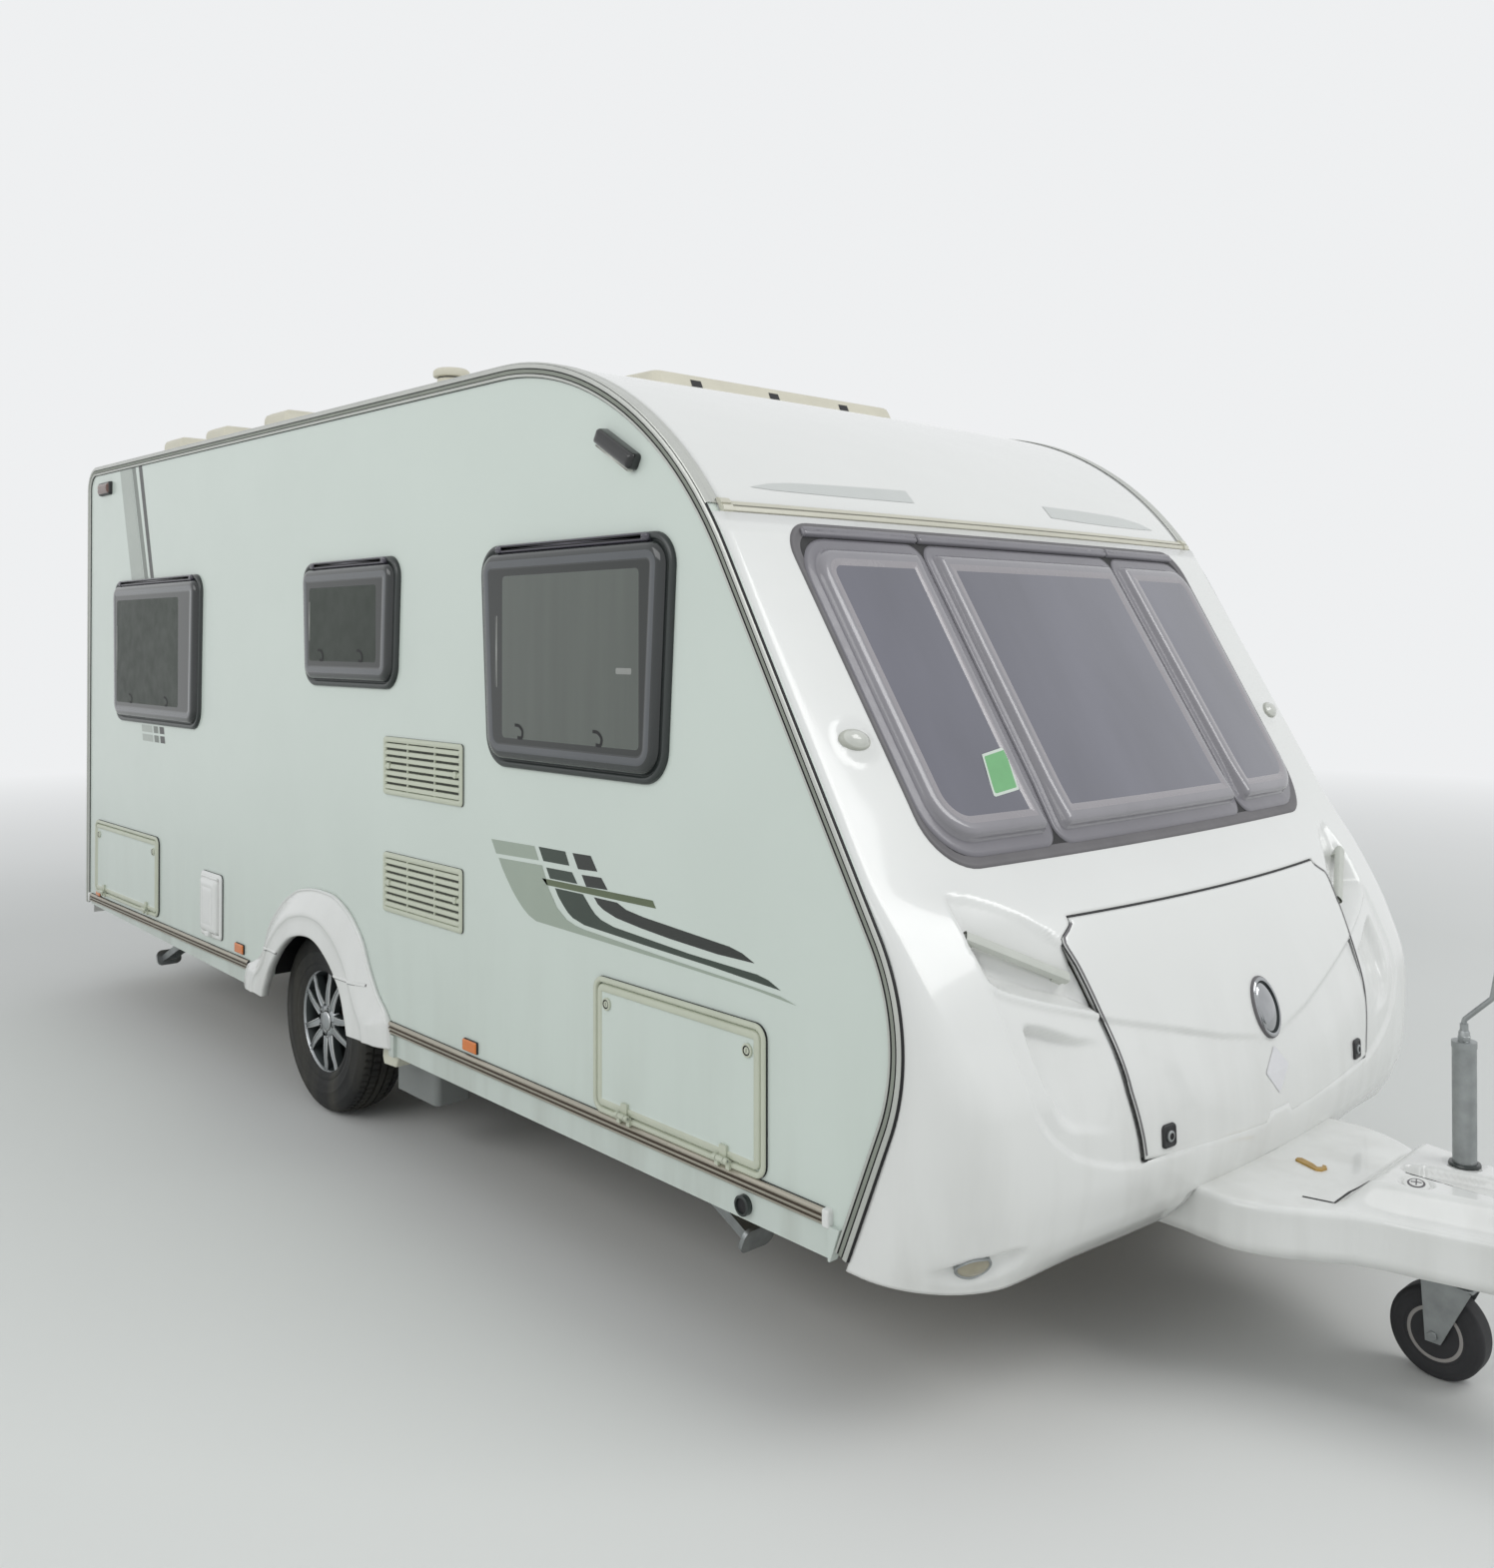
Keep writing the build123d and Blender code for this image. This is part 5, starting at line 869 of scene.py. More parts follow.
# Each pane's flange, rising edge and border carry a painted sky reflection in their colours
PANE_RINGS = [
    (0, 0), (1.5, 4.5), (10, 5.5), (26, 5.5), (30, 7.5, 1), (34, 13.5, 1), (38, 19, 1), (43, 22.5, 1),
    (50, 24, 1), (62, 24.2, 2), (74, 23.5, 2), (77, 22.5, 2), (79, 22.2, 2),
]
SIDE_TOP, SIDE_FOOT, SPLIT, PANE_GAP = 0.902, 0.868, 0.447, 0.002
inner, outer = SPLIT - PANE_GAP, SPLIT + PANE_GAP
PANES = [
    ("middle", rect(-inner, inner, PANE_FOOT, PANE_HEAD), [0.048, 0.048, 0.048, 0.048]),
    (
        "left", [(outer, PANE_FOOT), (SIDE_FOOT, PANE_FOOT), (SIDE_TOP, PANE_HEAD), (outer, PANE_HEAD)],
        [0.048, 0.14, 0.105, 0.048],
    ),
    (
        "right", [(-SIDE_FOOT, PANE_FOOT), (-outer, PANE_FOOT), (-outer, PANE_HEAD), (-SIDE_TOP, PANE_HEAD)],
        [0.14, 0.048, 0.048, 0.105],
    ),
]
for name, corners, radii in PANES:
    ring_shell(
        "front_pane_" + name, corners, radii, PANE_RINGS, on_pane,
        "pane_flange pane_edge pane_border", fill=False, arc=10, edge=14,
    )
    # Glass inside each pane, coloured with a painted sky reflection
    ring_shell(
        "front_glass_" + name, corners, radii, [(78.5, 22.2), (90, 22.4)], on_pane,
        "front_glass", arc=10, edge=14,
    )


def front_frame(foot_more, side_more, drop, rise):
    """Corners of an outline round all three panes"""
    foot, head = PANE_FOOT - drop, PANE_HEAD + rise
    y_foot, y_head = SIDE_FOOT + foot_more, SIDE_TOP + side_more
    return [(-y_foot, foot), (y_foot, foot), (y_head, head), (-y_head, head)]


ring_shell(
    "front_window_surround", front_frame(0.01, 0.014, 0.022, 0.04), [0.13, 0.13, 0.085, 0.085],
    [(0, -1), (2, 3.5), (10, 4.5), (16, 2), (32, 1)], on_nose, "rubber_grey", False, 10, 30,
)
ring_shell(
    "front_window_backing", front_frame(0, 0, 0, 0.03), [0.11, 0.11, 0.08, 0.08], [(0, 1.2), (50, 1.2)],
    on_nose, "seal_black", True, 8, 30,
)
BAR_SPANS = [
    ("right", -SIDE_TOP + 0.045, -SPLIT - 0.004), ("middle", -SPLIT + 0.004, SPLIT - 0.004),
    ("left", SPLIT + 0.004, SIDE_TOP - 0.045),
]
for name, start, end in BAR_SPANS:
    ring_shell(
        "front_hinge_bar_" + name, rect(start, end, PANE_HEAD + 0.003, PANE_HEAD + 0.025), 0.004,
        [(0, 1), (1, 12), (4, 13.5), (9.5, 13.8)], on_nose, "pane_flange", True, 3, 16,
    )
ring_shell(
    "window_tag", [(-0.63, 0.866), (-0.531, 0.877), (-0.506, 0.976), (-0.604, 0.962)], 0.004,
    [(0, 23.5), (1, 23.7), (6, 23.7, 1), (7, 23.7, 1)], on_pane, "tag_edge tag_green", True, 2, 4,
)

# Side and rear windows: rubber frame, hinge bar, pillow pane and what shows through it
REAR_STATION = -0.06


def wall_place(side):
    """Places on a wall, by the station on the right, minus the station on the left, or minus y behind"""
    if side == "rear":
        return lambda x, z, lift: at(REAR_STATION - lift, -x, z)
    if side == "left":
        return lambda x, z, lift: at(-x, HALF_WIDTH + lift, z)
    return lambda x, z, lift: at(x, -HALF_WIDTH - lift, z)


def fitting(
    name, x0, x1, z0, z1, side, radius, profile, looks, body="caravan", fill=True, arc=6, edge=4,
):
    """A ring shell on a rectangle of a wall, between two stations"""
    if side == "left":
        x0, x1 = -x1, -x0
    return ring_shell(
        name, rect(x0, x1, z0, z1), radius, profile, wall_place(side), looks, fill, arc, edge, body,
    )


def wall_slab(name, outline, side, low, high, looks, body="caravan", bevel=0.0):
    sign = -1 if side == "left" else 1
    return slab(
        name, [(sign * x, z) for x, z in outline], wall_place(side), low, high, looks, body, bevel,
    )


# Frame rings: rubber, then the smoked pane with a lighter band on its pillow that is a painted reflection
FRAME_RINGS = [
    (0, 0), (1, 8), (5, 12.5), (13, 14), (18, 12.5), (20.5, 6), (23.5, 6), (25, 12, 1), (27.5, 19.5, 1),
    (32.5, 25, 1), (40, 28.5, 1), (48, 29.8, 2), (64, 30, 2), (68, 29.2, 1), (72, 28.8, 1),
]
BAR_RINGS = [(0, 6), (0.5, 15), (3, 18), (6, 18.8, 1), (7.5, 16, 1), (9.5, 16), (11, 18.5)]
BAR_END_RINGS = [(0, 6), (0.5, 16), (3, 20.5), (8, 21.5)]
# Name, side, rear and front ends, foot, head, taper, corner radius and whether a curtain hangs behind
WINDOWS = [
    ("right_rear", "right", 0.35, 1.42, 0.876, 1.521, 0.022, 0.075, False),
    ("right_kitchen", "right", 2.38, 3.09, 1.087, 1.521, 0.022, 0.07, False),
    ("right_lounge", "right", 3.58, 4.48, 0.884, 1.521, 0.04, 0.085, True),
    ("left_rear", "left", 0.35, 1.42, 0.876, 1.521, 0.022, 0.075, False),
    ("left_lounge", "left", 3.72, 4.48, 0.884, 1.521, 0.04, 0.085, True),
    ("rear", "rear", -0.62, 0.62, 0.9, 1.5, 0.02, 0.08, True),
]
# The curtain, the stay and the label lie at the glass, whose lift is 29 mm
CURTAIN_RINGS = [(0, 29), (20, 29.1)]
STAY_RINGS = [(0, 29), (0.5, 29.8), (1.5, 30)]
LABEL_RINGS = [(0, 29.2), (1, 29.6)]
HOOK = [(-0.026, 0.024), (-0.004, 0.022), (0.012, 0.008), (0.008, -0.01), (-0.012, -0.01)]
HOOK_LIFT = 0.0298


def window(name, side, rear, front, foot, head, taper, radius, blind):
    sign = -1 if side == "left" else 1
    a, b = sorted((sign * rear, sign * front))
    corners = [(a + taper, foot), (b - taper, foot), (b, head), (a, head)]
    radii = [radius * 1.15, radius * 1.15, radius, radius]
    place = wall_place(side)
    ring_shell(
        "window_" + name, corners, radii, FRAME_RINGS, place,
        "rubber_dark pane_smoked pane_band", fill=False, arc=9, edge=6,
    )
    glass = "glass_blind" if blind else "glass_dark"
    ring_shell("glass_" + name, corners, radii, [(71.5, 28.8), (85, 28.9)], place, glass, True, 9, 6)
    width, height = front - rear, head - foot
    bar_start, bar_end = rear + radius * 1.12 + 0.012, front - radius * 1.12 - 0.012
    fitting(
        f"window_bar_{name}", bar_start, bar_end, head - 0.025, head - 0.001, side, 0.006, BAR_RINGS,
        "bar_purple seal_black",
    )
    for k, x in enumerate((bar_start - 0.012, bar_end - 0.02)):
        fitting(
            f"window_bar_end_{name}_{k}", x, x + 0.032, head - 0.0255, head - 0.0025, side, 0.009,
            BAR_END_RINGS, "bar_purple",
        )
    start = rear + (0.15 if blind else 0.095)
    end = front - (0.125 if side == "rear" else 0.205 if side == "right" and width > 1.0 else 0.12)
    curtain = "net_curtain" if blind else "mesh_screen"
    fitting(
        f"window_curtain_{name}", start, end, foot + 0.088, head - 0.092, side, 0.014, CURTAIN_RINGS, curtain,
    )
    stay = rear + (0.12 if blind else 0.098)
    fitting(
        f"window_stay_{name}", stay - 0.004, stay + 0.004, foot + height * 0.36, foot + height * 0.68, side,
        0.0035, STAY_RINGS, "stay_pale",
    )
    if blind and side != "rear":
        fitting(
            f"window_label_{name}", front - 0.215, front - 0.15, foot + height * 0.435, foot + height * 0.46,
            side, 0.003, LABEL_RINGS, "stay_pale",
        )
    for share in (0.27, 0.68):
        curve = softened([(rear + width * share + x, foot + 0.102 + z) for x, z in HOOK], 5)
        ribbon(
            f"window_catch_{name}_{share}", [(sign * p.x, p.y) for p in curve], 0.009, place, HOOK_LIFT,
            "seal_black",
        )


def softened(points, steps=6):
    """Points on a curve through the given points"""
    path = [Vector(p) for p in points]
    result = []
    for k in range(len(path) - 1):
        before, a, b, after = path[max(k - 1, 0)], path[k], path[k + 1], path[min(k + 2, len(path) - 1)]
        for s in range(steps):
            t = s / steps
            slope = (b - before) * t
            bend = (2 * before - 5 * a + 4 * b - after) * t * t
            twist = (3 * a - before - 3 * b + after) * t ** 3
            result.append(0.5 * (2 * a + slope + bend + twist))
    return result + [path[-1]]


for row in WINDOWS:
    window(*row)

# Roof's front cap: level, one arc and the slant, crowned towards the middle
CAP_RADIUS = 1.15
CAP_CENTRE = (3.668, 0.886)
CAP_HALF = 1.07
CAP_CROWN = 0.048
SEAM_HEIGHT = 1.558


def cap_point(y, turn, lift=0.0):
    crown = CAP_CROWN * (1 - (y / CAP_HALF) ** 2)
    reach = CAP_RADIUS + lift
    return at(
        CAP_CENTRE[0] + crown * sin(turn) ** 0.5 + reach * sin(turn), y, CAP_CENTRE[1] + reach * cos(turn),
    )


def cap_turn(height):
    return pi / 2 - asin((height - CAP_CENTRE[1]) / CAP_RADIUS)


cap_ys = [CAP_HALF * k / 30 for k in range(-30, 31)]
cap_rows = [[at(station, y, 2.0381) for y in cap_ys] for station in (3.58, 3.62)]
for row in range(49):
    turn = 0.0125 + (cap_turn(SEAM_HEIGHT) - 0.0125) * row / 48
    cap_rows.append([cap_point(y, turn) for y in cap_ys])
grid_object("roof_front_moulding", cap_rows, 0.026)


def on_cap(y, height, lift):
    return cap_point(y, cap_turn(height), lift)


STRIPES = {
    "roof_stripe_right": [
        (-0.93, 1.63), (-0.86, 1.6262), (-0.76, 1.6252), (-0.56, 1.625), (-0.341, 1.627), (-0.341, 1.663),
        (-0.5, 1.66), (-0.638, 1.6565), (-0.782, 1.6515), (-0.86, 1.6445),
    ],
    "roof_stripe_left": [
        (0.3, 1.6245), (0.48, 1.619), (0.637, 1.617), (0.8, 1.6175), (0.921, 1.62), (0.86, 1.64),
        (0.78, 1.651), (0.701, 1.657), (0.5, 1.661), (0.3, 1.662),
    ],
}
for name, outline in STRIPES.items():
    ends = zip(outline, outline[1:] + outline[:1])
    points = [Vector(a).lerp(Vector(b), k / 4) for a, b in ends for k in range(4)]
    slab(name, points, on_cap, 0.001, 0.001, "decal_light")


# Side walls' edge trim, which follows the side view and laps over the roof
def rounded_path(corners, radii, steps=14):
    """Points and outward directions along a line with rounded corners, seen from the right side"""
    points = []
    for k, corner in enumerate(corners):
        here = Vector(corner)
        if k in (0, len(corners) - 1):
            points.append(here)
            continue
        u = (here - Vector(corners[k - 1])).normalized()
        v = (Vector(corners[k + 1]) - here).normalized()
        turn = u.angle(v)
        reach = radii[k] * sin(turn / 2) / cos(turn / 2)
        start = here - u * reach
        centre = start + Vector((u.y, -u.x)) * radii[k]
        for s in range(steps + 1):
            points.append(centre + Matrix.Rotation(-turn * s / steps, 2).to_2x2() @ (start - centre))
    return points


def outward(points):
    result = []
    for k in range(len(points)):
        run = (points[min(k + 1, len(points) - 1)] - points[max(k - 1, 0)]).normalized()
        result.append(Vector((-run.y, run.x)))
    return result


EDGE_LINE = [(-0.06, -0.03), (-0.06, 2.083), (4.336, 2.028), (5.26, 0.43), (5.052, -0.078)]
EDGE_RADII = [0, 0.11, 1.15, 0.47, 0]
edge_points = rounded_path(EDGE_LINE, EDGE_RADII, 26)
edge_out = outward(edge_points)
FACE_TRIM = [
    (-40.5, 0, 2), (-40.5, 3.5, 2), (-39, 4), (-37.5, 7.8), (-31, 8.2, 2), (-29.8, 5.8, 2), (-28.4, 5.6, 1),
    (-27, 7.2, 1), (-18, 7.4, 2), (-16.8, 5.4, 2), (-15.2, 5.6), (-13.8, 8.2), (-4, 8.2), (-2.2, 7, 2),
    (-1, 5, 2), (1.2, 1, 2),
]
LAP_TRIM = [
    (-1, 5), (2, 4), (3.8, 0), (4.2, -12), (3, -14.5), (3, -29), (4.2, -31), (4.2, -38), (2, -41, 2),
    (-0.5, -42, 2),
]
TRIM_LOOKS = "trim_band trim_insert seal_black"
for hand, sign in SIDES:
    path = [at(p.x, sign * HALF_WIDTH, p.y) for p in edge_points]
    sides = [Vector((n.x, 0, n.y)) for n in edge_out]
    out = Vector((0, sign, 0))
    sweep("edge_trim_" + hand, path, sides, out, FACE_TRIM, TRIM_LOOKS)
    lap = [k for k, p in enumerate(edge_points) if p.y > SEAM_HEIGHT - 0.01 or p.x < 0]
    sweep(
        "edge_lap_" + hand, [path[k] for k in lap], [sides[k] for k in lap], out, LAP_TRIM, TRIM_LOOKS,
        caps=False,
    )

# Belly rails with three ribs, and their white ends
RAIL = [
    (-19, 0, 2), (-19, 6), (-16.5, 10.8), (-13, 13.2), (-9.5, 13.6, 1), (-8, 10, 1), (-5, 8.8), (-4, 12.8),
    (-1, 14), (2, 14, 1), (3.8, 9.2, 1), (6.8, 8.6), (8, 11.8), (12, 12.2), (16, 9), (18.5, 5, 2), (19, 0, 2),
]
CAP_RINGS = [(0, 0), (0.5, 12), (3, 15.5), (6, 16)]
for hand, sign in SIDES:
    for end, start, stop, cap in (("rear", 0.01, 1.902, 0.002), ("front", 3.012, 4.988, 4.994)):
        wall_sweep(
            f"belly_rail_{end}_{hand}", spaced(start, stop, 0.3), 0, sign, RAIL,
            "rail_band rail_dark seal_black",
        )
        fitting(
            f"belly_rail_cap_{end}_{hand}", cap - 0.011, cap + 0.011, -0.021, 0.021, hand, 0.005, CAP_RINGS,
            "body_moulding", arc=4, edge=2,
        )

# Rail over the seam between the front moulding and the roof's front cap, with an end cap at each side
# The rail's edge faces and groove walls take the grey look: a painted shadow along its upper and lower edges
# and in its grooves
SEAM_SECTION = [
    (-24, 0, 1), (-24, 5.5), (-21.5, 9), (-15.5, 9.8, 1), (-14, 5.5, 1), (-12, 6), (-10, 10.5), (-3, 13),
    (1.5, 12.8, 1), (3, 7, 1), (5.5, 7.2), (7.5, 11.2), (15, 11), (20, 8), (23.2, 4, 1), (24, 0, 1),
]
seam_up = Vector((4.336 - 5.26, 0, 2.028 - 0.43)).normalized()
seam_out = Vector((seam_up.z, 0, -seam_up.x))


def seam_sweep(name, ys, section, looks):
    sweep(name, [on_cap(y, SEAM_HEIGHT + 0.006, 0.0) for y in ys], seam_up, seam_out, section, looks)


seam_sweep(
    "seam_rail_front", [1.062 * k / 40 for k in range(-40, 41)], SEAM_SECTION, "seam_ivory rubber_grey",
)
for hand, sign in SIDES:
    grown = [(row[0] * 1.25, row[1] * 1.22 + 2) for row in SEAM_SECTION]
    seam_sweep(f"seam_rail_end_{hand}", [sign * y for y in (1.04, 1.046, 1.066, 1.07)], grown, "seam_ivory")

# Wheel arch spats: an outer bead, a wide bevel and a flatter inner zone, with a foot at each end
SPAT_OUTER = [
    (1.893, -0.074), (1.898, -0.03), (1.925, 0.012), (1.985, 0.038), (2.047, 0.084), (2.104, 0.188),
    (2.215, 0.287), (2.324, 0.343), (2.4, 0.362), (2.48, 0.372), (2.56, 0.373), (2.631, 0.368), (2.7, 0.346),
    (2.751, 0.321), (2.8, 0.285), (2.844, 0.24), (2.89, 0.164), (2.946, 0.091), (3.001, 0.046),
    (3.034, 0.005), (3.049, -0.066),
]
SPAT_INNER = [
    (2.098, -0.076), (2.106, -0.05), (2.118, -0.03), (2.133, -0.005), (2.15, 0.024), (2.18, 0.062),
    (2.24, 0.12), (2.31, 0.167), (2.36, 0.187), (2.43, 0.201), (2.5, 0.203), (2.56, 0.188), (2.612, 0.162),
    (2.652, 0.136), (2.69, 0.103), (2.722, 0.068), (2.745, 0.03), (2.76, -0.01), (2.769, -0.035),
    (2.775, -0.055), (2.78, -0.073),
]
SPAT_LIFT = [
    (0.0, 0.0006), (0.004, 0.008), (0.016, 0.0125), (0.034, 0.0125), (0.05, 0.0085), (0.075, 0.008),
    (0.1, 0.0095), (0.18, 0.017), (0.28, 0.0262), (0.38, 0.0345), (0.47, 0.0395), (0.53, 0.0412),
    (0.56, 0.0408), (0.58, 0.038), (0.6, 0.036), (0.7, 0.0362), (0.82, 0.0375), (0.9, 0.039), (0.95, 0.0392),
    (0.98, 0.038), (0.995, 0.035), (1.0, 0.03), (1.0, 0.01),
]
JOINT_HEIGHT = 0.107
SKIRT_FILL_FRONT = [(5.0001, -0.0899), (5.006, -0.0899), (5.034, -0.014), (5.0001, -0.014)]
SKIRT_FILL_SPAT = [(3.032, -0.0895), (3.062, -0.0895), (3.062, -0.02), (3.032, -0.02)]


def level_crossing(line, height, last):
    """Point where a line of points passes a height, the first time or the last"""
    found = []
    for a, b in zip(line, line[1:]):
        if (a.z - height) * (b.z - height) <= 0 and a.z != b.z:
            found.append(a.lerp(b, (height - a.z) / (b.z - a.z)))
    return found[-1 if last else 0]


JOINT_SECTION = [(-6.5, -1, 1), (-5, 0.6, 1), (-3, 0.8), (-1.5, 3.4), (2, 4.2), (5, 2.8), (7, -1)]
SPAT_BLOCK = [(2.965, -0.135), (3.045, -0.13), (3.06, -0.1), (3.055, -0.07), (2.96, -0.072), (2.955, -0.11)]
for hand, sign in SIDES:
    spat_rows = []
    for a, b in zip(softened(SPAT_OUTER, 7), softened(SPAT_INNER, 7)):
        foot = ease((0.075 - a.y) / 0.06)
        line = []
        for share, lift in SPAT_LIFT:
            if share < 0.5:
                lift = max(lift, (0.02 + 0.018 * ease(share / 0.3)) * foot * ease(share / 0.01))
            point = a + (b - a) * share
            line.append(at(point.x, sign * (HALF_WIDTH + lift), point.y))
        spat_rows.append(line)
    grid_object("spat_" + hand, spat_rows, 0.006)
    for k, last in enumerate((False, True)):
        columns = list(zip(*spat_rows))[7:-2]
        across = [level_crossing(column, JOINT_HEIGHT + RAIL_HEIGHT, last) for column in columns]
        sweep(
            f"spat_joint_{hand}_{k}", across, UP, Vector((0, sign, 0)), JOINT_SECTION,
            "body_moulding rubber_grey",
        )
    for k, corners in enumerate((SKIRT_FILL_FRONT, SKIRT_FILL_SPAT)):
        wall_slab(f"skirt_fill_{hand}_{k}", corners, hand, -0.012, 0.0117, "skirt_paint")
    wall_slab(f"spat_block_{hand}", SPAT_BLOCK, hand, -0.06, -0.006, "cream_plastic", bevel=0.006)

# Wheels: moulded tyre with a cut tread, and an alloy with five pairs of spokes
AXLE = (2.4, -0.124)
TYRE_PROFILE = [
    (178.5, -76), (190, -84), (196, -85.5), (203, -86.5), (206.5, -85), (210, -88), (225, -90.5),
    (244, -91.8), (247, -93), (250, -91.8), (268, -91), (284, -88.5), (289, -88.5), (292, -87), (300, -83.5),
    (308, -78.5), (313.5, -72.5),
]
TREAD = [
    (316.5, -67.5, 1), (318.5, -60, 1), (320.5, -50.5, 1), (312.8, -50), (312.8, -42.5), (322.2, -42, 2),
    (323.5, -30, 2), (324, -18.5, 2), (315, -18), (315, -10), (324.6, -9.5), (325, 0),
]
TYRE_STEPS = 288
WHEEL_Y = 0.955
RIM = [
    (203.5, -76), (200, -77.5), (193, -74), (180, -70, 2), (169, -50, 2), (162, 0, 2), (164, 35, 2),
    (170, 56, 2), (176, 66), (180, 73.5, 1), (186, 78.5, 1), (192.5, 80), (196.5, 83.8, 1), (201, 85.2, 1),
    (205, 84.8, 1), (206.2, 82.5), (203, 76.5),
]
HUB = [
    (20, 38, 2), (60, 39, 2), (64, 46), (61, 60), (53, 68), (40, 70.5, 1), (37.5, 70, 1), (36.2, 67, 2),
    (35, 71.5, 1), (32, 74.5), (20, 76.5), (0, 77.2),
]
SPOKE_REACH = [0.052, 0.07, 0.095, 0.125, 0.152, 0.17, 0.181]
# Half of a spoke's section from its middle out: share of its half width and lift, then all strips' looks
SPOKE = [(0.5, -0.0026), (0.62, 0.0002), (0.86, 0.0), (1.0, -0.004), (1.05, -0.03)]
SPOKE_LOOKS = (2, 1, 1, 0, 0, 0, 1, 1, 2)
BOLT = [
    (12.5, 64, 1), (12.5, 70.5, 1), (11.8, 71.6, 2), (9.8, 71.6, 2), (9.5, 64, 2), (8, 64), (8, 69), (6, 70),
    (0, 70),
]
VALVE = [(5.5, 60), (5.5, 66), (3.5, 68), (3.5, 78), (4.5, 79), (4.5, 86), (0, 88)]
RIM_LOOKS = "wheel_alloy alloy_bright alloy_dark"


def tyre(hand, centre):
    half = metres(TYRE_PROFILE + TREAD)
    profile = half + [(r, -w, cut) for r, w, cut in half[-2::-1]]
    mesh = bmesh.new()
    rings = []
    for r, w, cut in profile:
        ring = []
        for k in range(TYRE_STEPS):
            phase = (k + (2 if w > 0 else 0)) % 4
            deep = (cut == 1 and phase == 0) or (cut == 2 and (k + 1) % 4 == 0)
            radius = r - (0.0065 if deep else 0.0)
            turn = 2 * pi * (k + (abs(w) * 12 if cut else 0)) / TYRE_STEPS
            ring.append(mesh.verts.new(centre + Vector((radius * cos(turn), w, radius * sin(turn)))))
        rings.append(ring)
    for ring, after in zip(rings, rings[1:]):
        bridge(mesh, ring, after)
    finish_mesh(f"tyre_tread_{hand}", mesh, "tyre_rubber", f"wheel_{hand}", sharp=32)


def spokes(hand, centre, axis):
    """Five pairs of spokes that part towards the rim"""
    section = [(-w, d) for w, d in reversed(SPOKE)] + SPOKE
    mesh = bmesh.new()
    for pair in range(5):
        base = radians(67 + 72 * pair)
        for branch in (-1, 1):
            rows = []
            for r in SPOKE_REACH:
                share = (r - SPOKE_REACH[0]) / (SPOKE_REACH[-1] - SPOKE_REACH[0])
                swing = branch * (0.018 + 0.017 * share + 0.009 * share * share)
                half = 0.016 - 0.006 * share
                flare = 0.004 * share if share > 0.9 else 0
                top = 0.0705 - 0.004 * share + 0.0055 * sin(pi * share) + flare
                line = []
                for w, d in section:
                    across = swing + half * w
                    spread_out = Vector(
                        (cos(base) * r - sin(base) * across, 0, sin(base) * r + cos(base) * across)
                    )
                    line.append(mesh.verts.new(centre + axis * (top + d) + spread_out))
                rows.append(line)
            for first, second in zip(rows, rows[1:]):
                for j, number in enumerate(SPOKE_LOOKS):
                    mesh.faces.new((first[j], first[j + 1], second[j + 1], second[j])).material_index = number
    finish_mesh(f"alloy_spokes_{hand}", mesh, RIM_LOOKS, f"wheel_{hand}", sharp=35)


def round_wheel(degrees, reach):
    return Vector((cos(radians(degrees)), 0, sin(radians(degrees)))) * reach


for hand, sign in SIDES:
    centre = at(AXLE[0], sign * WHEEL_Y, AXLE[1])
    axis = Vector((0, sign, 0))
    body = f"wheel_{hand}"
    tyre(hand, centre)
    turned(f"alloy_rim_{hand}", RIM, centre, axis, RIM_LOOKS, 96, body, sharp=50)
    turned(f"alloy_hub_{hand}", HUB, centre, axis, RIM_LOOKS, 60, body)
    spokes(hand, centre, axis)
    for k in range(5):
        place = centre + round_wheel(67 + 72 * k, 0.05)
        turned(
            f"wheel_bolt_{hand}_{k}", BOLT, place, axis, "galvanised wheel_alloy seal_black", 18, body,
        )
    turned(
        f"tyre_valve_{hand}", VALVE, centre + round_wheel(31, 0.17), axis, "seal_black", 12, body,
    )

# Drawbar cover: a level deck, a hump with the lever's channel in it and rounded edges
COVER_EDGE = [
    (5.3, 0.338), (5.405, 0.34), (5.44, 0.345), (5.5, 0.35), (5.528, 0.348), (5.58, 0.331), (5.632, 0.304),
    (5.69, 0.262), (5.744, 0.224), (5.8, 0.203), (5.864, 0.188), (5.93, 0.168), (6.002, 0.147), (6.1, 0.126),
    (6.2, 0.104), (6.25, 0.092),
]
HUMP_HALF = [
    (5.64, 0.21), (5.7, 0.172), (5.76, 0.152), (5.83, 0.138), (5.9, 0.118), (6.0, 0.09), (6.1, 0.072),
    (6.25, 0.058),
]
DECK, HUMP_TOP, COVER_FOOT = -0.01, 0.052, -0.12
COVER_ROUND = 0.014
COVER_SIDE = [(0, COVER_FOOT), (0, -0.095), (-0.0015, -0.06), (-0.001, -0.034)]
JOCKEY_PLACE = (5.858, 0.09)
CAP_PLACE = (5.827, -0.103)


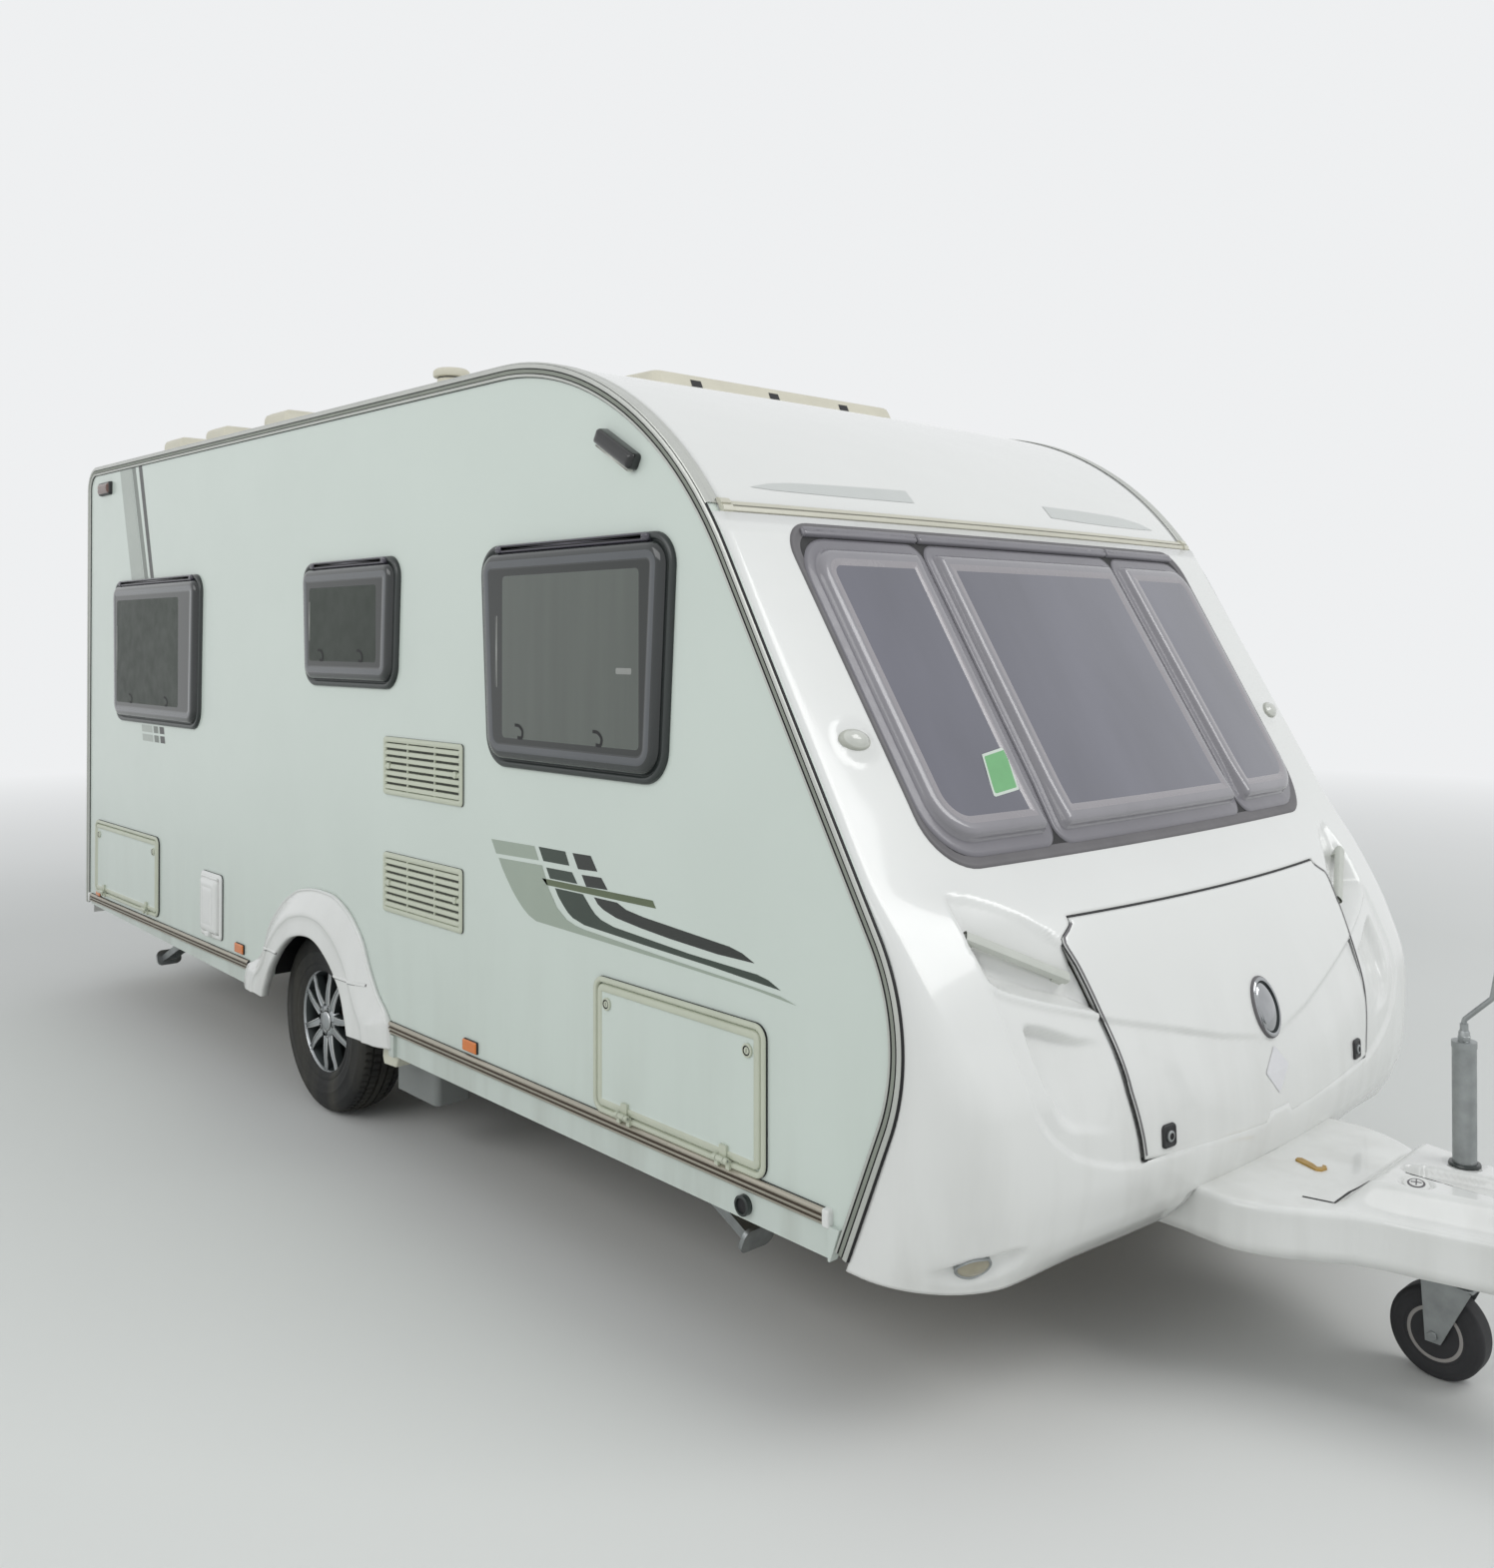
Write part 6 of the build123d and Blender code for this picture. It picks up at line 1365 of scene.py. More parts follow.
def cover_height(x, y):
    half = along_table(COVER_EDGE, x)
    edge = max(half - abs(y), 0.0)
    top_half = along_table(HUMP_HALF, x)
    side = ease((half - COVER_ROUND - abs(y)) / max(half - COVER_ROUND - top_half, 0.02))
    ramp = ease((x - 5.667 - 0.1 * max(0.18 - y, 0.0) * 0.45) / 0.085)
    front = 1.0 - 0.42 * ease((x - 5.98) / 0.27)
    height = DECK + (HUMP_TOP - DECK) * side * ramp * front
    channel = min(y + 0.064, 0.012 + 0.26 * (x - 5.78) - y, x - 5.762, 6.215 - x)
    if x < 5.8:
        channel = min(channel, 0.034 - sqrt(max(x - 5.8, -0.04) ** 2 + (y + 0.026) ** 2))
    height -= 0.028 * ease(channel / 0.01) * ramp
    dish = sqrt((x - CAP_PLACE[0]) ** 2 + ((y - CAP_PLACE[1]) / 0.92) ** 2)
    height -= 0.006 * ease((0.039 - dish) / 0.008) * (1 if x > 5.76 else 0)
    seat = sqrt((x - JOCKEY_PLACE[0]) ** 2 + (y - JOCKEY_PLACE[1]) ** 2)
    height -= 0.003 * ease((0.046 - seat) / 0.006)
    if edge < COVER_ROUND:
        height -= COVER_ROUND - sqrt(max(COVER_ROUND ** 2 - (COVER_ROUND - edge) ** 2, 0.0))
    return height


def cover_half_row(x, side):
    half = along_table(COVER_EDGE, x)
    ys = [half - COVER_ROUND * (1 - cos(pi / 2 * k / 4)) for k in range(5)]
    ys += [(half - COVER_ROUND) * (1 - k / 46) for k in range(1, 47)]
    wall = [at(x, side * (half + offset), z) for offset, z in COVER_SIDE]
    return wall + [at(x, side * y, cover_height(x, side * y)) for y in ys]


cover_stations = spaced(5.3, 5.64, 0.012) + spaced(5.64, 5.92, 0.0045)[1:] + spaced(5.92, 6.25, 0.012)[1:]
cover_rows = [cover_half_row(x, -1) + cover_half_row(x, 1)[-2::-1] for x in cover_stations]


def in_cover(i, j):
    """Leaves a hole for the jockey tube"""
    middle = sum((cover_rows[r][c] for r in (i, i + 1) for c in (j, j + 1)), Vector()) / 4
    return (middle - at(*JOCKEY_PLACE, 0.0)).xy.length > 0.031


def on_cover(x, y, lift):
    return at(x, y, cover_height(x, y) + lift)


def on_cover_cap(x, y, lift):
    """The cap's top, which leans back and to the right"""
    return on_cover(*CAP_PLACE, 0.007) + Vector((x, y, 0.2 * y - 0.05 * x + lift))


grid_object("drawbar_moulding", cover_rows, 0.006, in_cover)
ribbon(
    "cover_slot_lever", [(5.788, -0.06), (5.903, -0.0585)], 0.0075, on_cover, 0.0012, "seal_black", steps=6,
)
ribbon(
    "cover_slot_deck", [(5.622, -0.214), (5.688, -0.196), (5.684, -0.112), (5.694, -0.03)], 0.0065, on_cover,
    0.0009, "seal_black", steps=6,
)
ribbon("cover_slot_front", [(5.96, 0.02), (6.16, 0.028)], 0.03, on_cover, 0.0009, "seal_black", steps=10)
COVER_CAP = [(27, -2), (27, 3.5), (25.5, 5.2), (20, 6), (18.5, 5, 1), (15, 5, 1), (14, 6.2), (0, 6.8)]
turned(
    "cover_cap", COVER_CAP, on_cover(*CAP_PLACE, 0), (0.05, -0.2, 1.0), "body_moulding rubber_grey", 40,
)
for k in range(2):
    slot_turn = Matrix.Rotation(radians(20 + 90 * k), 2)
    corners = [slot_turn @ Vector(corner) for corner in rect(0.011, -0.011, 0.0012, -0.0012)]
    slab(f"cover_cap_slot_{k}", corners, on_cover_cap, 0.0, 0.0006, "rubber_grey")
BRASS_KEY = [
    (5.512, -0.02), (5.574, -0.046), (5.586, -0.04), (5.59, -0.02), (5.582, -0.006), (5.572, -0.004),
    (5.578, -0.02), (5.57, -0.028), (5.556, -0.016), (5.52, 0.0), (5.51, -0.006),
]
slab("brass_key", BRASS_KEY, on_cover, 0.0, 0.0045, "brass", bevel=0.001)

# Galvanised jockey tube with its collar and cap, and its wheel's hub, tyre bead and bolt
TUBE_SKIN = [
    (25.5, -75), (25.5, 0), (25.8, 316), (26.2, 318, 1), (26.2, 323, 1), (24.8, 326, 1), (23.5, 328),
    (15, 331), (12.5, 333), (12, 352), (10, 356), (0, 357),
]
TUBE_COLLAR = [(26.2, 48), (33, 49), (34.5, 52), (33, 56), (26.2, 57)]
TUBE_NUT = [(14.5, 333), (14.5, 343), (12.5, 345), (0, 345)]
turned("jockey_tube_skin", TUBE_SKIN, at(*JOCKEY_PLACE, 0), UP, "galvanised seal_black")
turned("jockey_collar", TUBE_COLLAR, at(*JOCKEY_PLACE, 0), UP, "rubber_dark", 40)
turned("jockey_cap_nut", TUBE_NUT, at(*JOCKEY_PLACE, 0), UP, "galvanised", 6)
JOCKEY_AXLE = Vector((2.563, 0.09, 0.105))
JOCKEY_BEAD = [(66, 28), (68, 33.5), (72, 34.5), (79, 33.5), (86, 34), (90, 32.5), (90, 28)]
JOCKEY_HUB = [(64, 20), (64, 31), (60, 33.5), (54, 33), (50, 26), (26, 25.5), (23, 32), (15, 34.2), (0, 34.4)]
JOCKEY_BOLT = [(11.5, 44), (11.5, 50), (10, 51.2), (0, 51.2)]
for hand, sign in SIDES:
    axis = (0, sign, 0)
    turned(f"jockey_bead_{hand}", JOCKEY_BEAD, JOCKEY_AXLE, axis, "wheel_rubber", 60, "jockey_roller")
    turned(
        f"jockey_hub_{hand}", JOCKEY_HUB, JOCKEY_AXLE, axis, "grey_plastic", 60, "jockey_roller",
    )
    turned(f"jockey_bolt_{hand}", JOCKEY_BOLT, JOCKEY_AXLE, axis, "galvanised", 6, "jockey_castor")

# Lid fittings: a plain chrome oval, the pale patch below it and two locks
EMBLEM_PLACE = (0.0, 0.34)
EMBLEM = [
    (59, 72, -6, 1), (59, 72, 3, 1), (57.5, 70.5, 6, 1), (55, 68, 7.5, 0), (51, 64, 9, 0), (47.5, 60, 7.5, 2),
    (45.5, 58, 3.5, 2), (43, 55, 3.5, 0), (40, 52, 6, 0), (30, 40, 8.5, 0), (16, 22, 10, 0), (4, 6, 10.4, 0),
]
oval("lid_emblem", EMBLEM_PLACE, EMBLEM, on_nose, "chrome rubber_grey alloy_dark", "lid", steps=48)
LID_PATCH = [
    (0.0, 0.137), (0.052, 0.19), (0.057, 0.197), (0.004, 0.248), (-0.004, 0.248), (-0.057, 0.197),
    (-0.052, 0.19),
]
slab("lid_patch", LID_PATCH, on_lid, 0.0016, 0.0016, "patch_pale", "lid")
LOCK = [(0, 0), (0.5, 4), (2.5, 6.2), (6, 6.6), (8, 4.8), (11, 4.6)]
LOCK_BARREL = [(12.5, 0), (12.5, 8.5), (10.5, 10), (7.5, 10, 1), (7, 8.5, 1), (0, 8.5)]
for hand, sign in SIDES:
    y, z = sign * 0.478, 0.144
    ring_shell(
        f"lid_lock_{hand}", rect(y - 0.024, y + 0.024, z - 0.026, z + 0.026), 0.01, LOCK, on_lid,
        "black_plastic", True, 5, 3, "lid",
    )
    turned(
        f"lid_lock_barrel_{hand}", LOCK_BARREL, on_lid(y, z, 0.0), nose_normal(y, z),
        "galvanised seal_black", 28, "lid",
    )
    slab(
        f"lid_keyway_{hand}", rect(y - 0.001, y + 0.001, z - 0.005, z + 0.005), on_lid, 0.0087, 0.0093,
        "seal_black", "lid",
    )

# Grab handles in the recesses: a flat bar with a foot at both ends
HANDLE_BAR = [
    (-12.2, -8.5, 1), (-12.8, 3), (-9.5, 7.8), (0, 9), (9.5, 7.8), (12.8, 3), (12.2, -8.5, 1), (0, -10.5, 1),
    (-12.2, -8.5, 1),
]
HANDLE_FOOT = [(-13.5, -9), (-13.5, 9), (13.5, 9), (13.5, -9), (-13.5, -9)]
for hand, sign in SIDES:
    start = Vector((5.2095, sign * 0.9055, 0.6115))
    end = Vector((5.3085, sign * 0.67, 0.502))
    run = (end - start).normalized()
    out = Vector((0.866, sign * 0.1, 0.5))
    out = (out - run * out.dot(run)).normalized()
    wide = run.cross(out)
    path = [at(*(start + (end - start) * k / 12)) for k in range(13)]
    sweep("handle_bar_" + hand, path, wide, out, HANDLE_BAR, "handle_plastic marker_base", caps=False)
    for k, place in enumerate((start + run * 0.016, end - run * 0.016)):
        foot_path = [at(*(place - out * d)) for d in (0.0, 0.01, 0.022, 0.034)]
        sweep(f"handle_foot_{hand}_{k}", foot_path, run, wide, HANDLE_FOOT, "handle_plastic")

# Fridge vents: a moulded frame with leaning slats and two turn buttons each
VENT_REAR, VENT_FRONT, VENT_SLATS = 2.98, 3.475, 7
VENT_FRAME = [(0, 0.6, 1), (0.5, 4), (3, 7.5), (8, 8.8), (15, 8.8), (17.5, 7), (18.5, 1, 1)]
# Share of the slats' pitch, and lift
SLAT = [(-0.34, 1.4), (-0.34, 7), (-0.26, 8.6), (-0.1, 8.8), (0.26, 5), (0.3, 1.4)]
VENT_BUTTON = [(10.5, 0), (10.5, 10.5), (9, 12), (0, 12.2)]
OUTWARD_RIGHT = (0, -1, 0)
for k, (foot, head) in enumerate(((0.747, 0.936), (0.368, 0.562))):
    fitting(
        f"vent_frame_{k}", VENT_REAR, VENT_FRONT, foot, head, "right", 0.014, VENT_FRAME,
        "vent_cream seal_black", fill=False,
    )
    # A dark sheet behind the slats, painted shade for the open vent behind them
    fitting(
        f"vent_back_{k}", VENT_REAR + 0.014, VENT_FRONT - 0.014, foot + 0.014, head - 0.014, "right", 0.01,
        [(0, 1.2), (10, 1.2)], "vent_dark",
    )
    pitch = (head - foot - 0.034) / VENT_SLATS
    for row in range(VENT_SLATS):
        slat = [(1000 * share * pitch, lift) for share, lift in SLAT]
        wall_sweep(
            f"vent_slat_{k}_{row}", spaced(2.9975, 3.4575, 0.115), foot + 0.017 + pitch * (row + 0.5), -1,
            slat, "vent_cream",
        )
    for x in (3.02, 3.435):
        turned(
            f"vent_button_{k}_{x:.2f}", VENT_BUTTON, at(x, -HALF_WIDTH, (foot + head) / 2), OUTWARD_RIGHT,
            "vent_cream", 20,
        )
    for x in (3.14, 3.31):
        wall_slab(
            f"vent_rib_{k}_{x:.2f}", rect(x - 0.003, x + 0.003, foot + 0.016, head - 0.016), "right", 0.001,
            0.0062, "vent_cream",
        )

# Service hatches: frame, seal, panel with a pressed field, two turn locks and two hinges
HATCHES = [("rear", 0.08, 0.93, 0.034, 0.385, 0.056), ("front", 4.14, 4.8, 0.018, 0.373, 0.038)]
HINGE_Y = -HALF_WIDTH - 0.021
HATCH_FRAME = [(0, 0.6, 1), (0.5, 6), (2.5, 9.5), (6.5, 11), (11.5, 11), (14.5, 9), (16, 1, 1)]
HATCH_PANEL = [
    (0, -20), (0.2, 5), (2.2, 8.5), (6, 10.5), (16, 11), (18.5, 10), (20, 7.8, 1), (22.5, 7, 1), (30, 7, 1),
]
TURN_LOCK = [
    (16.5, 6), (16.5, 11.2), (15, 12.5), (12, 12.5, 1), (11.2, 10.8, 1), (8.5, 10.8), (8, 12.2), (0, 12.4),
]


def knuckle(name, half, x, height, body="caravan"):
    """A short barrel with a pin's head at both ends"""
    side = [(0, -half, 1), (3, -half), (6.2, -half), (7.2, 1.2 - half)]
    profile = side + [(7.2, half - 1.2), (6.2, half), (3, half, 1), (0, half, 1)]
    turned(name, profile, at(x, HINGE_Y, height), (1, 0, 0), "vent_cream galvanised", 20, body)


for name, x0, x1, z0, z1, hinge in HATCHES:
    body = f"{name}_hatch"
    fitting(
        f"hatch_frame_{name}", x0, x1, z0, z1, "right", 0.036, HATCH_FRAME, "vent_cream seal_black",
        fill=False,
    )
    fitting(
        f"hatch_panel_{name}", x0 + 0.0185, x1 - 0.0185, z0 + 0.0185, z1 - 0.0185, "right", 0.022,
        HATCH_PANEL, "vent_cream wall_paint", body,
    )
    for x in (x0 + 0.06, x1 - 0.06):
        turned(
            f"hatch_lock_{name}_{x:.2f}", TURN_LOCK, at(x, -HALF_WIDTH, z1 - 0.068), OUTWARD_RIGHT,
            "vent_cream seal_black", 30, body,
        )
        wall_slab(
            f"hatch_keyway_{name}_{x:.2f}", rect(x - 0.0008, x + 0.0008, z1 - 0.0725, z1 - 0.0635), "right",
            0.012, 0.0127, "seal_black", body,
        )
    for x in (x0 + 0.14, x1 - 0.14):
        for near, far in ((x - 0.026, x - 0.014), (x + 0.014, x + 0.026)):
            wall_slab(
                f"hatch_lug_{name}_{near:.3f}", rect(near, far, z0 - 0.001, hinge), "right", 0.009, 0.0175,
                "vent_cream", bevel=0.0008,
            )
            knuckle(f"hatch_lug_eye_{name}_{near:.3f}", 6, (near + far) / 2, hinge)
        wall_slab(
            f"hatch_leaf_{name}_{x:.2f}", rect(x - 0.0125, x + 0.0125, hinge, hinge + 0.03), "right", 0.007,
            0.015, "vent_cream", body, bevel=0.0008,
        )
        knuckle(f"hatch_knuckle_{name}_{x:.2f}", 12.5, x, hinge, body)

# Inlet box with its flap, latch and hinge
INLET = [
    (
        "frame", 1.425, 1.639, 0.047, 0.309, 0.02,
        [(0, 0.6, 1), (0.5, 5), (3.5, 9.5), (10, 12), (18, 12.5), (20, 10), (21, 6, 1)],
    ),
    (
        "flap", 1.4475, 1.6165, 0.0695, 0.2865, 0.016,
        [(0, 2), (0.5, 12), (3, 18.5), (12, 24.5), (30, 27.5), (33, 26.2), (36, 27), (50, 28.5)],
    ),
    ("latch", 1.512, 1.552, 0.054, 0.076, 0.006, [(0, 10), (0.5, 25), (3, 29), (6, 29.5)]),
]
for name, x0, x1, z0, z1, radius, profile in INLET:
    looks = "body_moulding seal_black" if name == "frame" else "body_moulding"
    fitting(
        "inlet_" + name, x0, x1, z0, z1, "right", radius, profile, looks,
        fill=name != "frame",
    )
INLET_HINGE = [(-6, 0), (-5, 6), (0, 8.5), (5, 6), (6, 0)]
wall_sweep(
    "inlet_hinge", spaced(1.45, 1.614, 0.04), 0.291, -1, INLET_HINGE, "body_moulding", 1.108,
)

# Lamps on the walls
SIDE_MARKER = [(0, 0.6, 1), (0.2, 3, 1), (1, 7), (2.5, 9.5), (6, 10)]
HIGH_MARKER = [(0, 0.6, 1), (0.5, 8, 1), (3, 14, 1), (7, 16), (10, 20), (15, 23), (24, 24)]
AWNING_LAMP = [(0, 0.6), (0.5, 12), (2, 24), (6, 31), (12, 33.5), (18, 34)]
AWNING_LENS = [(0, 5), (0.5, 20), (2, 23)]
AWNING_PLACE = (4.248, 1.74)
AWNING_LEAN = radians(-30)
# Station on the right and on the left, height, width and length
MARKERS = [
    (0.122, 0.122, 0.031, 0.06, 0.022), (1.812, 1.812, 0.05, 0.082, 0.038), (3.52, 3.96, 0.046, 0.078, 0.036),
]


def tilted(side):
    """Places on a side wall, turned to lie along the slant of its edge"""
    sign = -1 if side == "left" else 1
    turn = Matrix.Rotation(sign * AWNING_LEAN, 2)
    place = wall_place(side)
    return lambda x, z, lift: place(
        *(Vector((sign * AWNING_PLACE[0], AWNING_PLACE[1])) + turn @ Vector((x, z))), lift,
    )


for hand, sign in SIDES:
    for k, (right_x, left_x, z, width, length) in enumerate(MARKERS):
        x = right_x if sign < 0 else left_x
        fitting(
            f"side_marker_{hand}_{k}", x - width / 2, x + width / 2, z - length / 2, z + length / 2, hand,
            0.004, SIDE_MARKER, "amber_lens seal_black",
        )
    fitting(
        f"high_marker_{hand}", 0.124, 0.284, 1.937, 1.999, hand, 0.01, HIGH_MARKER, "dark_lens black_plastic",
    )
    ring_shell(
        f"awning_lamp_{hand}", rect(-0.089, 0.089, -0.023, 0.023), 0.012, AWNING_LAMP, tilted(hand),
        "gloss_black", True, 6, 4,
    )
    ring_shell(
        f"awning_lens_{hand}", rect(-0.08, 0.08, -0.03, -0.0205), 0.003, AWNING_LENS, tilted(hand),
        "clear_lens", True, 3, 3,
    )

# Front marker lamps on soft bumps and corner lamps in the bumper: share of the lamp's size, lift, look
FRONT_MARKER = [
    (1, -2, 1), (1, 8, 1), (0.93, 12.5, 1), (0.84, 13.5, 0), (0.72, 18.5, 0), (0.5, 22.5, 0), (0.25, 24, 0),
    (0.08, 24.2, 0),
]
CORNER_LAMP = [
    (1, -12, 1), (1, 3, 1), (0.9, 5, 1), (0.84, 3, 0), (0.55, 7.5, 0), (0.25, 10, 0), (0.06, 10.5, 0),
]


def on_bump(y, height, lift):
    return on_nose(y, height, lift - nose_depth(abs(y), height) * 0.4)


for hand, sign in SIDES:
    rows = [(42 * share, 23 * share, lift, number) for share, lift, number in FRONT_MARKER]
    oval(
        f"front_marker_{hand}", (sign * 0.972, 1.018), rows, on_bump, "clear_lens marker_base",
        tilt=sign * 0.1,
    )
    rows = [(31 * share, 27 * share, lift, number) for share, lift, number in CORNER_LAMP]
    oval(f"corner_lamp_{hand}", (sign * 1.007, -0.033), rows, on_bump, "amber_clear galvanised")

# Stripes on the side walls: a sweep behind each front side window and a band at the rear
DECALS = {
    "grey_block": ("decal_grey", [(3.655, 0.631), (3.874, 0.637), (3.852, 0.674), (3.629, 0.67)]),
    "grey_sweep": (
        "decal_grey",
        [
            (3.668, 0.62), (3.688, 0.592), (3.711, 0.566), (3.738, 0.538), (3.766, 0.514), (3.796, 0.493),
            (3.824, 0.478), (3.861, 0.467), (4.09, 0.4625), (4.444, 0.455), (4.749, 0.446), (4.894, 0.436),
            (4.84, 0.447), (4.706, 0.4535), (4.444, 0.463), (4.09, 0.479), (4.05, 0.4835), (4.01, 0.493),
            (3.963, 0.519), (3.923, 0.565), (3.89, 0.625),
        ],
    ),
    "green_block_a": ("decal_green", [(3.897, 0.638), (4.021, 0.64), (4.001, 0.676), (3.873, 0.675)]),
    "green_block_b": ("decal_green", [(3.929, 0.594), (4.058, 0.596), (4.033, 0.624), (3.91, 0.622)]),
    "green_sweep": (
        "decal_green",
        [
            (3.953, 0.571), (3.97, 0.549), (3.993, 0.529), (4.014, 0.513), (4.037, 0.502), (4.09, 0.491),
            (4.36, 0.48), (4.602, 0.472), (4.799, 0.462), (4.843, 0.46), (4.802, 0.476), (4.764, 0.482),
            (4.524, 0.4885), (4.22, 0.506), (4.165, 0.516), (4.139, 0.527), (4.119, 0.541), (4.083, 0.572),
        ],
    ),
    "black_block_a": ("decal_black", [(4.061, 0.636), (4.148, 0.64), (4.118, 0.678), (4.035, 0.676)]),
    "black_block_b": ("decal_black", [(4.098, 0.594), (4.193, 0.598), (4.165, 0.626), (4.077, 0.623)]),
    "black_sweep": (
        "decal_black",
        [
            (4.133, 0.571), (4.15, 0.555), (4.174, 0.544), (4.229, 0.531), (4.33, 0.521), (4.444, 0.513),
            (4.625, 0.505), (4.756, 0.506), (4.713, 0.522), (4.669, 0.53), (4.343, 0.55), (4.273, 0.558),
            (4.233, 0.571),
        ],
    ),
    "olive_bar": ("decal_olive", [(3.913, 0.574), (4.394, 0.579), (4.381, 0.597), (3.89, 0.59)]),
    "rear_band_grey": ("decal_stripe", [(0.556, 1.521), (0.713, 1.521), (0.542, 2.04), (0.389, 2.04)]),
    "rear_band_dark": ("decal_dark", [(0.724, 1.521), (0.771, 1.521), (0.597, 2.04), (0.55, 2.04)]),
    "rear_band_black": ("decal_black", [(0.802, 1.521), (0.842, 1.521), (0.682, 2.04), (0.64, 2.04)]),
}
for row, (shift, foot) in {"a": (0.0, 0.838), "b": (0.01, 0.798)}.items():
    for name, look, start, width in (
        ("grey", "stripe", 0.703, 0.13), ("dark", "dark", 0.852, 0.054), ("black", "black", 0.925, 0.054),
    ):
        x, head = start + shift, foot + 0.03
        tick = [(x, foot), (x + width, foot), (x + width - 0.008, head), (x - 0.008, head)]
        DECALS[f"rear_tick_{name}_{row}"] = ("decal_" + look, tick)
for hand, sign in SIDES:
    for name, (look, outline) in DECALS.items():
        wall_slab(f"{name}_{hand}", outline, hand, 0.0006, 0.0006, look)

# Rooflight: a bevelled frame round a smoked dome, with three ducts on its front face, each a cream square
# under a black square that is painted shade for the duct's dark hole
def on_roof(x, y, lift):
    return at(x, y, 2.083 - 0.055 * (x + 0.06) / 4.396 + lift)


ROOFLIGHT = [
    (0, 0), (2, 10), (10, 26), (22, 52), (28, 61), (36, 65.5), (48, 66.5), (95, 66.5), (103, 63), (108, 50),
    (109, 20),
]
DOME = [(0, 18), (4, 36), (20, 50), (60, 58), (120, 62)]
ring_shell(
    "rooflight_frame", rect(3.04, 3.731, -0.581, 0.581), 0.06, ROOFLIGHT, on_roof, "roof_cream", False, 8, 8,
)
ring_shell("rooflight_dome", rect(3.15, 3.621, -0.471, 0.471), 0.02, DOME, on_roof, "pane_smoked", True, 6, 8)
duct_up = Vector((-0.45, 0, 0.89)).normalized()
duct_out = Vector((0.89, 0, 0.45)).normalized()
for y in (-0.395, -0.05, 0.29):
    for k, (width, height, lift, look) in enumerate(
        ((0.03, 0.02, 0.001, "roof_cream"), (0.022, 0.014, 0.003, "seal_black"))
    ):
        centre = on_roof(3.7155, y, 0.034) + duct_out * lift
        points = [centre + Vector((0, a, 0)) + duct_up * b for a, b in rect(-width, width, -height, height)]
        duct = mesh_object(f"rooflight_duct_{k}_{y:.2f}", points, [(0, 1, 2, 3)], MATERIALS[look])
        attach(duct, "caravan")

# Small roof vents and the flue
ROOF_VENT = [(0, 0), (1, 10), (14, 13), (17, 20), (19, 52), (26, 66), (42, 75), (70, 79), (100, 79.8)]
VENT_HALF, VENT_Y = 0.12, -0.925
for k, x in enumerate((0.85, 1.34, 1.94)):
    corners = rect(x - VENT_HALF, x + VENT_HALF, VENT_Y - VENT_HALF, VENT_Y + VENT_HALF)
    ring_shell(f"roof_vent_{k}", corners, 0.03, ROOF_VENT, on_roof, "roof_cream", True, 7, 5)
FLUE = [
    (62, 0), (62, 8), (48, 12), (44, 40, 1), (44, 44), (56, 46), (58.5, 52), (57.5, 64), (50, 71), (30, 74.5),
    (0, 75),
]
turned("roof_flue", FLUE, on_roof(3.2, -0.985, 0.0), UP, "roof_cream seal_black", 40)

# Entrance door on the left: frame seal, two pressed fields, a glazed upper half and the handle
DOOR_SEAL = [(0, 0.6), (1, 6), (4, 8.5), (9, 8.5), (11, 5, 1), (12.5, 0.6, 1)]
DOOR_FIELD = [(0, 1), (1, 4), (5, 5.5), (10, 5), (13, 1.8)]
DOOR_PANE = [(0, 1.2), (1, 7), (6, 9.5), (15, 9.5), (18, 6), (20, 3.5, 1), (24, 3.5, 1)]
HANDLE_PLATE = [(0, 1), (0.5, 8), (3, 12), (8, 13), (12, 12, 1), (14, 6, 1), (20, 5.5, 1)]
HANDLE_LEVER = [(0, 5), (0.5, 12), (3, 16), (9, 17)]
DOOR_LOCK = [(11, 5), (11, 12.5), (9.5, 14), (0, 14.2)]
fitting("door_seal", 3.056, 3.608, 0.024, 1.766, "left", 0.072, DOOR_SEAL, "trim_band seal_black", fill=False)
for name, foot, head in (("upper", 0.905, 1.7), ("lower", 0.095, 0.84)):
    fitting(
        f"door_{name}_field", 3.11, 3.554, foot, head, "left", 0.05, DOOR_FIELD, "wall_paint", "door",
        fill=False,
    )
fitting(
    "door_pane_frame", 3.157, 3.507, 0.985, 1.515, "left", 0.06, DOOR_PANE, "rubber_dark glass_dark", "door",
)
fitting(
    "door_handle_plate", 3.52, 3.582, 0.8, 0.96, "left", 0.016, HANDLE_PLATE, "black_plastic gloss_black",
    "door",
)
fitting(
    "door_handle_lever", 3.532, 3.57, 0.885, 0.944, "left", 0.01, HANDLE_LEVER, "trim_band", "door",
)
turned(
    "door_lock", DOOR_LOCK, at(3.551, HALF_WIDTH, 0.845), (0, 1, 0), "galvanised", 24, "door",
)

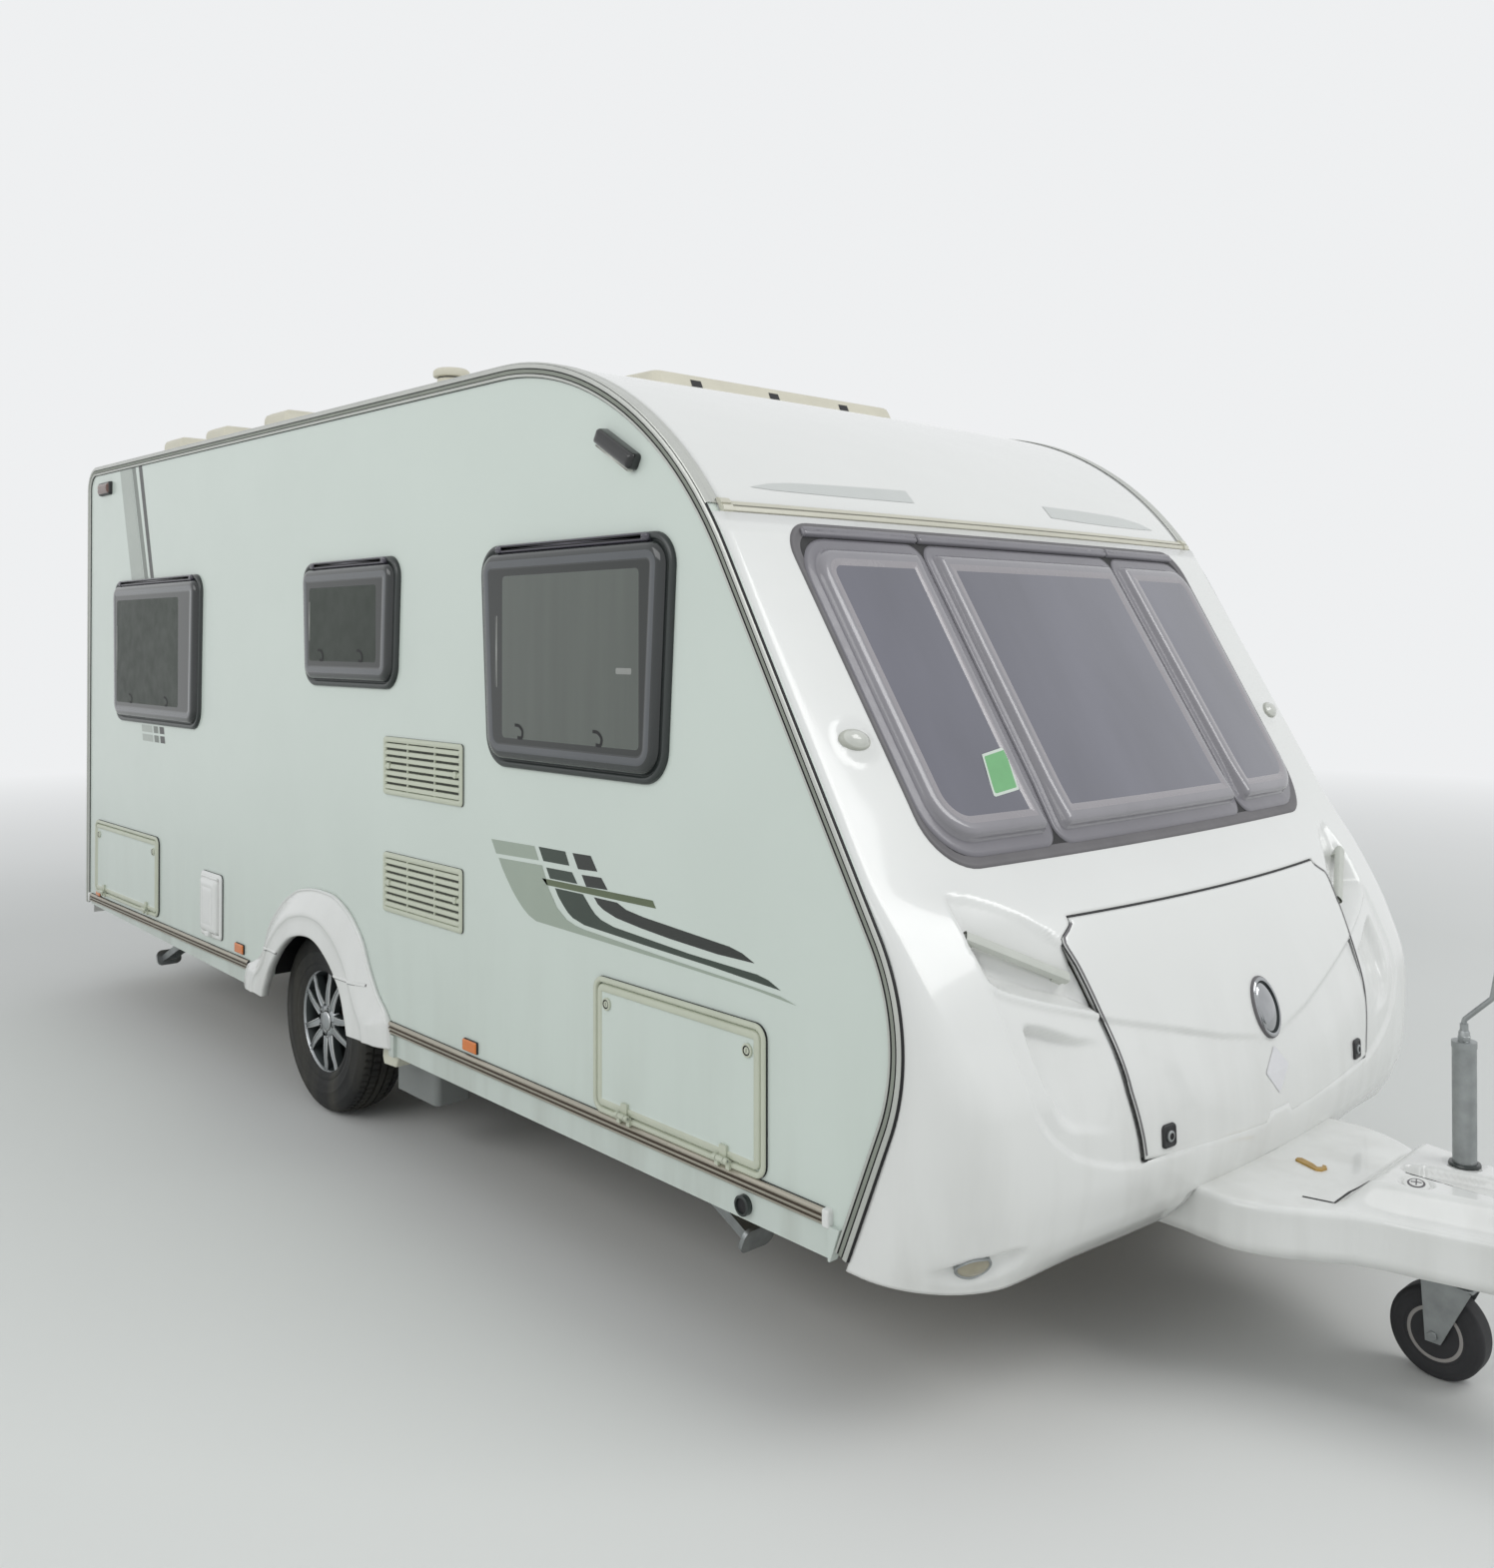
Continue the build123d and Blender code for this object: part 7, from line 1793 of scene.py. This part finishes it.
# Rear: lamp clusters in three fields and the blank plate's frame
REAR_LENS = [
    (0, 36), (0.5, 40), (4, 41), (4.5, 41.4), (12, 41.8), (12.5, 41.2), (20, 41.6), (20.5, 41), (28, 41.4),
]
REAR_PLATE = [(0, 1), (0.5, 6), (3, 8), (8, 8), (9.5, 6.5, 1), (12, 6.5, 1)]
for hand, sign in SIDES:
    middle = -sign * 0.96
    for field, (low, high, look) in enumerate(
        ((0.25, 0.34, "amber_lens"), (0.343, 0.425, "clear_lens"), (0.428, 0.51, "red_glow"))
    ):
        fitting(
            f"rear_lens_{hand}_{field}", middle - 0.052, middle + 0.052, low, high, "rear", 0.012, REAR_LENS,
            look, edge=3, arc=4,
        )
fitting(
    "rear_plate_frame", -0.268, 0.268, 0.2675, 0.3925, "rear", 0.01, REAR_PLATE, "black_plastic plate_blank",
    edge=4, arc=4,
)

# Socket in the skirt
SOCKET = [(24, 0), (24, 13.5), (21.5, 15), (18, 15), (16.5, 10, 1), (0, 10, 1)]
turned(
    "skirt_socket", SOCKET, at(4.724, -HALF_WIDTH, -0.055), OUTWARD_RIGHT, "rubber_dark seal_black", 32,
)

# CAD nodes and the piece that stands for each
REPLACED = {
    "front_panel": "front_moulding", "roof_front_cap": "roof_front_moulding", "edge_trims": "edge_trim_left",
    "belly_rails": "belly_rail_front_left", "seam_rail": "seam_rail_front", "wheel_arch_spats": "spat_left",
    "hatch_frames": "hatch_frame_rear", "hatch_door_rear": "hatch_panel_rear",
    "hatch_door_front": "hatch_panel_front", "locker_lid": "gas_locker_lid",
    "front_windows": "front_window_surround", "side_windows_right": "window_right_lounge",
    "side_windows_left": "window_right_lounge", "rear_window": "window_right_lounge",
    "tyre_right": "tyre_tread_right", "tyre_left": "tyre_tread_left", "alloy_right": "alloy_spokes_right",
    "alloy_left": "alloy_spokes_left", "drawbar_cover": "drawbar_moulding",
    "grab_handles": "handle_bar_right", "fridge_vents": "vent_frame_0", "inlet_box": "inlet_frame",
    "marker_lamps": "side_marker_right_0", "rooflight": "rooflight_frame", "roof_vents": "roof_vent_0",
}
for node, piece in REPLACED.items():
    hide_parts(node)
